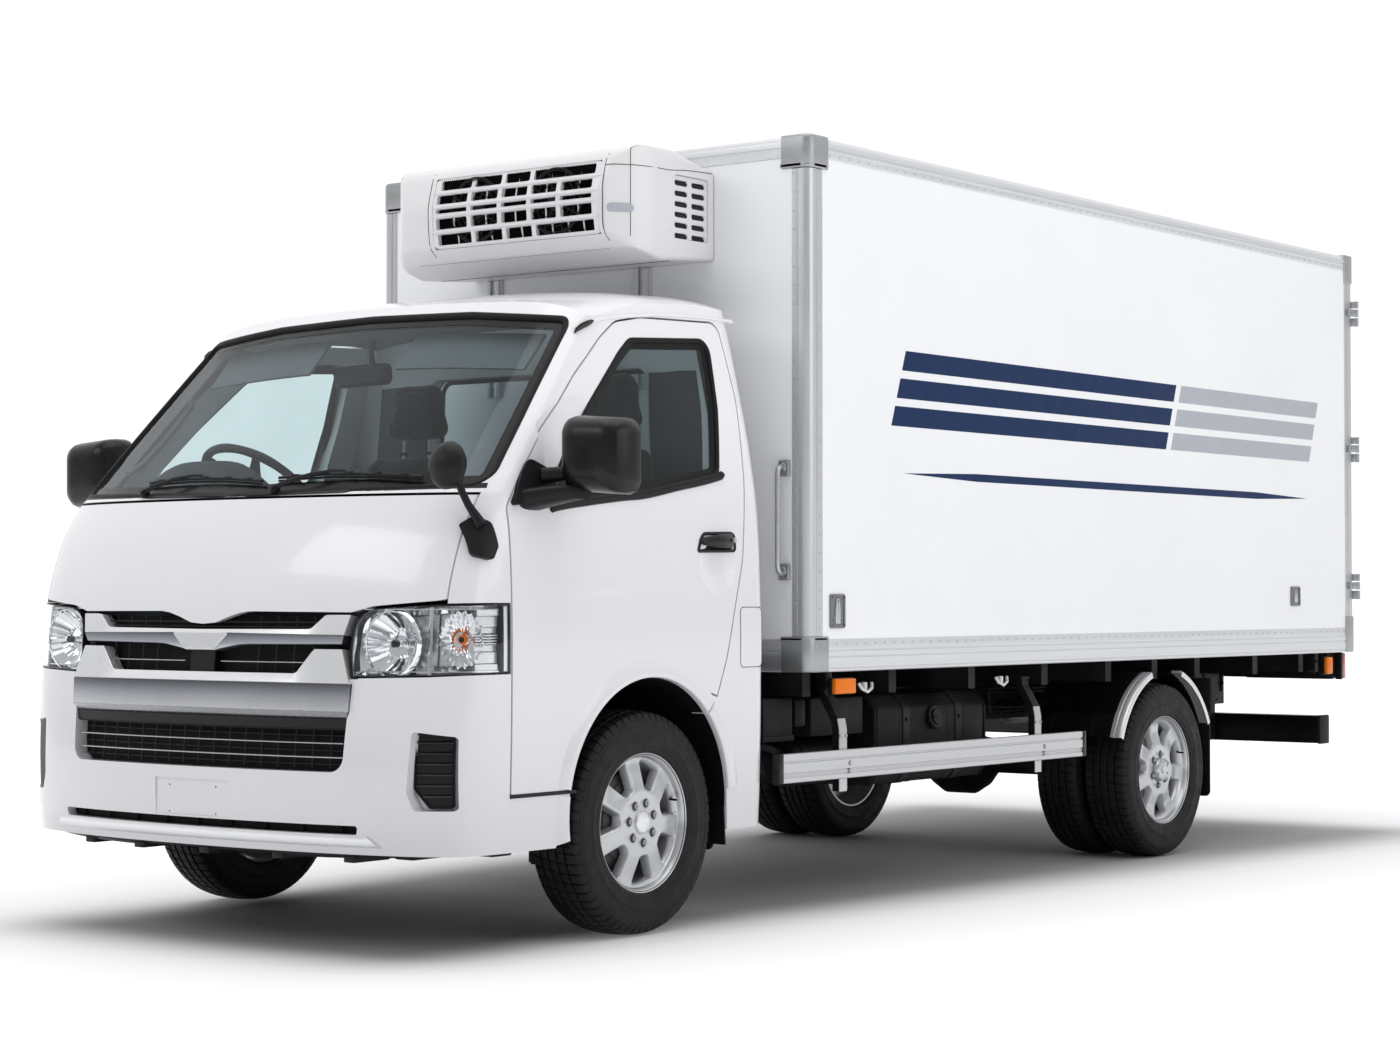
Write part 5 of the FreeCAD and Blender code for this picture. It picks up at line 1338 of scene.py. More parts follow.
for sd, mir in (("left", False), ("right", True)):
    def out(bag, name, mat, body="truck", deg=32, rep=(), **k):
        return (bag.flip() if mir else bag).obj("%s_%s" % (name, sd), mat, body, deg, rep, **k)
    dr = "door_" + sd
    # window frame seal, with a heavier belt moulding along the foot
    s = Bag()
    s.sweep(SIDE_O, [(7, -0.6), (6.4, 1.5), (3, 2.4), (-5, 2.2), (-9, 0.2), (-11, -5.0), (-14, -6.2), (-24, -8.0), (-27, -9.4), (-27, -16)], side)
    out(s, "door_seal", "seal_rubber", dr)
    s = Bag()
    belt = [(-425, 1296), (-392, 1304), (-300, 1317), (-100, 1340), (34, 1352), (200, 1381), (330, 1402), (415, 1419), (446, 1427)]
    bp = [tuple(p) for p in smooth_curve(belt, 6)]
    rows = []
    for i, (y, z) in enumerate(bp):
        k = 1.0 if 1 < i < len(bp) - 3 else (0.35, 0.75)[min(i, 1)] if i < 2 else (0.9, 0.7, 0.3)[i - (len(bp) - 3)]
        rows.append([spt(y, z + dz * k, h) for dz, h in ((-14, -1), (-14, 2.6), (-11, 6.4), (-3, 7.4), (1, 6.2), (2, 3.8), (4, 3.6), (6, 5.0), (11, 4.4), (14, 0.5), (15, -12))])
    s.rows(rows, ends=True)
    out(s, "belt_moulding", "black_plastic", dr)
    # thin division bar and run channel behind the glass
    s = Bag()
    s.tube([spt(452, z, -20) for z in np.linspace(1470, 1850, 8)], 9, 8)
    out(s, "window_channel", "black_matt", dr)
    # door handle: black housing with a pull grip standing off it
    h = Bag()
    ho = rounded([(276, 1176), (480, 1180), (482, 1244), (306, 1240)], [9, 12, 26, 34], 6)
    h.sweep(dense(ho, 14), [(1.0, -6), (1.0, 1.5), (-0.6, 3.8), (-6, 4.8), (-9, 3.0), (-12, -5)], side)
    h.patch(offset(dense(ho, 14), -12), side, -5, step=22)
    out(h, "handle_housing", "black_plastic", dr)
    h = Bag()
    rows = []
    for i in range(29):
        u = i / 28.0
        y = 290 + 178 * u
        z = 1211 + 3 * u
        w = 24.0 * (1 - 0.62 * abs(1 - u) ** 2.2) * min(1.0, 0.35 + 9 * (1 - u)) * min(1.0, 0.3 + 8 * u)
        lift = 9 + 13 * math.sin(math.pi * min(1.0, u * 1.05)) ** 0.7 if 0 < u < 0.95 else 8
        c0 = spt(y, z, 0)
        n = (spt(y, z, 10) - c0) / 10
        rows.append([c0 + n * (lift - 8 + 8.5 * math.copysign(abs(math.cos(t)) ** 0.8, math.cos(t))) + np.array([0, 0, 1]) * (math.copysign(abs(math.sin(t)) ** 0.8, math.sin(t)) * w) for t in np.linspace(0, 2 * math.pi, 21)[:-1]])
    h.rows(rows, closed=True, ends=True)
    out(h, "door_handle", "black_gloss_grain", dr, 50)
    # lock barrel
    h = Bag()
    c = spt(452, 1216, 20)
    h.cyl(c - np.array([4, 0, 0]), c + np.array([3.0, 0, 0]), 8.0, 24, 1)
    h.cyl(c + np.array([3, 0, 0]), c + np.array([4.0, 0, 0]), 5.0, 20, 0.5)
    out(h, "door_lock", "steel", dr)
    # black strip under the door's front part
    h = Bag()
    rows = []
    for y in np.linspace(-612, -318, 14):
        rows.append([spt(y, z, o) for z, o in ((456, -1), (456.5, 2.4), (459, 4.2), (464, 4.2), (467, 2.2), (467.2, -1))])
    h.rows(rows, closed=True, ends=True)
    out(h, "door_foot_strip", "black_plastic", "truck")
    # lip round the wheel arch, split where the door's lower edge is
    def arch(a0, a1, n=40):
        b = Bag()
        rows = []
        for i in range(n + 1):
            a = math.radians(a0 + (a1 - a0) * i / n)
            row = []
            for r, o in ((390.5, -16), (390.5, 3.0), (392, 5.6), (396, 7.6), (405, 8.2), (417, 7.0), (430, 4.2), (442, 1.4), (449, -0.8)):
                y, z = 43 + r * math.cos(a), 400 + r * math.sin(a)
                row.append(spt(y, z, o))
            rows.append(row)
        b.rows(rows, closed=True, ends=True)
        return b
    a_d0 = math.degrees(math.atan2(727 - 400, 374 - 43)) + 0.4
    a_d1 = math.degrees(math.atan2(468 - 400, -360 - 43)) - 0.2
    out(arch(a_d0, a_d1), "arch_lip_door", "white_plain", dr)
    out(arch(a_d0 - 1.3, 4.5, 24), "arch_lip_rear", "white_plain", "truck")
    out(arch(a_d1 + 2.8, 192.0, 10), "arch_lip_front", "white_plain", "truck")
    # rubber arch liner edge
    def liner(xa, xb, a0, a1, n):
        b = Bag()
        rows = []
        for i in range(n + 1):
            a = math.radians(a0 + (a1 - a0) * i / n)
            rows.append([(x, 43 + r * math.cos(a), 400 + r * math.sin(a)) for x, r in ((xb, 389.6), (xa, 389.6), (xa, 386.2), (xb, 386.2))])
        b.rows(rows, closed=True, ends=True)
        return b
    out(liner(560, 868, -4, 196, 60), "arch_liner", "black_matt", "truck")
    out(liner(872, 927, a_d0, a_d1, 40), "arch_liner_door", "black_matt", dr)
    out(liner(868, 927, -4, a_d0 - 1.3, 18), "arch_liner_rear", "black_matt", "truck")
    out(liner(868, 927, a_d1 + 2.8, 196, 8), "arch_liner_front", "black_matt", "truck")
    # the liner runs on as a flap down the rear edge of the well
    fl = Bag()
    rows = []
    for z in np.linspace(374, 250, 9):
        yb = 431 + 11 * (440 - z) / 160.0 - 1.0
        rows.append([(x, y, z) for x, y in ((924, yb), (650, yb), (650, yb - 6), (924, yb - 6))])
    fl.rows(rows, closed=True, ends=True)
    out(fl, "arch_flap", "flap_rubber", "truck")

# fuel flap and its seam, on the left only
flap = Bag()
fo = dense(rounded([(498, 812), (612, 812), (612, 1004), (498, 1004)], 16, 6), 18)
flap.sweep(fo, [(1.2, -0.8), (1.0, 0.35), (-1.0, 0.35), (-1.2, -0.8)], side)
flap.obj("fuel_flap_seam", "seal_rubber")
flap = Bag()
flap.patch(offset(fo, -2.2), side, 1.1, step=40, thick=2.0)
flap.obj("fuel_flap", "white_plain")

# ---- wipers
wp, blade = Bag(), Bag()
for px, mid, tip in ((-452, (-300, 1402), (-98, 1392)), (150, (330, 1404), (560, 1396))):
    base = fpt(px, 1356, 4)
    wp.cyl(fpt(px, 1356, -4), fpt(px, 1356, 16), 15, 20, 3)
    wp.cyl(fpt(px, 1356, 16), fpt(px, 1356, 22), 9, 16, 2)
    arm = [fpt(px, 1357, 13), fpt(px + 50, 1372, 17), fpt(px + 120, 1392, 17), fpt(px + 190, 1404, 14), fpt(px + 235, 1405, 11)]
    wp.tube([tuple(p) for p in arm], [8, 7.5, 6, 4.5, 3.5], 10, flat=0.6, up=(0, 0, 1))
    x0, x1 = px - 20, px + 520
    pts = []
    for x in np.linspace(x0, x1, 24):
        u = (x - x0) / (x1 - x0)
        pts.append(fpt(x, 1393 + 18 * math.sin(math.pi * u) * 0.6 - 8 * u, 5))
    wp.tube(pts, 4.6, 8)
    blade.tube([fpt(x, 1388 + 18 * math.sin(math.pi * (x - x0) / (x1 - x0)) * 0.6 - 8 * (x - x0) / (x1 - x0), -1.5) for x in np.linspace(x0, x1, 24)], 3.4, 6)
    for u in (0.12, 0.3, 0.5, 0.7, 0.88):
        x = x0 + (x1 - x0) * u
        z = 1393 + 18 * math.sin(math.pi * u) * 0.6 - 8 * u
        p = fpt(x, z, 6)
        wp.box(p[0] - 16, p[0] + 16, p[1] - 5, p[1] + 5, p[2] - 4, p[2] + 6, 2)
wp.obj("wiper_arms", "black_plastic", rep=("wipers",))
blade.obj("wiper_blades", "seal_rubber")

# ---- side mirrors
def rrect(w, h, r, n=8):
    return rounded([(-w, -h), (w, -h), (w, h), (-w, h)], r, n)


def mirror_head():
    shell_b, rim_b, glass_b = Bag(), Bag(), Bag()
    cx, cz = 1094.0, 1452.0
    rows = []
    m = None
    for y, k in ((-476, 0.40), (-474, 0.58), (-468, 0.72), (-458, 0.83), (-440, 0.925), (-415, 0.98), (-385, 1.0), (-352, 1.0), (-346, 0.985)):
        w, hh = 113 * k, 112 * k
        o = rrect(w, hh, 34 * k + 10, 6)
        row = []
        for x, z in o:
            # the inner side is lower and the top slopes outwards
            dz = -8.0 * (x / 113.0) * k
            row.append((cx + x, y + 10 * (x / 113.0) ** 2 * 0.0 - 0.10 * (z / 112.0) * 40 * 0.3, cz + z + dz))
        rows.append(row)
    shell_b.rows(rows, closed=True)
    c = [(sum(p[0] for p in rows[0]) / len(rows[0])), (sum(p[1] for p in rows[0]) / len(rows[0])) - 1.0, (sum(p[2] for p in rows[0]) / len(rows[0]))]
    k = len(shell_b.v)
    shell_b.add([c] + rows[0], [(0, i + 1, (i + 1) % len(rows[0]) + 1) for i in range(len(rows[0]))])
    o = rrect(111, 110, 42, 6)
    ring = [(cx + x, 0, cz + z - 8 * x / 113) for x, z in o]
    inner = [(cx + x * 0.9, 0, cz + z * 0.9 - 8 * x / 113) for x, z in o]
    rim_b.rows([[(x, -347, z) for x, y, z in ring], [(x, -344, z) for x, y, z in ring], [(x, -344, z) for x, y, z in inner], [(x, -352, z) for x, y, z in inner]], closed=True)
    glass_b.add([(x, -351, z) for x, y, z in inner], [tuple(range(len(inner)))])
    return shell_b, rim_b, glass_b


for sd, mir in (("left", False), ("right", True)):
    dr = "door_" + sd
    a, b, c = mirror_head()
    arm = Bag()
    # arm: housing under the head, from the foot of the door's corner plate
    rows = []
    for t in np.linspace(0, 1, 13):
        cx_, cy_, cz_ = 926 + 122 * t, -500 + 78 * t - 10 * math.sin(math.pi * t), 1322 + 22 * t
        hy, hz = 62 - 22 * t, 34 - 12 * t
        rows.append([(cx_ + (4 * math.sin(a) if t < 1 else 0), cy_ + hy * math.copysign(abs(math.cos(a)) ** 0.7, math.cos(a)), cz_ + hz * math.copysign(abs(math.sin(a)) ** 0.7, math.sin(a))) for a in np.linspace(0, 2 * math.pi, 25)[:-1]])
    arm.rows(rows, closed=True, ends=True)
    arm.tube([(930, -462, 1392), (975, -440, 1396), (1015, -425, 1398)], [24, 22, 20], 12, flat=0.7, up=(0, 0, 1))
    foot_o = rounded([(-598, 1300), (-560, 1304), (-415, 1322), (-398, 1350), (-430, 1412), (-500, 1440), (-535, 1400)], [10, 30, 14, 16, 24, 24, 20], 5)
    arm.patch(dense(foot_o, 16), side, 14, step=26, thick=16)
    (a.flip() if mir else a).obj("mirror_shell_" + sd, "black_gloss_grain", dr, 40, ("mirror_" + sd,))
    (b.flip() if mir else b).obj("mirror_rim_" + sd, "black_plastic", dr)
    (c.flip() if mir else c).obj("mirror_glass_" + sd, "mirror_glass", dr, face=(0, 1, 0))
    (arm.flip() if mir else arm).obj("mirror_arm_" + sd, "black_plastic", dr, 40)

# ---- under-mirror on the left front corner
um = Bag()
uc = Vector((850, -771, 1412))
ax = Vector((-0.10, -0.99, 0.10)).normalized()
um.rev([(-2, 0.5), (-2, 60), (2, 67.5), (12, 70.0), (24, 66.5), (38, 57), (50, 42), (58, 24), (61, 0.5)], uc, ax, 48, closed=False)
um.tube([(850, -768, 1408), (856, -748, 1372), (866, -740, 1336), (884, -734, 1300), (904, -724, 1268), (918, -716, 1240)], [13, 12, 11, 11.5, 14, 18], 14)
bo = rounded([(-742, 1152), (-690, 1140), (-668, 1180), (-676, 1246), (-706, 1262), (-738, 1236)], 14, 5)
um.patch(dense(bo, 14), side, 20, step=20, thick=24)
um.obj("under_mirror_body", "black_plastic", deg=40, rep=("under_mirror",))
ug = Bag()
ug.rev([(-3.5, 63), (-5.0, 58), (-11, 38), (-14, 18), (-15, 0.5)], uc, ax, 48, closed=False)
ug.obj("under_mirror_glass", "mirror_glass")
# ------------------------------------------------------------------ load box
HW = 965.0
BY0, BY1, BZ0, BZ1 = 846.0, 5105.0, 787.0, 2566.0


def dome(bag, c, n, r=4.6, h=2.2):
    """Small rivet head standing on a face with normal n."""
    bag.rev([(-0.6, r * 0.9), (0.2, r), (h * 0.55, r * 0.82), (h * 0.9, r * 0.45), (h, 0.02)], c, n, 10, closed=False)


def bolt(bag, c, n, r=8.0, h=5.0):
    """Hexagon bolt head on a round washer."""
    c, n = Vector(c), Vector(n).normalized()
    bag.rev([(0, 0.02), (0, r * 1.35), (1.4, r * 1.35), (1.6, r * 1.2)], c, n, 18, closed=False)
    bag.rev([(1.4, r), (h, r), (h + 0.8, r * 0.8), (h + 0.8, 0.02)], c, n, 6, closed=False)


fr, frv, riv, grey = Bag(), Bag(), Bag(), Bag()
# sections of the long side profiles as (x, z), outer face at x = 965
low_sec = [(905, 787), (961, 787), (964.2, 790), (964.2, 797), (962.2, 798.2), (962.2, 800.0), (965, 801.2), (965, 834), (962.6, 835.2), (962.6, 837.6), (965, 838.8), (965, 855), (962.6, 856.2), (962.6, 858.4),
           (965, 859.6), (965, 866), (963.4, 867.5), (963.4, 893), (962.2, 897), (905, 897)]
top_sec = [(905, 2494), (962.4, 2494), (963.6, 2497), (963.6, 2519), (965, 2521), (965, 2527), (962.8, 2528.4), (962.8, 2530.6), (965, 2532), (965, 2544)] + \
          [(943 + 22 * math.cos(a), 2544 + 22 * math.sin(a)) for a in np.linspace(0.15, math.pi / 2, 7)] + [(905, 2566)]
fr.prism(low_sec, "y", 929, 5033)
fr.prism(top_sec, "y", 929, 5033)
for y in np.arange(952, 5030, 58.0):
    dome(riv, (963.3, y, 880.5), (1, 0, 0), 4.4, 2.0)
    dome(riv, (963.5, y + 20, 2508), (1, 0, 0), 4.4, 2.0)
# front corner post: flange, rounded bright corner, flange
post = [(963.2, 928), (963.2, 894), (961.0, 892.5), (961.0, 890.5), (964.9, 889)]
post += [(935 + 30 * math.cos(a), 876 - 30 * math.sin(a)) for a in np.linspace(0.05, math.pi / 2 - 0.05, 12)]
post += [(921, 846.2), (919.5, 849.2), (917.5, 849.2), (916, 847.6), (896, 847.6), (896, 905), (905, 928)]
frv.prism(post, "z", 906, 2456)
for z in np.arange(935, 2450, 62.0):
    dome(riv, (963.3, 911, z), (1, 0, 0), 4.4, 2.0)
    dome(riv, (906, 847.5, z + 18), (0, -1, 0), 4.4, 2.0)
# rear post: light strip, grooves and a darker riveted flange
rpost = [(905, 5033), (962.8, 5033), (964.0, 5035), (964.0, 5056), (961.5, 5057.5), (961.5, 5059.5), (965, 5061), (965, 5092), (963.5, 5094), (963.5, 5102), (961, 5105), (903.5, 5105)]
grey.prism(rpost, "z", 948.5, 2441)
for z in np.arange(965, 2430, 55.0):
    dome(riv, (964.2, 5045, z), (1, 0, 0), 4.2, 1.8)
fr.both().obj("box_rails", "aluminium", rep=("box_frame",), deg=30)
frv.both().obj("box_front_posts", "aluminium_v", deg=30)
grey.both().obj("box_rear_posts", "aluminium_v", deg=30)
riv.both().obj("box_rivets", "steel", deg=50)
# cross profiles: front foot, front head, rear head and sill
cr = Bag()
cr.prism([(847.4, 787), (849.5, 790), (849.5, 800), (847.2, 801), (846.2, 803), (846.2, 850), (848.4, 852), (848.4, 856), (846.4, 858), (846.4, 893), (849.2, 897), (908, 897), (908, 787)], "x", -896, 896)
cr.prism([(846.4, 2496), (849, 2494), (908, 2494), (908, 2566)] + [(868 - 22 * math.sin(a), 2544 + 22 * math.cos(a)) for a in np.linspace(0.0, math.pi / 2, 7)] + [(846.0, 2530), (848.2, 2528.6), (848.2, 2526.2), (846, 2525)], "x", -896, 896)
cr.prism([(5033, 2494), (5105, 2494), (5105, 2510), (5102.5, 2511.5), (5102.5, 2514), (5105, 2515.5), (5105, 2557), (5098, 2566), (5033, 2566)], "x", -903, 903)
cr.prism([(5039, 787), (5103, 787), (5105, 790), (5105, 826), (5102.5, 828), (5102.5, 832), (5105, 834), (5105, 887), (5100, 892), (5039, 892)], "x", -903, 903)
for x in np.arange(-870, 871, 60.0):
    dome(cr, (x, 848.2, 875), (0, -1, 0), 4.2, 1.8)
cr.obj("box_cross_profiles", "aluminium", deg=30)
# sill tread plate with low studs
tr = Bag()
tr.box(-900, 900, 4975, 5104.6, 889, 893.0, 0.8, 1)
for i, x in enumerate(np.arange(-880, 881, 22.0)):
    for j in range(5):
        dome(tr, (x, 4985 + 25 * j + (12 if i % 2 else 0) * 0.9, 893.0), (0, 0, 1), 5.5, 1.3)
tr.obj("rear_sill_plate", "aluminium")

# ---- cast corner caps with a stepped flange and screws
caps, scr = Bag(), Bag()


def corner_plan(x0, x1, y0, y1, r, n=9):
    """Outline with the outer front corner rounded."""
    return [(x0, y1), (x0, y0)] + [(x1 - r + r * math.sin(a), y0 + r - r * math.cos(a)) for a in np.linspace(0, math.pi / 2, n)] + [(x1, y1)]


def cap(z0, z1, top, h):
    """Rounded casting; the wall edge steps down 2 mm, the top or foot edge is softened."""
    rows = []
    hs = [(z0, 3.0), (z0 + 1.2, 1.2), (z0 + 4, 0.0), (z1 - 10, 0.0), (z1 - 5, 1.2), (z1 - 1.8, 4.0), (z1, 8.5)] if top else [(z0, 4.0), (z0 + 2, 1.6), (z0 + 5, 0), (z1 - 4, 0), (z1 - 1.2, 1.2), (z1, 3.0)]
    for z, inn in hs:
        rows.append([(x, y, z) for x, y in corner_plan(856, 969 - inn, 842 + inn, 955 if inn < 8 else 954, 34 - inn * 0.5)])
    caps.rows(rows, closed=True, ends=True)


cap(2458, 2570, True, 0)
cap(787.2, 905, False, 0)
# raised collar and bead on the front castings
for z0, z1 in ((2462, 2474), (892, 902)):
    rows = []
    for z, o in ((z0, 0.0), (z0 + 2, 0.0), (z1 - 2, 0.0), (z1, 0.0)):
        inn = -0.0 if z in (z0, z1) else -0.0
        rows.append([(x, y, z) for x, y in corner_plan(852, 968.4 if z in (z0, z1) else 969.0, 842.6 if z in (z0, z1) else 842.0, 944, 33)])
    caps.rows(rows, closed=True, ends=True)
for x, y, z, n in ((968.8, 898, 2484, (1, 0, 0)), (968.8, 938, 2484, (1, 0, 0)), (968.8, 898, 2540, (1, 0, 0)), (968.8, 938, 2540, (1, 0, 0)),
                   (890, 842.2, 2484, (0, -1, 0)), (920, 842.2, 2484, (0, -1, 0)), (874, 842.2, 2540, (0, -1, 0)), (914, 842.2, 2540, (0, -1, 0)),
                   (968.8, 900, 806, (1, 0, 0)), (968.8, 940, 806, (1, 0, 0)), (968.8, 900, 880, (1, 0, 0)), (968.8, 940, 880, (1, 0, 0)),
                   (880, 842.2, 806, (0, -1, 0)), (915, 842.2, 806, (0, -1, 0)), (880, 842.2, 880, (0, -1, 0))):
    dome(scr, (x - n[0] * 1.2, y - n[1] * 1.2, z), n, 5.6, 1.4)
# rear castings
for z0, z1 in ((2441, 2570), (787.2, 948)):
    v, f = [], []
    caps.box(905, 969, 5032, 5109, z0, z1, 5.5, 3)
    for z in ((z0 + 16, z0 + 52, z1 - 40, z1 - 14) if z0 > 2000 else (z0 + 16, z0 + 60, z1 - 50, z1 - 14)):
        dome(scr, (967.9, 5050, z), (1, 0, 0), 5.6, 1.3)
        dome(scr, (967.9, 5088, z), (1, 0, 0), 5.6, 1.3)
        dome(scr, (936, 5107.8, z), (0, 1, 0), 5.6, 1.3)
caps.both().obj("corner_castings", "cap_grey", rep=("corner_caps",), deg=38)
scr.both().obj("corner_screws", "steel", deg=50)

# ---- plain stripes on both sides
nav, gry = Bag(), Bag()


def slant(bag, y0, y1, z0, z1, s0=0.35, s1=0.35):
    bag.prism([(y0 + s0 * (z0 - 1600), z0), (y1 + s1 * (z0 - 1600), z0), (y1 + s1 * (z1 - 1600), z1), (y0 + s0 * (z1 - 1600), z1)], "x", 961.6, 962.5)


for z0, z1 in ((1625, 1694), (1722, 1791), (1819, 1888)):
    slant(nav, 1335, 3330, z0, z1)
    slant(gry, 3372, 4655, z0, z1)
nav.prism([(1420, 1463), (1900, 1449), (4150, 1449), (4640, 1463), (4150, 1477), (1900, 1477)], "x", 961.6, 962.5)
nav.both().obj("side_stripes_navy", "navy")
gry.both().obj("side_stripes_grey", "stripe_grey")

# ---- latch plates near the foot of each side: dished plate, bolt and catch
pl, lt, dk = Bag(), Bag(), Bag()
for ya, yb, za, zc in ((968, 1056, 932, 1046), (4471, 4560, 995, 1079)):
    big = ya < 2000
    o = rounded([(ya, za), (yb, za), (yb, zc), (ya, zc)], 9, 5)
    pl.sweep(o, [(0, -4), (0, 2.2), (-1.6, 3.6), (-7, 3.6), (-9, 2.2), (-9, 0.2)], flat_x(965))
    pl.patch(offset(o, -9), flat_x(965), 0.2, step=0)
    ym, zm = (ya + yb) / 2, (za + zc) / 2
    h = (zc - za) / 2
    lt.prism(rounded([(ym - 15, zm - h + 15), (ym + 15, zm - h + 15), (ym + 15, zm + 4), (ym + 9, zm + h - 16), (ym - 9, zm + h - 16), (ym - 15, zm + 4)], 5, 4), "x", 963.5, 968.4, 1.2)
    lt.cyl((965, ym, zm + h - 24), (968.6, ym, zm + h - 24), 8, 20, 1)
    dk.cyl((965, ym, zm + h - 24), (968.9, ym, zm + h - 24), 3.5, 14, 0.4)
    lt.tube([(967.2, ym - 20, zm - h + 20), (967.2, ym - 22, zm - h + 34), (967.2, ym + 22, zm - h + 34), (967.2, ym + 20, zm - h + 20)], 1.7, 8)
    for a in (-1, 1):
        for b in (-1, 1):
            dome(dk, (968.4, ym + a * (yb - ya - 14) / 2 * 0.98, zm + b * (h - 9)), (1, 0, 0), 3.4, 0.5)
pl.both().obj("latch_plates", "latch_dark", rep=("box_hardware",))
lt.both().obj("latch_catches", "steel")
dk.both().obj("latch_screws", "black_plastic")

# fixed hinge halves on the rear posts
hb = Bag()
for z in (1024, 1640, 2252):
    hb.rev([(0, 0.02), (0, 7.5), (1.5, 9), (31.5, 9), (33, 7.5), (33, 0.02)], (985, 5119, z + 43.5), (0, 0, 1), 24, closed=False)
    hb.prism(rounded([(965, 5056), (981, 5056), (981, 5090), (991, 5118), (979, 5121), (970, 5103), (965, 5103)], [0, 4, 8, 3, 3, 4, 0], 3), "z", z + 44.2, z + 75.8, 1.0)
    bolt(hb, (980.6, 5068, z + 60), (1, 0, 0), 5, 3)
hb.both().obj("rear_hinge_halves", "cap_grey", deg=35)

# ---- rear doors
for sd, mir in (("left", False), ("right", True)):
    body = "rear_door_" + sd

    def put_d(bag, name, mat, deg=32, rep=()):
        (bag.flip() if mir else bag).obj("%s_%s" % (name, sd), mat, body, deg, rep)
    z0, z1 = 899.0, 2488.0
    leaf = Bag()
    leaf.box(9, 892, 5044, 5099, z0 + 5, z1 - 5, 1.5, 1)
    put_d(leaf, "rear_leaf", "panel_white", rep=(body,))
    ed = Bag()
    o = [(4, z0), (897, z0), (897, z1), (4, z1)]
    ed.sweep(o, [(0, -58), (0, -2), (-1, -0.2), (-24, -0.2), (-26, -1.4), (-28, -1.4), (-30, 0.0), (-34, 0.0), (-35, -4)], lambda p, h: (p[0], 5102 + h, p[1]))
    ed.sweep(o, [(-35, -58), (-35, -59), (0, -59), (0, -58)], lambda p, h: (p[0], 5102 + h, p[1]))
    put_d(ed, "rear_leaf_edge", "aluminium")
    gk = Bag()
    for k in (0.0, 9.0):
        gk.sweep(o, [(-1.0 + 0, -12 - k), (2.6, -13.5 - k), (2.6, -16 - k), (-1.0, -17.5 - k)], lambda p, h: (p[0], 5102 + h, p[1]))
    put_d(gk, "rear_leaf_gasket", "seal_rubber")
    hw, bk = Bag(), Bag()
    for z in (1024, 1640, 2252):
        # strap with a turned eye at the pin
        st = rounded([(726, z + 12), (726, z + 101), (880, z + 112), (958, z + 113), (958, z), (880, z + 1)], [14, 14, 10, 2, 2, 10], 4)
        hw.prism(st, "y", 5103, 5111, 1.4)
        for za, zc in ((z, z + 38), (z + 82, z + 113)):
            hw.rev([(0, 0.02), (0, 7.6), (1.2, 9), (zc - za - 1.2, 9), (zc - za, 7.6), (zc - za, 0.02)], (985, 5119, za), (0, 0, 1), 24, closed=False)
            hw.prism([(955, 5105), (955, 5111), (978, 5118), (988, 5121), (984, 5111), (972, 5105.5)], "z", za + 0.6, zc - 0.6, 0.8)
        for x in (752, 812, 868):
            for dz in (30, 84):
                bolt(bk, (x, 5111, z + dz), (0, 1, 0), 6.5, 3.5)
        # stiffening rib pressed in the strap
        hw.tube([(742, 5111, z + 56.5), (850, 5111, z + 56.5), (930, 5111, z + 56.5)], 5.5, 10, flat=0.5)
    # locking bar, its keepers, cams and lever
    hw2 = Bag()
    hw2.cyl((150, 5117, 921), (150, 5117, 2466), 11, 24, 2)
    for z in (930, 1250, 1700, 2150, 2440):
        hw2.prism(rounded([(122, 5102), (178, 5102), (178, 5107), (165, 5109), (162, 5119), (138, 5119), (135, 5109), (122, 5107)], 2, 2), "z", z, z + 34, 1.0)
        for x in (129, 171):
            bolt(bk, (x, 5106.5, z + 17), (0, 1, 0), 4.5, 2.5)
    for z in (912, 2456):
        hw2.prism(rounded([(132, 5104), (168, 5104), (170, 5119), (158, 5126), (142, 5126), (130, 5119)], 3, 3), "z", z, z + 16, 1.5)
    hw2.tube([(150, 5121, 1344), (190, 5123, 1344), (250, 5123, 1343), (352, 5120, 1342)], [13, 11, 10, 9], 14, flat=0.45, up=(0, 0, 1))
    hw2.tube([(330, 5119, 1342), (362, 5119, 1342)], [12, 12.5], 14, flat=0.6, up=(0, 0, 1))
    hw2.prism(rounded([(318, 1318), (376, 1318), (376, 1372), (318, 1372)], 8, 4), "y", 5102, 5106, 1.0)
    put_d(hw, "rear_hinge_straps", "cap_grey", 35)
    put_d(hw2, "rear_lock_bar", "steel", 35)
    put_d(bk, "rear_door_bolts", "steel", 40)

# ---- front wall: rails that carry the unit, and the grab handle
ra = Bag()
for a, b in ((-449, -373), (229, 305)):
    w = b - a
    sec = [(a, 848.8), (a, 842), (a + 2, 840), (a + 8, 840), (a + 10, 832.6), (a + 12, 832), (a + 26, 832), (a + 28, 833), (a + 30, 842), (b - 30, 842), (b - 28, 833), (b - 26, 832), (b - 12, 832), (b - 10, 832.6), (b - 8, 840), (b - 2, 840), (b, 842), (b, 848.8)]
    ra.prism(sec, "z", 1750, 2169)
    for z in (1790, 1900, 2010, 2120):
        bolt(ra, ((a + b) / 2, 842, z), (0, -1, 0), 6.5, 4)
ra.obj("unit_rails", "aluminium_v", rep=("front_wall_fittings",), deg=30)
gh, gb = Bag(), Bag()
x = 868
pts = [(x, 836, 1466), (x, 818, 1465), (x, 808, 1456), (x, 804, 1440)] + [(x, 804, z) for z in (1380, 1290, 1200)] + [(x, 804, 1140), (x, 808, 1124), (x, 818, 1115), (x, 836, 1114)]
gh.tube(pts, 9.0, 16)
gh.rev([(0, 9.2), (0, 13), (3, 13), (4, 9.2)], (x, 826, 1465.5), (0, 1, 0), 20, closed=False)
gh.rev([(0, 9.2), (0, 13), (3, 13), (4, 9.2)], (x, 826, 1114.5), (0, 1, 0), 20, closed=False)
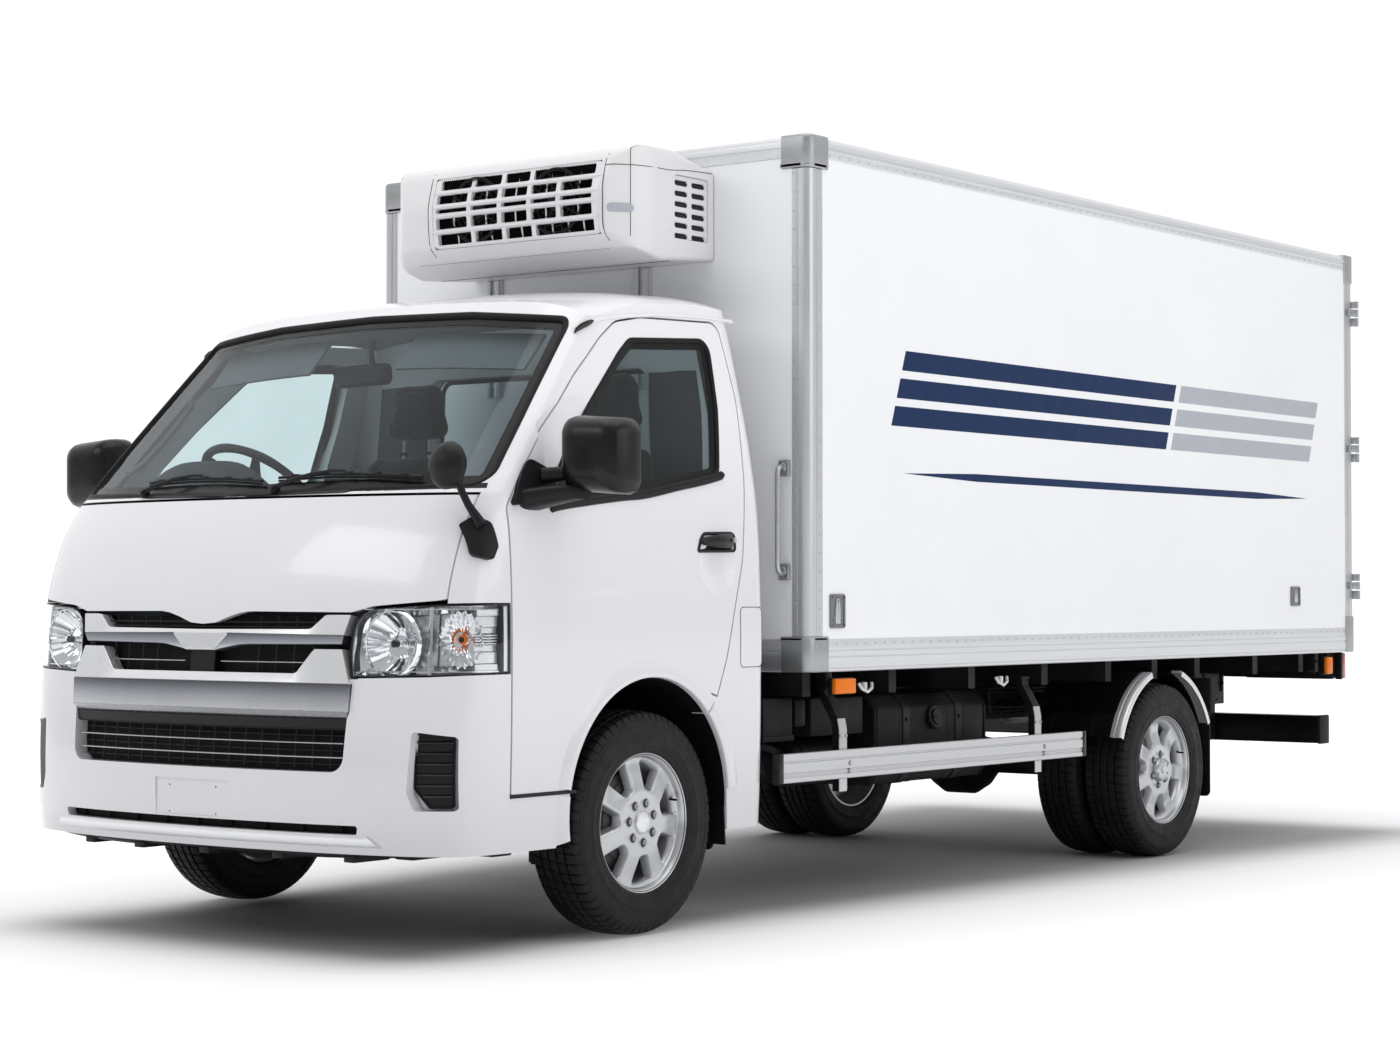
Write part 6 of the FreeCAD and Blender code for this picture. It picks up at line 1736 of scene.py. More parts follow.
for z in (1444, 1100):
    gb.prism(rounded([(x - 22, 836.4), (x + 22, 836.4), (x + 22, 848.5), (x - 22, 848.5)], [5, 5, 0, 0], 3), "z", z - 8, z + 46, 2.0)
    gb.cyl((x, 838, z + 21), (x, 828, z + 21), 15, 24, 3)
    for dx, dz in ((-13, -1), (13, -1), (-13, 39), (13, 39)):
        bolt(gh, (x + dx, 836.4, z + dz), (0, -1, 0), 4.2, 2.5)
gh.obj("grab_handle", "steel", deg=40)
gb.obj("grab_handle_feet", "cap_grey", deg=35)

# ------------------------------------------------------------------ cooling unit on the front wall
UL, UR = -510.0, 572.0
# side outline (y, z) from the foot at the wall, round the front, to the top at the wall
U_RAW = [(846, 2172), (560, 2150), (430, 2185), (372, 2235), (362, 2370), (395, 2492), (470, 2522), (620, 2525), (846, 2470)]
U_R = [0, 80, 50, 60, 200, 60, 80, 120, 0]
UC = rounded(U_RAW, U_R, 7)
UC = dense(UC, 26, closed=False)
RZ0, RZ1, RX0, RX1 = 2227.0, 2470.0, -272.0, 460.0      # opening behind the front grille
UC2 = []
for i, (y, z) in enumerate(UC):
    UC2.append((y, z))
    if i + 1 < len(UC):
        y2, z2 = UC[i + 1]
        for zr in (RZ0 - 1, RZ0 + 1, RZ1 - 1, RZ1 + 1):
            if (z - zr) * (z2 - zr) < 0 and min(y, y2) < 480:
                u = (zr - z) / (z2 - z)
                UC2.append((y + (y2 - y) * u, zr))
UC = []
for p in UC2:
    if not UC or math.hypot(p[0] - UC[-1][0], p[1] - UC[-1][1]) > 0.4:
        UC.append(p)


def u_lim(x):
    """How far the front is held back towards the two ends."""
    d = min(UR - x, x - UL)
    return float(np.interp(d, [0, 6, 14, 26, 44, 62, 80, 95, 112, 130], [532, 494, 466, 440, 412, 392, 378, 368, 360, 352]))


def u_end(x):
    """Rounding of the top, foot and front towards each end face, in mm inwards."""
    d = min(UR - x, x - UL)
    r = 16.0
    return r - math.sqrt(max(0.0, r * r - (r - min(d, r)) ** 2))


UMID = (640.0, 2345.0)


def u_ring(x, rec=False):
    e = u_end(x)
    row = []
    for y, z in UC:
        lim = u_lim(x)
        yy = max(y, lim) if y > lim + 14 or y < lim - 14 else lim + (y - lim + 14) ** 2 / 56.0
        yy = max(yy, lim)
        dz = -1 if z > UMID[1] else 1
        zz = z + dz * e * min(1.0, abs(z - UMID[1]) / 90.0)
        if rec and RZ0 < z < RZ1 and y < 480:
            yy = 402.0
        row.append((x, yy, zz))
    return row


ub = Bag()
xs = sorted(set([UL, UL + 0.8, UL + 2.5, UL + 5, UL + 9, UL + 14, UL + 20] + list(np.linspace(UL + 28, UL + 130, 9)) + list(np.linspace(UL + 150, UR - 150, 14)) + list(np.linspace(UR - 130, UR - 28, 9)) +
                [UR - 20, UR - 14, UR - 9, UR - 5, UR - 2.5, UR - 0.8, UR]) - {0.123})
xs = [x for x in xs if not any(abs(x - q) < 12 for q in (RX0, RX1))]
rows = [(x, RX0 < x < RX1) for x in xs] + [(RX0 - 0.6, False), (RX0 + 0.6, True), (RX1 - 0.6, True), (RX1 + 0.6, False)]
rows.sort()
ub.rows([u_ring(x, rc) for x, rc in rows])
# end faces, set in where the louvres are
SY0, SY1, SZ0, SZ1 = 602.0, 822.0, 2228.0, 2444.0


def end_face(bag, x, s):
    ring = [(p[1], p[2]) for p in u_ring(x)]
    hole = rounded([(SY0, SZ0), (SY1, SZ0), (SY1, SZ1), (SY0 + 24, SZ1)], [26, 14, 14, 22], 5)
    bag.patch(ring + [(846, 2472 - 30), (846, 2200)], flat_x(x), 0.0, holes=[hole], step=48)
    bag.rows([[(x, y, z) for y, z in hole], [(x - s * 1.5, y, z) for y, z in offset(hole, -1.5)], [(x - s * 12, y, z) for y, z in offset(hole, -2.5)]], closed=True)
    return hole


for x, s in ((UL, -1), (UR, 1)):
    hole = end_face(ub, x, s)
ub.obj("unit_case", "unit_white", rep=("cooling_unit",), deg=34)
# back of the recess: dark coil with fins, and two fans
co, fan = Bag(), Bag()
co.box(RX0 + 3, RX1 - 3, 396, 401, RZ0 + 2, RZ1 - 2)
for x in np.arange(RX0 + 8, RX1 - 6, 9.0):
    co.box(x, x + 1.6, 386, 397, RZ0 + 3, RZ1 - 3)
co.obj("unit_coil", "black_matt")
for cx in (-86, 268):
    cz = 2349.0
    fan.rev([(0, 108), (9, 108), (9, 113), (0, 113)], (cx, 386, cz), (0, -1, 0), 48)
    fan.cyl((cx, 386, cz), (cx, 376, cz), 34, 28, 4)
    for k in range(4):
        fan.rev([(0, 42 + 20 * k), (2.4, 42 + 20 * k), (2.4, 44.4 + 20 * k), (0, 44.4 + 20 * k)], (cx, 380, cz), (0, -1, 0), 48)
    for k in range(8):
        a = math.pi * k / 4 + 0.3
        fan.tube([(cx + math.cos(a) * 30, 379, cz + math.sin(a) * 30), (cx + math.cos(a) * 110, 379, cz + math.sin(a) * 110)], 1.8, 6)
fan.obj("unit_fans", "black_plastic", deg=35)


def u_front(p, h=0.0):
    """Point on the unit's front face at (x, z)."""
    zs = [q[1] for q in UC if q[0] < 500]
    ys = [q[0] for q in UC if q[0] < 500]
    k = np.argsort(zs)
    y = float(np.interp(p[1], np.array(zs)[k], np.array(ys)[k]))
    return (p[0], max(y, u_lim(p[0])) - h, p[1])


# front grille: white frame with five rows of windows
wins = []


def win(x0, x1, z0, z1, r=7):
    wins.append(rounded([(x0, z0), (x1, z0), (x1, z1), (x0, z1)], r, 3))


R5 = [(-252, -98), (-82, 41), (57, 172), (188, 441)]
R4 = [(-257, -115), (-99, 22), (38, 153), (169, 281), (297, 434)]
for a, b in ((-246, -104), (-88, 30), (46, 156), (172, 440)):
    win(a, b, 2426, 2462)
for a, b in R4:
    win(a, b, 2378, 2412)
for a, b in R4:
    win(a, b, 2346, 2364, 6)
for a, b in R4:
    win(a, b, 2292, 2332)
for a, b in R5:
    win(a, b, 2238, 2278)
gr = Bag()
go = rounded([(-268, 2231), (456, 2231), (458, 2466), (-266, 2466)], [14, 14, 14, 14], 5)
go = dense(go, 24)
gr.patch(go, u_front, 1.2, holes=wins, step=30)
gr.sweep(go, [(0, 1.2), (3.2, 0.4), (3.6, -1.0), (3.6, -8)], u_front)
for w in wins:
    gr.sweep(w, [(0, 1.2), (-1.2, 0.2), (-1.8, -6), (-1.8, -16)], u_front)
gr.obj("unit_grille", "unit_white", deg=38)
# long ribs that stand proud and run past the windows at both ends
rb = Bag()
for z, a, b, r in ((2419, -276, 470, 5.5), (2371, -280, 466, 5.0), (2339, -280, 466, 5.0), (2285, -280, 466, 6.0)):
    pts = [u_front((x, z), 2.6) for x in np.linspace(a, b, 30)]
    rr = [0.6] + [r] * 28 + [0.6]
    rb.tube(pts, rr, 12, flat=0.9)
# slim vertical bars behind the windows
for z0, z1, cols in ((2426, 2462, (-40, 100, 240, 300, 372)), (2292, 2332, (-185, -40, 92, 226, 366)), (2238, 2278, (-170, -20, 116, 250, 320, 385)), (2378, 2412, (-185, -40, 92, 226, 366))):
    for x in cols:
        pts = [u_front((x, z), -14) for z in (z0 - 4, z1 + 4)]
        rb.tube(pts, 3.0, 8)
rb.obj("unit_grille_ribs", "unit_white", deg=50)

# seams: fine dark grooves laid into the case
sm = Bag()


def seam(pts, r=1.3):
    sm.tube(pts, r, 6)


seam([u_front((-292, z), 0.2) for z in np.linspace(2205, 2492, 14)])
seam([u_front((477, z), 0.2) for z in np.linspace(2205, 2492, 14)])
ringR = u_ring(UR - 30)
seam([(p[0] + 0.0, p[1] - 0.1 if p[1] < 480 else p[1], p[2]) for p in ringR if p[2] > 2210][::-1], 1.2)
hz = [u_front((x, 2452), 0.2) for x in np.linspace(479, 520, 5)] + [(UR - d, u_lim(UR - d) - 0.2, 2452) for d in (44, 26, 14, 6)]
seam(hz + [(UR + 0.1, 545, 2452), (UR + 0.1, 600, 2452), (UR + 0.1, 700, 2462), (UR + 0.1, 838, 2468)], 1.2)
seam([(x, 436, 2184.5) for x in np.linspace(-395, 455, 16)], 1.2)
seam([(x, 640, 2156.0) for x in np.linspace(-480, 545, 8)], 1.4)
sm.obj("unit_seams", "seal_rubber")

# blank plate on the front's near side
bp = Bag()
bo = dense(rounded([(490, 2296), (548, 2296), (548, 2326), (490, 2326)], 12, 6), 10)
bp.sweep(bo, [(0, -2), (0, 2.0), (-1.4, 3.2)], u_front)
bp.patch(offset(bo, -1.4), u_front, 3.2, step=14)
bp.obj("unit_blank_plate", "stripe_grey")

# louvred side panels
lv, lb = Bag(), Bag()
for x, s in ((UR, 1), (UL, -1)):
    slots = []
    for i in range(6):
        z = 2417 - 35.4 * i
        for ya, yb in ((640, 712), (732, 806)):
            slots.append(rounded([(ya, z - 10), (yb, z - 10), (yb, z + 10), (ya, z + 10)], 9.5, 4))
    hole = rounded([(SY0, SZ0), (SY1, SZ0), (SY1, SZ1), (SY0 + 24, SZ1)], [26, 14, 14, 22], 5)
    xp = x - s * 7
    lv.patch(dense(offset(hole, -3.4), 30), flat_x(xp), 0.0, holes=slots, step=30)
    for w in slots:
        lv.rows([[(xp, y, z) for y, z in w], [(xp - s * 1.2, y, z) for y, z in offset(w, -1.0)], [(xp - s * 7, y, z) for y, z in offset(w, -1.2)]], closed=True)
    lb.patch(offset(hole, -3.0), flat_x(x - s * 13), 0.0, step=0)
    for i in range(6):
        z = 2417 - 35.4 * i
        lb.prism([(638, z - 9), (808, z - 9), (808, z + 1), (638, z + 1)], "x", min(xp - s * 2.5, xp - s * 6), max(xp - s * 2.5, xp - s * 6))
    for y, z in ((622, 2424), (812, 2434), (812, 2240), (622, 2250)):
        lv.rev([(0, 5.5), (1.6, 5.0), (2.2, 0.02)], (xp, y, z), (s, 0, 0), 14, closed=False)
lv.obj("unit_side_louvres", "unit_white", deg=38)
lb.obj("unit_side_dark", "black_plastic")

# ------------------------------------------------------------------ under the box
# side guards: grooved aluminium bar, black end caps, bent stays
gb, ge, st, sb, bt = Bag(), Bag(), Bag(), Bag(), Bag()
gsec = [(940, 430), (962.5, 430), (965, 432.5), (965, 446), (961.6, 448), (961.6, 451), (963.6, 453), (963.6, 457), (961.6, 459), (961.6, 462), (965, 464), (965, 494), (961.6, 496), (961.6, 500), (965, 502), (965, 522.5), (962.5, 525), (940, 525)]
gb.prism(gsec, "y", 702, 2655)
for y0, y1 in ((676, 703), (2654, 2681)):
    ge.prism(rounded([(938, 428.6), (966, 428.6), (966, 526.4), (938, 526.4)], 4, 3), "y", y0, y1, 2.0)
    for z in (446, 508):
        dome(ge, (966, (y0 + y1) / 2, z), (1, 0, 0), 4.2, 1.6)
for y in (1062, 2348):
    path = [(922, 384), (922, 470), (922, 590), (916, 622), (890, 668), (868, 702), (866, 736)]
    rows_s, rows_b = [], []
    for i, (x, z) in enumerate(path):
        a = path[max(i - 1, 0)]
        b = path[min(i + 1, len(path) - 1)]
        t = Vector((b[0] - a[0], b[1] - a[1])).normalized()
        n = Vector((t.y, -t.x))
        w = 15.0
        sec = [(n * w, 0.5), (n * w, 45.5), (n * (w - 2.4), 45.9), (n * (w - 2.4), 0.1)]
        row = [(x + o.x, y + yy, z + o.y) for o, yy in sec]
        if i <= 3:
            rows_s.append(row)
        if i >= 3:
            rows_b.append([(x + o.x * 1.0, y + yy, z + o.y * 1.0) for o, yy in sec])
        # black web behind the bright face
    st.rows(rows_s, closed=True, ends=True)
    sb.rows(rows_b, closed=True, ends=True)
    for yy in (y + 2.5, y + 43.5):
        rows = []
        for i, (x, z) in enumerate(path):
            a, b = path[max(i - 1, 0)], path[min(i + 1, len(path) - 1)]
            t = Vector((b[0] - a[0], b[1] - a[1])).normalized()
            n = Vector((t.y, -t.x))
            rows.append([(x + n.x * q, yy + s, z + n.y * q) for q, s in ((12.6, -1.6), (12.6, 1.6), (-14, 1.6), (-14, -1.6))])
        sb.rows(rows, closed=True, ends=True)
    sb.box(846, 884, y - 6, y + 52, 730, 738.5, 1)
    for z in (455.5, 480):
        bolt(bt, (963.8 if z < 460 else 965, y + 23, z), (1, 0, 0), 6.5, 3.0)
    for dy in (6, 40):
        bolt(bt, (922 + 15, y + dy, 570), (1, 0, 0), 5.0, 3.0)
gb.both().obj("side_guard_bars", "guard_metal", rep=("side_guards",), deg=28)
ge.both().obj("side_guard_end_caps", "black_gloss_grain", deg=35)
st.both().obj("side_guard_stays", "guard_metal", deg=30)
sb.both().obj("side_guard_brackets", "chassis_black", deg=30)
bt.both().obj("side_guard_bolts", "steel", deg=40)

# rear fenders: black gloss hoop with a bright outer band
fh, fs = Bag(), Bag()
FC = (3345.0, 345.0)


def hoop(bag, sec, a0, a1, n=44):
    rows = []
    for i in range(n + 1):
        a = math.radians(a0 + (a1 - a0) * i / n)
        rows.append([(x, FC[0] - r * math.cos(a), FC[1] + r * math.sin(a)) for x, r in sec])
    bag.rows(rows, closed=True, ends=True)


A0, A1 = 20.5, 154.5
top = math.degrees(math.asin((736 - 345) / 411.0))
for a0, a1 in ((A0, top), (180 - top, A1)):
    hoop(fh, [(545, 409), (700, 411), (912, 411), (914, 409.5), (914, 403), (912, 401), (545, 400.5)], a0, a1)
    # two pressed ribs round the hoop
    for x in (640, 828):
        hoop(fh, [(x - 5, 410), (x, 412), (x + 5, 410)], a0 + 1.5, a1 - 1.5, 30)
    hoop(fs, [(913.5, 411.6), (918, 412), (930, 412), (932, 410.6), (935, 410.6), (937, 412), (955, 412), (961, 409), (962, 404), (962, 388), (959.5, 388), (958, 401), (913.5, 403)], a0, a1)
for yy in (-330, 330):
    fh.tube([(380, FC[0] + yy, 612), (600, FC[0] + yy * 1.0, 612)], 14, 12)
fh.both().obj("fender_hoops", "black_gloss_grain", rep=("rear_fenders",), deg=35)
fs.both().obj("fender_bands", "silver_trim", deg=30)

# mudflaps: ribbed rubber with a steel strip
mf, ms = Bag(), Bag()
for (a, b, y, z0, z1) in ((562, 943, 3742, 216, 558), (602, 856, 460, 228, 556)):
    mf.prism(rounded([(a, z0), (b, z0), (b, z1), (a, z1)], [22, 22, 3, 3], 5), "y", y, y + 9.5, 1.2)
    for i in range(int((b - a - 60) / 30)):
        x = a + 36 + 30 * i
        mf.tube([(x, y + 9.5, z0 + 40), (x, y + 9.5, z1 - 70)], [2.4, 2.4], 6)
    ms.box(a + 6, b - 6, y + 9, y + 12, z1 - 34, z1 - 8, 0.6, 1)
    for x in np.linspace(a + 30, b - 30, 5):
        bolt(ms, (x, y + 12, z1 - 21), (0, 1, 0), 5.5, 3)
mf.box(562, 943, 3752, 3788, 560, 700, 3)
mf.both().obj("mudflap_rubber", "flap_rubber", rep=("mudflaps",), deg=35)
ms.both().obj("mudflap_strips", "steel", deg=35)

# underrun bar, end caps and its hangers with lightening holes
ub_, uc_ = Bag(), Bag()
ub_.prism(rounded([(4900, 382), (4990, 382), (4990, 505), (4900, 505)], 9, 4), "x", -888, 888)
for z in (412, 474):
    ub_.tube([(-880, 4990, z), (880, 4990, z)], 2.4, 6)
for s in (1, -1):
    x0, x1 = sorted((s * 886, s * 900))
    uc_.prism(rounded([(4897, 379.5), (4993, 379.5), (4993, 507.5), (4897, 507.5)], 10, 4), "x", x0, x1, 2.5)
    hx = s * 343
    out_o = [(4800, 738), (4945, 738), (4945, 700), (4905, 620), (4902, 505), (4906, 384), (4850, 384), (4846, 520), (4835, 610), (4790, 690)]
    holes = [rounded([(4880 + 12 * math.cos(t) - 4, z + 12 * math.sin(t)) for t in np.linspace(0, 2 * math.pi, 13)[:-1]], 0, 1) for z in (430, 470, 560)]
    for xx in (hx - 40, hx + 34):
        def pl(p, h=0.0, xx=xx):
            return (xx + 6 + h, p[0], p[1])
        uc_.patch(dense(rounded(out_o, [4, 6, 10, 20, 6, 8, 8, 10, 20, 20], 3), 40), pl, 0.0, holes=holes, step=0, thick=6)
    for z in (400, 450, 490):
        bolt(uc_, (hx + s * 41, 4878, z), (s, 0, 0), 7, 4)
ub_.obj("underrun_bar", "black_gloss_grain", rep=("rear_underrun_bar",), deg=30)
uc_.obj("underrun_hangers", "chassis_black", deg=35)

# tail lamps: black carrier panels, amber in black housings, red edge lamps
tp, ta, tr_, tw = Bag(), Bag(), Bag(), Bag()
tp.prism(rounded([(-480, 668), (480, 668), (480, 734), (-480, 734)], 6, 3), "y", 5023, 5039, 1.5)
half_p, half_r, half_a, half_w = Bag(), Bag(), Bag(), Bag()
half_p.prism(rounded([(478, 665), (905, 665), (905, 738), (905, 786), (640, 786), (640, 740), (478, 738)], [6, 14, 0, 10, 14, 4, 6], 4), "y", 5022, 5054, 2.0)
half_p.prism(rounded([(905, 664), (935, 664), (935, 786), (905, 786)], 6, 3), "y", 5046, 5062, 1.5)
half_r.prism(rounded([(648, 672), (740, 672), (740, 780), (648, 780)], 8, 4), "y", 5050, 5093, 5.0)
half_r.prism(rounded([(905, 667), (933, 667), (933, 783), (905, 783)], 6, 4), "y", 5060, 5099, 4.0)
half_a.prism(rounded([(746, 672), (820, 672), (820, 780), (746, 780)], 8, 4), "y", 5050, 5093, 5.0)
half_w.prism(rounded([(826, 672), (896, 672), (896, 780), (826, 780)], 8, 4), "y", 5050, 5093, 5.0)
for k in range(7):
    for bag, xa, xb in ((half_r, 652, 736), (half_a, 750, 816), (half_w, 830, 892)):
        bag.tube([(xa, 5093, 684 + 14 * k), (xb, 5093, 684 + 14 * k)], 2.2, 6)
half_p.sweep(rounded([(644, 668), (900, 668), (900, 784), (644, 784)], 9, 4), [(0, -30), (0, 26), (-3, 27), (-4, 20)], lambda p, h: (p[0], 5062 + h, p[1]))
tp.join(half_p).join(half_p, True)
tp.obj("tail_panels", "black_plastic", rep=("tail_lamps",), deg=35)
half_r.both().obj("tail_lamp_red", "tail_red", deg=40)
half_a.both().obj("tail_lamp_amber", "amber", deg=40)
half_w.both().obj("tail_lamp_white", "reflect_white", deg=40)

# marker lamps: black housing on a bracket, ribbed amber lens
mh, ml = Bag(), Bag()
for ya, yb, za, zc, xe in ((1004, 1131, 709, 766, 962), (4850, 4912, 690, 770, 958)):
    mh.box(xe - 34, xe - 14, ya + 1, yb - 1, za, zc, 4)
    mh.box(884, xe - 30, (ya + yb) / 2 - 14, (ya + yb) / 2 + 14, zc - 26, zc - 20, 1)
    mh.box(852, 892, (ya + yb) / 2 - 18, (ya + yb) / 2 + 18, za + 12, 784, 2)
    bolt(mh, (892.5, (ya + yb) / 2 - 26, za + 10), (1, 0, 0), 4, 2)
    ml.box(xe - 22, xe, ya + 3, yb - 3, za + 3, zc - 3, 5.0, 3)
    for k in range(5):
        z = za + 14 + (zc - za - 28) * k / 4
        ml.tube([(xe - 0.8, ya + 12, z), (xe - 0.8, yb - 12, z)], 1.5, 6)
mh.both().obj("marker_housings", "black_plastic", rep=("marker_lamps",), deg=35)
ml.both().obj("marker_lenses", "amber", deg=45)

# tank on the left: pressed shell with end seams, straps, cap and sender
tk, ts = Bag(), Bag()
sec = rounded([(402, 374), (762, 374), (788, 420), (788, 640), (742, 688), (402, 688)], 38, 7)
tk.prism(sec, "y", 1502, 2248, 9.0, 3)
for y in (1518, 2232):
    rows = [[(p[0], y + dy, p[1]) for p in offset(sec, d)] for dy, d in ((-5, -0.5), (-4, 3.2), (4, 3.2), (5, -0.5))]
    tk.rows(rows, closed=True)
for y in (1660, 1770, 1980, 2090):
    rows = [[(p[0], y + dy, p[1]) for p in offset(sec, d)] for dy, d in ((-9, -0.5), (-5, 1.6), (5, 1.6), (9, -0.5))]
    tk.rows(rows, closed=True)
for y in (1700, 2050):
    rows = [[(p[0], y + dy, p[1]) for p in offset(sec, d)] for dy, d in ((-22, 0.4), (-22, 3.0), (22, 3.0), (22, 0.4))]
    ts.rows(rows, closed=True)
    ts.box(378, 404, y - 24, y + 24, 560, 700, 2)
    bolt(ts, (790.5, y, 600), (1, 0, 0), 6, 6)
ts.cyl((788, 1875, 600), (806, 1875, 604), 44, 32, 4)
ts.cyl((806, 1875, 604), (812, 1875, 605), 30, 28, 2)
ts.box(808, 815, 1845, 1905, 598, 608, 2)
tk.obj("tank_shell", "chassis_black", rep=("fuel_tank",), deg=35)
ts.obj("tank_straps", "black_plastic", deg=35)

# battery and tool box on the right, with lid, latches and vents
bb, bl = Bag(), Bag()
bb.prism(rounded([(-402, 402), (-796, 402), (-796, 640), (-402, 640)], 16, 4), "y", 964, 1436, 4)
bb.prism(rounded([(-402, 646), (-798, 646), (-798, 678), (-402, 678)], 8, 3), "y", 961, 1439, 3)
for y in (1030, 1200, 1370):
    bb.box(-799.5, -795, y - 50, y + 50, 430, 610, 2)
for y in (1090, 1310):
    bl.box(-806, -797, y - 16, y + 16, 618, 662, 2)
    bl.tube([(-806, y - 12, 626), (-809, y - 12, 650), (-809, y + 12, 650), (-806, y + 12, 626)], 2.2, 8)
for y in (1035, 1365):
    bb.box(-404, -378, y - 25, y + 25, 560, 680, 2)
bb.obj("battery_case", "black_plastic", rep=("battery_box",), deg=35)
bl.obj("battery_latches", "steel", deg=35)

# rows of holes and rivets on the rails, brackets under the cross bearers
ch, cb = Bag(), Bag()
for s in (1, -1):
    for y in np.arange(720, 4960, 62.0):
        for z, r in ((566, 6.5), (684, 6.5)):
            dome(ch, (s * 378.2, y, z), (s, 0, 0), r, 4)
    for y in np.arange(760, 4960, 186.0):
        ch.rev([(0, 13), (1.6, 13), (1.6, 17.5), (0, 17.5)], (s * 378, y, 626), (s, 0, 0), 24)
        cb.cyl((s * 377.5, y, 626), (s * 378.9, y, 626), 13, 24)
for y in (900, 1420, 1940, 2460, 2950, 3330, 3698, 4230, 4680, 4975):
    for s in (1, -1):
        cb.prism([(s * 378, 600), (s * 384, 600), (s * 384, 706), (s * 470, 706), (s * 470, 712), (s * 378, 712)] if s > 0 else
                 [(-378, 600), (-378, 712), (-470, 712), (-470, 706), (-384, 706), (-384, 600)], "y", y - 8, y + 0.5, 0.8)
        bolt(cb, (s * 384, y - 4, 640), (s, 0, 0), 8, 6)
        bolt(cb, (s * 384, y - 4, 680), (s, 0, 0), 8, 6)
ch.obj("rail_rivets", "chassis_black", deg=50)
cb.obj("rail_brackets", "black_matt", deg=35)

# lines along the left rail: air, brake and cable runs with clips
ln, lw = Bag(), Bag()
for k, (x, z, r) in enumerate(((392, 668, 6), (392, 652, 5), (394, 596, 9), (391, 580, 4.5))):
    pts = [(x, y, z + 4 * math.sin(y * 0.011 + k)) for y in np.arange(700, 4700, 70.0)]
    ln.tube(pts, r, 8)
for y in np.arange(860, 4600, 340.0):
    ln.box(378, 404, y - 9, y + 9, 574, 676, 2)
# slack loops and pale fittings hanging below the foot rail
for y0 in (1265, 2160):
    lw.tube([(905, y0 - 40, 742), (912, y0 - 30, 724), (915, y0, 712), (912, y0 + 30, 724), (905, y0 + 40, 742)], 6, 10)
    lw.cyl((900, y0, 745), (900, y0, 716), 12, 16, 2)
ln.tube([(410, 820, 640), (520, 850, 600), (640, 900, 560), (700, 1000, 520), (640, 1150, 500), (520, 1250, 520), (400, 1330, 600)], 13, 12)
ln.tube([(410, 2300, 620), (520, 2380, 560), (560, 2500, 520), (500, 2620, 560), (400, 2720, 640)], 9, 10)
ln.obj("rail_lines", "black_plastic", deg=40)
lw.both().obj("foot_rail_fittings", "reflect_white", deg=40)

# small black boxes and an air reservoir behind the cab on the left
bx_ = Bag()
bx_.box(560, 820, 790, 960, 560, 700, 10)
bx_.box(600, 815, 980, 1040, 600, 690, 6)
bx_.box(420, 780, 1120, 1440, 560, 690, 8)
bx_.prism(rounded([(560, 555), (822, 555), (822, 575), (560, 575)], 4, 3), "y", 786, 964, 2)
bx_.rev([(0, 0.02), (4, 55), (16, 78), (34, 84), (330, 84), (348, 78), (360, 55), (364, 0.02)], (640, 1100, 470), (0, 1, 0), 36, closed=False)
for y in (1170, 1400):
    bx_.rev([(-14, 84.5), (-14, 87.5), (14, 87.5), (14, 84.5)], (640, y, 470), (0, 1, 0), 36)
    bx_.box(395, 580, y - 14, y + 14, 520, 560, 2)
bx_.obj("left_boxes", "chassis_black", deg=35)

# tray and brackets below the front bumper
un = Bag()
rows = []
for x in np.linspace(-820, 820, 40):
    u = abs(x) / 820.0
    yf = front_y(x, 330)
    z0 = 282 + 16 * u ** 4 + (6 if abs(x) < 300 else 0)
    rows.append([(x, yf + 26, 322), (x, yf + 34, z0 + 8), (x, yf + 46, z0), (x, yf + 150, z0 - 2), (x, yf + 250, z0 + 18), (x, yf + 250, 322)])
un.rows(rows, closed=True, ends=True)
for x in (-560, -300, 0, 300, 560):
    un.box(x - 22, x + 22, front_y(x, 330) + 40, front_y(x, 330) + 190, 272, 300, 4)
un.box(560, 640, -700, -520, 268, 330, 8)
un.box(-640, -560, -700, -520, 268, 330, 8)
un.obj("front_tray", "black_plastic", deg=35)
# sill board below the door, and the black side return behind the front bumper
sl = Bag()
for s in (1, -1):
    sl.box(s * 720, s * 868, -560, -412, 296, 334, 8)
    sl.box(s * 690, s * 866, -606, -520, 284, 322, 6)
sl.obj("step_boxes", "black_plastic", deg=35)

# ------------------------------------------------------------------ inside the cab
# dash: soft upper roll, vents, glove box lines, instrument hood
db = Bag()
DS = [(-752, 1328), (-700, 1342), (-640, 1342), (-585, 1334), (-530, 1312), (-492, 1276), (-474, 1236), (-468, 1190), (-470, 1150), (-494, 1098), (-540, 1040), (-600, 1000), (-650, 992)]
cur = smooth_curve(DS, 4)


def in_front(x, z):
    return front_y(x, min(z, 1344)) + 76


rows = []
for x in np.linspace(-838, 838, 57):
    row = []
    for y, z in cur:
        zz = z
        yy = max(y, in_front(x, z) + 2)
        # instrument hood before the driver, on the right of the truck
        g = math.exp(-((x + 335) / 265.0) ** 4)
        if z > 1200:
            zz += 128 * g * math.exp(-((y + 602) / 84.0) ** 2)
            yy += 0
        # centre stack stands out a little
        c = math.exp(-((x) / 150.0) ** 6)
        if z < 1300:
            yy += 24 * c
        row.append((x, yy, zz))
    rows.append(row)
db.rows(rows, ends=False)
db.obj("dash_shell", "dark_trim", rep=("dashboard",), deg=40)
dd, dl = Bag(), Bag()
for x in (-700, -95, 95, 700):
    o = rounded([(x - 62, 1218), (x + 62, 1218), (x + 62, 1278), (x - 62, 1278)], 14, 4)
    yv = -452 if abs(x) < 200 else -474
    dd.sweep(o, [(3, -6), (3, 4), (0, 6), (-3, 4), (-3, -6)], flat_y(yv))
    for k in range(5):
        z = 1228 + 10 * k
        dd.box(x - 56, x + 56, yv - 3, yv + 2, z - 1.6, z + 1.6, 0.6, 1)
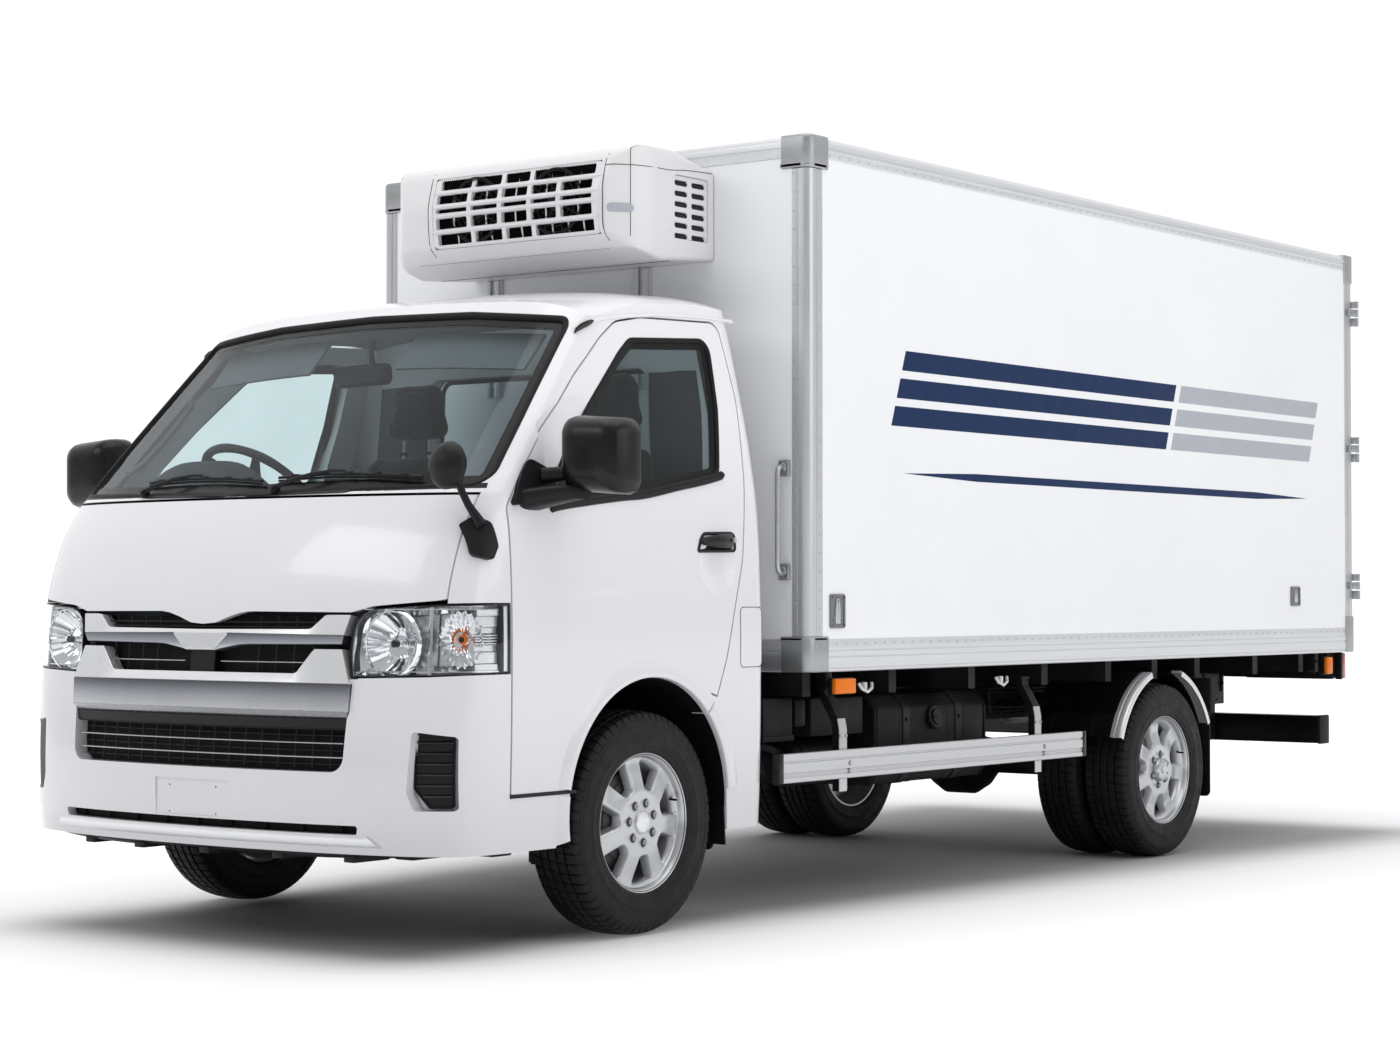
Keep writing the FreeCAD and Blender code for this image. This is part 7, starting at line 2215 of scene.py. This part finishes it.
# radio panel and heater knobs
dl.prism(rounded([(-92, 1118), (92, 1118), (92, 1200), (-92, 1200)], 8, 4), "y", -452, -446, 1.5)
for x in (-58, 0, 58):
    dl.cyl((x, -446, 1090), (x, -428, 1090), 19, 28, 3)
    dl.cyl((x, -430, 1090), (x, -426, 1090), 14, 24, 1)
dl.prism(rounded([(270, 1060), (640, 1060), (650, 1190), (262, 1190)], 16, 4), "y", -482, -470, 2.0)
dd.obj("dash_vents", "black_plastic", deg=35)
dl.obj("dash_panels", "black_gloss_grain", deg=35)
gn = Bag()
for x in (-445, -355):
    gn.rev([(0, 0.02), (0, 40), (2, 43), (6, 43), (6, 39), (2, 38), (2, 0.02)], (x, -511, 1340), (0, 0.87, 0.49), 36, closed=False)
gn.obj("dash_dials", "black_gloss", deg=35)

# steering wheel: padded rim, four spokes, boss with a plain pad
sw, sp = Bag(), Bag()
C = Vector((-400, -330, 1400))
N = Vector((0, 0.62, 0.785)).normalized()
E1 = Vector((1, 0, 0))
E2 = N.cross(E1)
rows = []
for i in range(72):
    a = 2 * math.pi * i / 72
    d = E1 * math.cos(a) + E2 * math.sin(a)
    grip = 1.0 + 0.08 * math.cos(4 * a) ** 2
    rows.append([C + d * (185 + 14 * grip * math.cos(t)) + N * (14 * grip * math.sin(t)) for t in np.linspace(0, 2 * math.pi, 17)[:-1]])
sw.rows(rows, closed=True, loop=True)
for a in (8, 172, 232, 308):
    d = E1 * math.cos(math.radians(a)) + E2 * math.sin(math.radians(a))
    t = N.cross(d)
    pr = []
    for r, w, h, dz in ((40, 30, 9, -20), (80, 24, 8, -16), (130, 17, 7, -8), (172, 13, 6, -1), (186, 14, 6, 0)):
        pr.append([C + d * r + t * (w * math.cos(q)) + N * (dz + h * math.sin(q)) for q in np.linspace(0, 2 * math.pi, 13)[:-1]])
    sp.rows(pr, closed=True, ends=True)
sp.rev([(-40, 0.02), (-40, 50), (-30, 60), (-12, 62), (-2, 54), (4, 34), (6, 0.02)], C, N, 36, closed=False)
col = C - N * 232
sp.cyl(tuple(col), tuple(C - N * 38), 27, 24, 3)
sp.cyl(tuple(col), tuple(C - N * 70), 40, 24, 8, 34)
for s in (1, -1):
    p0 = C - N * 62
    sp.tube([p0 + E1 * s * 30, p0 + E1 * s * 90 + E2 * 6, p0 + E1 * s * 160 + E2 * 16], [9, 8, 7], 10, flat=0.6)
sw.obj("steering_rim", "black_gloss_grain", rep=("steering_wheel",), deg=60)
sp.obj("steering_boss", "dark_trim", deg=40)

# sun visors, inner mirror, roof lining, handles
vi = Bag()
for x0, x1, s in ((-690, -190, -1), (190, 690, 1)):
    rows = []
    for t in np.linspace(0, 1, 14):
        x = x0 + (x1 - x0) * t
        zt_ = 1868 - 26 * (abs(x) / 700.0) ** 2
        yt = front_y(x, zt_) + 74
        zb_ = zt_ - 118
        yb = front_y(x, zb_) + 92
        rows.append([(x, yt, zt_), (x, yt + 4, zt_ - 6), (x, (yt + yb) / 2 + 6, (zt_ + zb_) / 2), (x, yb + 6, zb_ + 6), (x, yb, zb_), (x, yb - 8, zb_ + 4), (x, (yt + yb) / 2 - 8, (zt_ + zb_) / 2), (x, yt - 8, zt_)])
    vi.rows(rows, closed=True, ends=True)
vi.obj("sun_visors", "grey_trim", deg=50)
im = Bag()
mc = Vector((-70, -178, 1748))
o = rounded([(-128, -36), (128, -30), (120, 38), (-118, 36)], 24, 6)
im.rows([[mc + Vector((x * k, dy, z * k)) for x, z in o] for k, dy in ((0.72, -26), (0.9, -20), (1.0, -6), (1.0, 2), (0.96, 5))], closed=True, ends=True)
im.tube([mc + Vector((60, -20, 20)), mc + Vector((66, -34, 70)), mc + Vector((70, -30, 112))], [11, 8, 12], 10)
im.obj("inner_mirror", "black_plastic", deg=45)
ig = Bag()
ig.add([mc + Vector((x * 0.93, 5.6, z * 0.9)) for x, z in o], [tuple(range(len(o)))])
ig.obj("inner_mirror_glass", "mirror_glass")
# roof lining
rl = Bag()
rows = []
for y in np.linspace(-95, 560, 18):
    row = []
    for x in np.linspace(-715, 715, 23):
        row.append((x, y, roof_z(x, y) - 72 - 8 * (abs(x) / 715.0) ** 3))
    rows.append(row)
rl.rows(rows)
rl.obj("roof_lining", "headliner", deg=60, face=(0, 0, -1))
# rear wall lining with the window reveal
rw = Bag()
wo = dense([(-770, 890), (770, 890), (745, 1500), (712, 1860), (-712, 1860), (-745, 1500)], 60)
ho = rounded([(-508, 1432), (508, 1432), (498, 1808), (-498, 1808)], 40, 6)
rw.patch(wo, flat_y(586), 0.0, holes=[dense(ho, 30)], step=70)
rw.sweep(dense(ho, 30), [(0, 0), (-1, -10), (-3, -52)], lambda p, h: (p[0], 586 - h, p[1]))
rw.obj("rear_lining", "grey_trim", deg=40, face=(0, -1, 0))
rs = Bag()
rs.sweep(dense(rounded([(-500, 1440), (500, 1440), (490, 1800), (-490, 1800)], 50, 6), 28), [(3, -2), (3, 3), (-8, 3.4), (-14, 1), (-14, -8)], lambda p, h: (p[0], 656 + h, p[1]))
rs.obj("rear_window_seal", "seal_rubber")
# grab handles on the front pillars and the pillar trims
gr_ = Bag()
pi_ = Bag()
for s in (1, -1):
    pts = []
    for z, o in ((1440, 70), (1470, 98), (1540, 106), (1610, 104), (1670, 96), (1700, 72)):
        x = 0.93 * CAB_XS(z) - 40
        pts.append((s * x, front_y(x, z) + o, z))
    gr_.tube(pts, [13, 12, 12, 12, 12, 13], 12)
    rows = []
    for z in np.linspace(1380, 1880, 12):
        row = []
        for g, o in ((0.80, -16), (0.80, -64), (0.90, -68), (0.985, -66), (1.0, -60)):
            x, y = round_y(g, z)
            xx = x - (6 if g < 1 else 0)
            n = Vector((x / CAB_XS(z) * 0.75, -0.66, 0)).normalized()
            q = Vector((x, y, z)) + n * o
            row.append((s * q.x, q.y, q.z))
        rows.append(row)
    pi_.rows(rows)
gr_.obj("pillar_grab_handles", "grey_trim", deg=50)
pi_.obj("pillar_trims", "grey_trim", deg=50)
# door trims: panel, arm rest, pull, winder, pocket
for sd, mir in (("left", False), ("right", True)):
    dr = "door_" + sd
    dt, dk_ = Bag(), Bag()
    # the lower edge runs round the wheel well, clear of it
    well = [(43 + 424 * math.cos(math.radians(a)), 400 + 424 * math.sin(math.radians(a))) for a in range(158, 54, -8)]
    pts = [(-578, 560)] + well + [(360, 800), (425, 900), (490, 1160), (500, 1372), (30, 1318), (-440, 1262), (-585, 1250)]
    o = dense(rounded(pts, [20] + [2] * len(well) + [20, 60, 60, 10, 200, 30, 10], 4), 60)
    dt.patch(o, side, -64, step=80, thick=4)
    rows = []
    for t in np.linspace(0, 1, 20):
        y = -330 + 560 * t
        k = math.sin(math.pi * min(max(t, 0.02), 0.98)) ** 0.35
        c0 = spt(y, 1040 + 40 * t, -68)
        rows.append([(c0[0] - 2 - (58 * k) * max(0, math.cos(a)) ** 0.7 if math.cos(a) > 0 else c0[0] + 2, c0[1], c0[2] + 34 * k * math.sin(a)) for a in np.linspace(0, 2 * math.pi, 19)[:-1]])
    dt.rows(rows, closed=True, ends=True)
    dk_.tube([spt(-180, 1155, -70), spt(-160, 1160, -98), spt(-60, 1170, -104), spt(30, 1180, -98), spt(50, 1185, -70)], 12, 12)
    dk_.patch(dense(rounded([(-480, 872), (150, 896), (150, 992), (-480, 968)], 30, 4), 50), side, -76, step=0, thick=8)
    w0 = spt(-260, 1100, -70)
    dk_.cyl(w0, w0 - np.array([20, 0, 0]), 20, 20, 3)
    dk_.tube([w0 - np.array([18, 0, 0]), w0 + np.array([-24, 60, 40]), w0 + np.array([-24, 78, 52])], [9, 7, 9], 10)
    (dt.flip() if mir else dt).obj("door_trim_" + sd, "grey_trim", dr, 40)
    (dk_.flip() if mir else dk_).obj("door_trim_fittings_" + sd, "dark_trim", dr, 40)
# floor mats and centre tray
fm = Bag()
for x0, x1 in ((-760, -120), (120, 760)):
    fm.box(x0, x1, -470 - 240, -480, 541, 549, 3)
    for k in range(9):
        fm.tube([(x0 + 40, -700 + 24 * k, 549), (x1 - 40, -700 + 24 * k, 549)], 3, 6)
fm.box(-150, 150, -180, 300, 881, 968, 14)
fm.obj("mats_and_tray", "dark_trim", deg=40)
# gear lever, hand brake and pedals
lv_ = Bag()
lv_.tube([(-40, -500, 1100), (-50, -455, 1150), (-60, -420, 1190)], [7, 7, 7], 10)
lv_.rev([(0, 0.02), (2, 16), (16, 22), (32, 20), (42, 10), (44, 0.02)], (-60, -422, 1180), (-0.1, 0.3, 1), 20, closed=False)
for x in (-520, -420, -310):
    lv_.prism(rounded([(x - 32, 640), (x + 32, 640), (x + 32, 700), (x - 32, 700)], 8, 3), "y", -640, -628, 2)
    lv_.tube([(x, -640, 680), (x, -690, 780), (x, -700, 900)], 9, 8)
lv_.obj("levers_and_pedals", "black_plastic", deg=40)

# ------------------------------------------------------------------ seats
from mathutils.bvhtree import BVHTree


def sstep(a, b, x):
    t = min(1.0, max(0.0, (x - a) / (b - a)))
    return t * t * (3 - 2 * t)


def loft_pad(profile, x0, x1, r, shape=None, n=17):
    """Closed form from a side outline (y, z), rounded towards both ends."""
    cy = sum(p[0] for p in profile) / len(profile)
    cz = sum(p[1] for p in profile) / len(profile)
    us = [-1, -0.985, -0.955, -0.91, -0.85, -0.78] + list(np.linspace(-0.68, 0.68, n)) + [0.78, 0.85, 0.91, 0.955, 0.985, 1]
    rows = []
    for u in us:
        x = (x0 + x1) / 2 + u * (x1 - x0) / 2
        d = min((1 - abs(u)) * (x1 - x0) / 2, r)
        e = r - math.sqrt(max(0.0, r * r - (r - d) ** 2))
        row = []
        for y, z in profile:
            v = Vector((y - cy, z - cz))
            k = max(0.2, 1 - e / max(v.length, 1))
            yy, zz = cy + v.x * k, cz + v.y * k
            if shape:
                yy, zz = shape(u, yy, zz)
            row.append((x, yy, zz))
        rows.append(row)
    return rows


def soften(ob, voxel, grow, cap, pin):
    """Remesh, swell as a filled cover, limit the travel and subdivide once."""
    def bake(o):
        dg = bpy.context.evaluated_depsgraph_get()
        me = bpy.data.meshes.new_from_object(o.evaluated_get(dg))
        o.modifiers.clear()
        o.data = me
    md = ob.modifiers.new("grid", "REMESH")
    md.mode = "VOXEL"
    md.voxel_size = voxel
    bake(ob)
    me = ob.data
    base = np.array([v.co[:] for v in me.vertices])
    vg = ob.vertex_groups.new(name="held")
    for v in me.vertices:
        w = pin(v.co)
        if w > 0:
            vg.add([v.index], w, "REPLACE")
    cl = ob.modifiers.new("cover", "CLOTH")
    cs = cl.settings
    cs.use_pressure = True
    cs.uniform_pressure_force = grow
    cs.effector_weights.gravity = 0.0
    cs.quality = 5
    cs.mass = 0.3
    cs.tension_stiffness = 12
    cs.compression_stiffness = 12
    cs.bending_stiffness = 0.5
    cs.vertex_group_mass = "held"
    cl.collision_settings.use_collision = False
    cl.point_cache.frame_start, cl.point_cache.frame_end = 1, 20
    sc = bpy.context.scene
    for k in range(1, 21):
        sc.frame_set(k)
    dg = bpy.context.evaluated_depsgraph_get()
    ev = ob.evaluated_get(dg).to_mesh()
    new = np.array([v.co[:] for v in ev.vertices])
    ob.evaluated_get(dg).to_mesh_clear()
    ob.modifiers.clear()
    ob.vertex_groups.clear()
    sc.frame_set(1)
    d = new - base
    ln = np.linalg.norm(d, axis=1, keepdims=True)
    d *= np.minimum(1.0, cap / np.maximum(ln, 1e-9))
    me.vertices.foreach_set("co", (base + d).ravel())
    me.update()
    md = ob.modifiers.new("fine", "SUBSURF")
    md.levels = md.render_levels = 1
    bake(ob)
    ob.data.shade_smooth()


def groove(ob, lines, depth, width, facing):
    """Draws the cover in along sewn lines; each line is a list of points in metres."""
    me = ob.data
    co = np.array([v.co[:] for v in me.vertices])
    no = np.array([v.normal[:] for v in me.vertices])
    out = co.copy()
    for ln in lines:
        p = np.array([tuple(q) for q in ln])
        best = np.full(len(co), 9.0)
        for a, b in zip(p[:-1], p[1:]):
            ab = b - a
            t = np.clip(((co - a) @ ab) / max(ab @ ab, 1e-12), 0, 1)
            d = np.linalg.norm(co - (a + t[:, None] * ab), axis=1)
            best = np.minimum(best, d)
        k = np.exp(-(best / width) ** 2) * (no @ np.array(facing) > 0.05)
        out -= no * (k * depth)[:, None]
    me.vertices.foreach_set("co", out.ravel())
    me.update()


def on_pad(ob, pts, direction, lift=0.0):
    """Drops points onto the pad along a direction."""
    bm = bmesh.new()
    bm.from_mesh(ob.data)
    tree = BVHTree.FromBMesh(bm)
    out = []
    d = Vector(direction).normalized()
    for q in pts:
        hit = tree.ray_cast(Vector(q) - d * 0.4, d)
        if hit[0] is not None:
            out.append(hit[0] - d * lift)
    bm.free()
    return out


def pad_object(name, rows, voxel, grow, cap, pin):
    b = Bag()
    b.rows(rows, closed=True, ends=True)
    me = bpy.data.meshes.new(name)
    me.from_pydata([P(*p) for p in b.v], [], b.f)
    bm = bmesh.new()
    bm.from_mesh(me)
    bmesh.ops.recalc_face_normals(bm, faces=bm.faces)
    bm.to_mesh(me)
    bm.free()
    ob = bpy.data.objects.new(name, me)
    bpy.context.scene.collection.objects.link(ob)
    soften(ob, voxel, grow, cap, pin)
    return ob


XC = 430.0


def cushion_shape(u, y, z):
    up = sstep(960, 1040, z)
    bol = sstep(0.56, 0.76, abs(u)) * (1 - 0.5 * sstep(0.9, 1.0, abs(u)))
    return y, z + up * (13 * bol - 9 * (1 - sstep(0.0, 0.6, abs(u))) - 6)


def back_shape(u, y, z):
    fr_ = sstep(0.0, 1.0, (z - 1010) / 120.0) * (1 - sstep(1475, 1535, z))
    bol = sstep(0.54, 0.76, abs(u)) * (1 - 0.4 * sstep(0.9, 1.0, abs(u)))
    mid = 235 + (z - 1000) * 0.294 + 55
    front = 1.0 if y < mid else 0.0
    taper = 1.0
    return y - front * fr_ * (18 * bol - 4), z


def taper_rows(rows, xc, z0, z1, k):
    """Narrows the back towards its top."""
    return [[(xc + (x - xc) * (1 - k * sstep(z0, z1, z)), y, z) for x, y, z in r] for r in rows]


CUSH = rounded([(-182, 912), (-196, 1028), (-150, 1054), (60, 1044), (240, 1030), (300, 1022), (318, 960), (300, 912)], [16, 34, 40, 0, 0, 30, 24, 16], 4)
CUSH = dense(CUSH, 26)
BACK = rounded([(248, 1010), (304, 1200), (352, 1360), (394, 1505), (424, 1533), (482, 1524), (490, 1470), (430, 1250), (346, 998)], [26, 0, 0, 40, 30, 26, 40, 0, 26], 4)
BACK = dense(BACK, 26)
HEAD_P = rounded([(420, 1584), (436, 1756), (470, 1780), (510, 1746), (504, 1584)], [26, 36, 24, 28, 24], 4)
HEAD_P = dense(HEAD_P, 16)

zc = 0.93
cush = pad_object("seat_cushion_left", loft_pad(CUSH, XC - 240, XC + 240, 34, cushion_shape), 0.012, 4.0, 0.014, lambda c: 1.0 if c.z < 0.925 else 0.0)
bck = pad_object("seat_back_left", taper_rows(loft_pad(BACK, XC - 226, XC + 226, 34, back_shape), XC, 1150, 1535, 0.18), 0.012, 4.0, 0.013, lambda c: 0.0)
hd = pad_object("seat_head_left", taper_rows(loft_pad(HEAD_P, XC - 122, XC + 122, 38), XC, 1600, 1785, 0.20), 0.009, 4.0, 0.009, lambda c: 0.0)


def line(pts):
    return [P(*p) for p in pts]


# sewn lines: bolster seams, a cross seam and the edge seams
cl_ = [line([(XC + s * 148, y, 1045) for y in np.linspace(-176, 300, 26)]) for s in (1, -1)]
cl_ += [line([(XC + x, 96, 1040) for x in np.linspace(-146, 146, 14)]), line([(XC + x, -70, 1044) for x in np.linspace(-146, 146, 14)])]


def by(z):
    return 248 + (z - 1010) * 0.298


bl_ = [line([(XC + s * (140 - 22 * sstep(1150, 1535, z)), by(z), z) for z in np.linspace(1040, 1505, 28)]) for s in (1, -1)]
bl_ += [line([(XC + x, by(z), z) for x in np.linspace(-136, 136, 14)]) for z in (1180, 1330)]
for ob, lines, face, dirn, dpt in ((cush, cl_, (0, 0, 1), (0, 0, -1), 0.006), (bck, bl_, (0, -1, 0.2), (0, 1, 0), 0.006)):
    hit = [on_pad(ob, ln, dirn) for ln in lines]
    groove(ob, [h for h in hit if len(h) > 2], dpt, 0.010, face)
# edge piping round the side panels
pipe_b, stitch = Bag(), Bag()


def add_tube(bag, pts, r):
    q = [((p.x) * 1000, (p.y + YM) * 1000, p.z * 1000) for p in pts]
    if len(q) > 2:
        bag.tube(q, r, 8)


for ob, lines, dirn in ((cush, cl_, (0, 0, -1)), (bck, bl_, (0, 1, 0))):
    for ln in lines:
        add_tube(pipe_b, on_pad(ob, ln, dirn, 0.0006), 1.8)
ring = []
for a in np.linspace(0, 2 * math.pi, 41)[:-1]:
    ring.append((XC + (94 - 8 * math.sin(a)) * math.copysign(abs(math.cos(a)) ** 0.6, math.cos(a)), 0, 1682 + 70 * math.copysign(abs(math.sin(a)) ** 0.6, math.sin(a))))
hp = on_pad(hd, [P(x, 400, zz) for x, _, zz in ring], (0, 1, 0), 0.0004)
groove(hd, [hp + hp[:1]], 0.004, 0.007, (0, -1, 0.1))
hp = on_pad(hd, [P(x, 400, zz) for x, _, zz in ring], (0, 1, 0), 0.0004)
pipe_b.tube([((p.x) * 1000, (p.y + YM) * 1000, p.z * 1000) for p in hp], 1.6, 8, closed=True)

hard, steel_b = Bag(), Bag()
hard.box(XC - 200, XC + 200, -168, 300, 882, 914, 8)
hard.prism(rounded([(-150, 884), (330, 884), (352, 960), (300, 1002), (180, 985), (-120, 930)], [10, 14, 24, 24, 40, 20], 5), "x", XC - 256, XC - 243, 3)
hard.prism(rounded([(-150, 884), (330, 884), (352, 960), (300, 1002), (180, 985), (-120, 930)], [10, 14, 24, 24, 40, 20], 5), "x", XC + 243, XC + 256, 3)
for s in (1, -1):
    hard.rev([(0, 0.02), (0, 30), (5, 36), (14, 36), (18, 30), (18, 0.02)], (XC + s * 244, 306, 962), (s, 0, 0), 30, closed=False)
    steel_b.tube([(XC + s * 60, 457, 1516), (XC + s * 60, 460, 1556), (XC + s * 60, 463, 1606)], 6.5, 12)
    hard.rev([(0, 7), (0, 14), (6, 14), (9, 11), (9, 7)], (XC + s * 60, 457, 1530), (0, 0.03, 1), 20)
hard.tube([(XC - 120, -176, 900), (XC, -196, 894), (XC + 120, -176, 900)], 8, 10)

for nm, ob, fill in (("cushion", cush, 0.7), ("back", bck, 0.7), ("head", hd, 0.75)):
    mesh_ = ob.data
    other = bpy.data.objects.new("seat_%s_right" % nm, mesh_.copy())
    other.data.transform(Matrix.Translation((-2 * XC / 1000.0, 0, 0)))
    bpy.context.scene.collection.objects.link(other)
    for o, first in ((ob, True), (other, False)):
        use(o, "seat_fabric")
        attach(o, "truck")
        if first and nm == "cushion":
            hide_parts("seats")
for nm, bag, mat in (("seat_piping", pipe_b, "seat_side"), ("seat_shell", hard, "seat_side"), ("seat_posts", steel_b, "steel")):
    both = Bag()
    both.join(bag).join(bag, False, (-2 * XC, 0, 0))
    both.obj(nm, mat, deg=40)

# ------------------------------------------------------------------ stage, light, camera
AZ, EL = math.radians(37.237), math.radians(-1.424)
VIEW = Vector((math.sin(AZ) * math.cos(EL), -math.cos(AZ) * math.cos(EL), math.sin(EL)))      # from the truck towards the eye


def stage_floor():
    me = bpy.data.meshes.new("floor")
    bm = bmesh.new()
    # plain pale sheet under the truck that runs far out behind it
    d = Vector((-math.sin(AZ), math.cos(AZ), 0))
    r = Vector((math.cos(AZ), math.sin(AZ), 0))
    rows = []
    for s in (-60, -12, -6, -3, 0, 3, 6, 12, 30, 90):
        rows.append([bm.verts.new(d * s + r * w) for w in (-90, -12, -6, -3, 0, 3, 6, 12, 90)])
    for i in range(len(rows) - 1):
        for j in range(8):
            bm.faces.new((rows[i][j], rows[i][j + 1], rows[i + 1][j + 1], rows[i + 1][j]))
    bmesh.ops.recalc_face_normals(bm, faces=bm.faces)
    bm.to_mesh(me)
    bm.free()
    o = bpy.data.objects.new("floor", me)
    bpy.context.scene.collection.objects.link(o)
    t = NT("floor_paper")
    # painted light and shadow: the sheet's emission, though it is no lamp, is off under the truck and grows outwards,
    # so that it melts into the bright surroundings; the shaded footprint widens towards the rear
    x, y, z = t.sep()
    hw = t.maprange(y, -2.4, 2.6, 0.60, 1.06)
    e1 = t.math("MAXIMUM", t.math("SUBTRACT", t.math("ABSOLUTE", x), hw), 0.0)
    e2 = t.math("MAXIMUM", t.math("SUBTRACT", t.math("ABSOLUTE", y), 2.80), 0.0)
    q = t.math("SQRT", t.math("ADD", t.math("MULTIPLY", e1, e1), t.math("MULTIPLY", e2, e2)))
    painted_floor_light = t.math("ADD", t.maprange(q, 0.0, 0.55, 0.0, 0.36, True), t.maprange(q, 0.4, 3.2, 0.0, 0.34, True))
    # painted shadow: the base colour is darker under the truck
    t.set(Base_Color=t.ramp(t.maprange(q, 0.0, 0.7, 0.0, 1.0), [(0.0, (0.43, 0.433, 0.44)), (1.0, (0.62, 0.623, 0.627))]), Roughness=0.75,
          Normal=t.bump(t.noise(60.0, 3), 0.03, 0.002), Emission_Strength=painted_floor_light)
    t.b.inputs["Emission Color"].default_value = (1, 1, 1, 1)
    t.b.inputs["Specular IOR Level"].default_value = 0.2
    use(o, "floor_paper")


stage_floor()


def area(name, loc, target, size, power, sy=None, col=(1, 1, 1)):
    ld = bpy.data.lights.new(name, "AREA")
    ld.shape = "RECTANGLE"
    ld.size, ld.size_y = size, sy or size
    ld.energy = power
    ld.color = col
    o = bpy.data.objects.new(name, ld)
    o.location = loc
    o.rotation_mode = "QUATERNION"
    o.rotation_quaternion = (Vector(target) - Vector(loc)).to_track_quat("-Z", "Y")
    bpy.context.scene.collection.objects.link(o)
    return o


def studio():
    """Bright room: white behind the truck, softer behind the eye, with darker bands that give bright metal its edges."""
    w = bpy.data.worlds.new("studio")
    bpy.context.scene.world = w
    w.use_nodes = True
    nt = w.node_tree
    bg = nt.nodes["Background"]
    co = nt.nodes.new("ShaderNodeTexCoord")
    dot = nt.nodes.new("ShaderNodeVectorMath")
    dot.operation = "DOT_PRODUCT"
    dot.inputs[1].default_value = -VIEW
    nt.links.new(co.outputs["Generated"], dot.inputs[0])
    mr = nt.nodes.new("ShaderNodeMapRange")
    mr.interpolation_type = "SMOOTHSTEP"
    for i, v in zip((1, 2, 3, 4), (-0.55, 0.80, 0.50, 1.06)):
        mr.inputs[i].default_value = v
    nt.links.new(dot.outputs["Value"], mr.inputs[0])
    sx = nt.nodes.new("ShaderNodeSeparateXYZ")
    nt.links.new(co.outputs["Generated"], sx.inputs[0])
    # brighter overhead, darker low band on the eye's side
    up = nt.nodes.new("ShaderNodeValToRGB")
    el = up.color_ramp.elements
    for p, c in ((0.0, 0.62), (0.47, 0.70), (0.505, 0.42), (0.55, 0.62), (0.63, 1.0), (0.80, 1.16), (1.0, 1.22)):
        e = el.new(p)
        e.color = (c * 0.985, c * 0.992, c, 1)
    while el[0].position < 0.0001 and len(el) > 7:
        el.remove(el[0])
    el.remove(el[-1]) if len(el) > 7 else None
    half = nt.nodes.new("ShaderNodeMath")
    half.operation = "MULTIPLY_ADD"
    half.inputs[1].default_value = 0.5
    half.inputs[2].default_value = 0.5
    nt.links.new(sx.outputs[2], half.inputs[0])
    nt.links.new(half.outputs[0], up.inputs[0])
    # the side behind the truck stays plain white at every height
    mix = nt.nodes.new("ShaderNodeMix")
    mix.data_type = "RGBA"
    fac = nt.nodes.new("ShaderNodeMapRange")
    for i, v in zip((1, 2, 3, 4), (0.35, 0.75, 0.0, 1.0)):
        fac.inputs[i].default_value = v
    nt.links.new(dot.outputs["Value"], fac.inputs[0])
    nt.links.new(fac.outputs[0], mix.inputs[0])
    nt.links.new(up.outputs[0], mix.inputs[6])
    mix.inputs[7].default_value = (1.0, 1.0, 1.0, 1)
    nt.links.new(mix.outputs[2], bg.inputs[0])
    nt.links.new(mr.outputs[0], bg.inputs[1])


studio()
area("key_top", (1.5, -2.0, 7.5), (0, 0.2, 0.8), 7.0, 178, 6.0)
area("side_left", (8.5, 0.5, 3.6), (0.5, 0.5, 1.3), 6.0, 95, 3.5)
area("front_fill", (-3.0, -9.5, 6.2), (0, -0.6, 2.5), 5.0, 110, 3.0)

cam_d = bpy.data.cameras.new("camera")
cam = bpy.data.objects.new("camera", cam_d)
bpy.context.scene.collection.objects.link(cam)
cam.location = (6.2599, -6.7127 - YM, 1.0438)
cam.rotation_mode = "QUATERNION"
cam.rotation_quaternion = (-VIEW).to_track_quat("-Z", "Y")
cam_d.sensor_width = 36.0
cam_d.lens = 72.08
cam_d.clip_end = 400.0
bpy.context.scene.camera = cam
bpy.context.scene.view_settings.view_transform = "Standard"
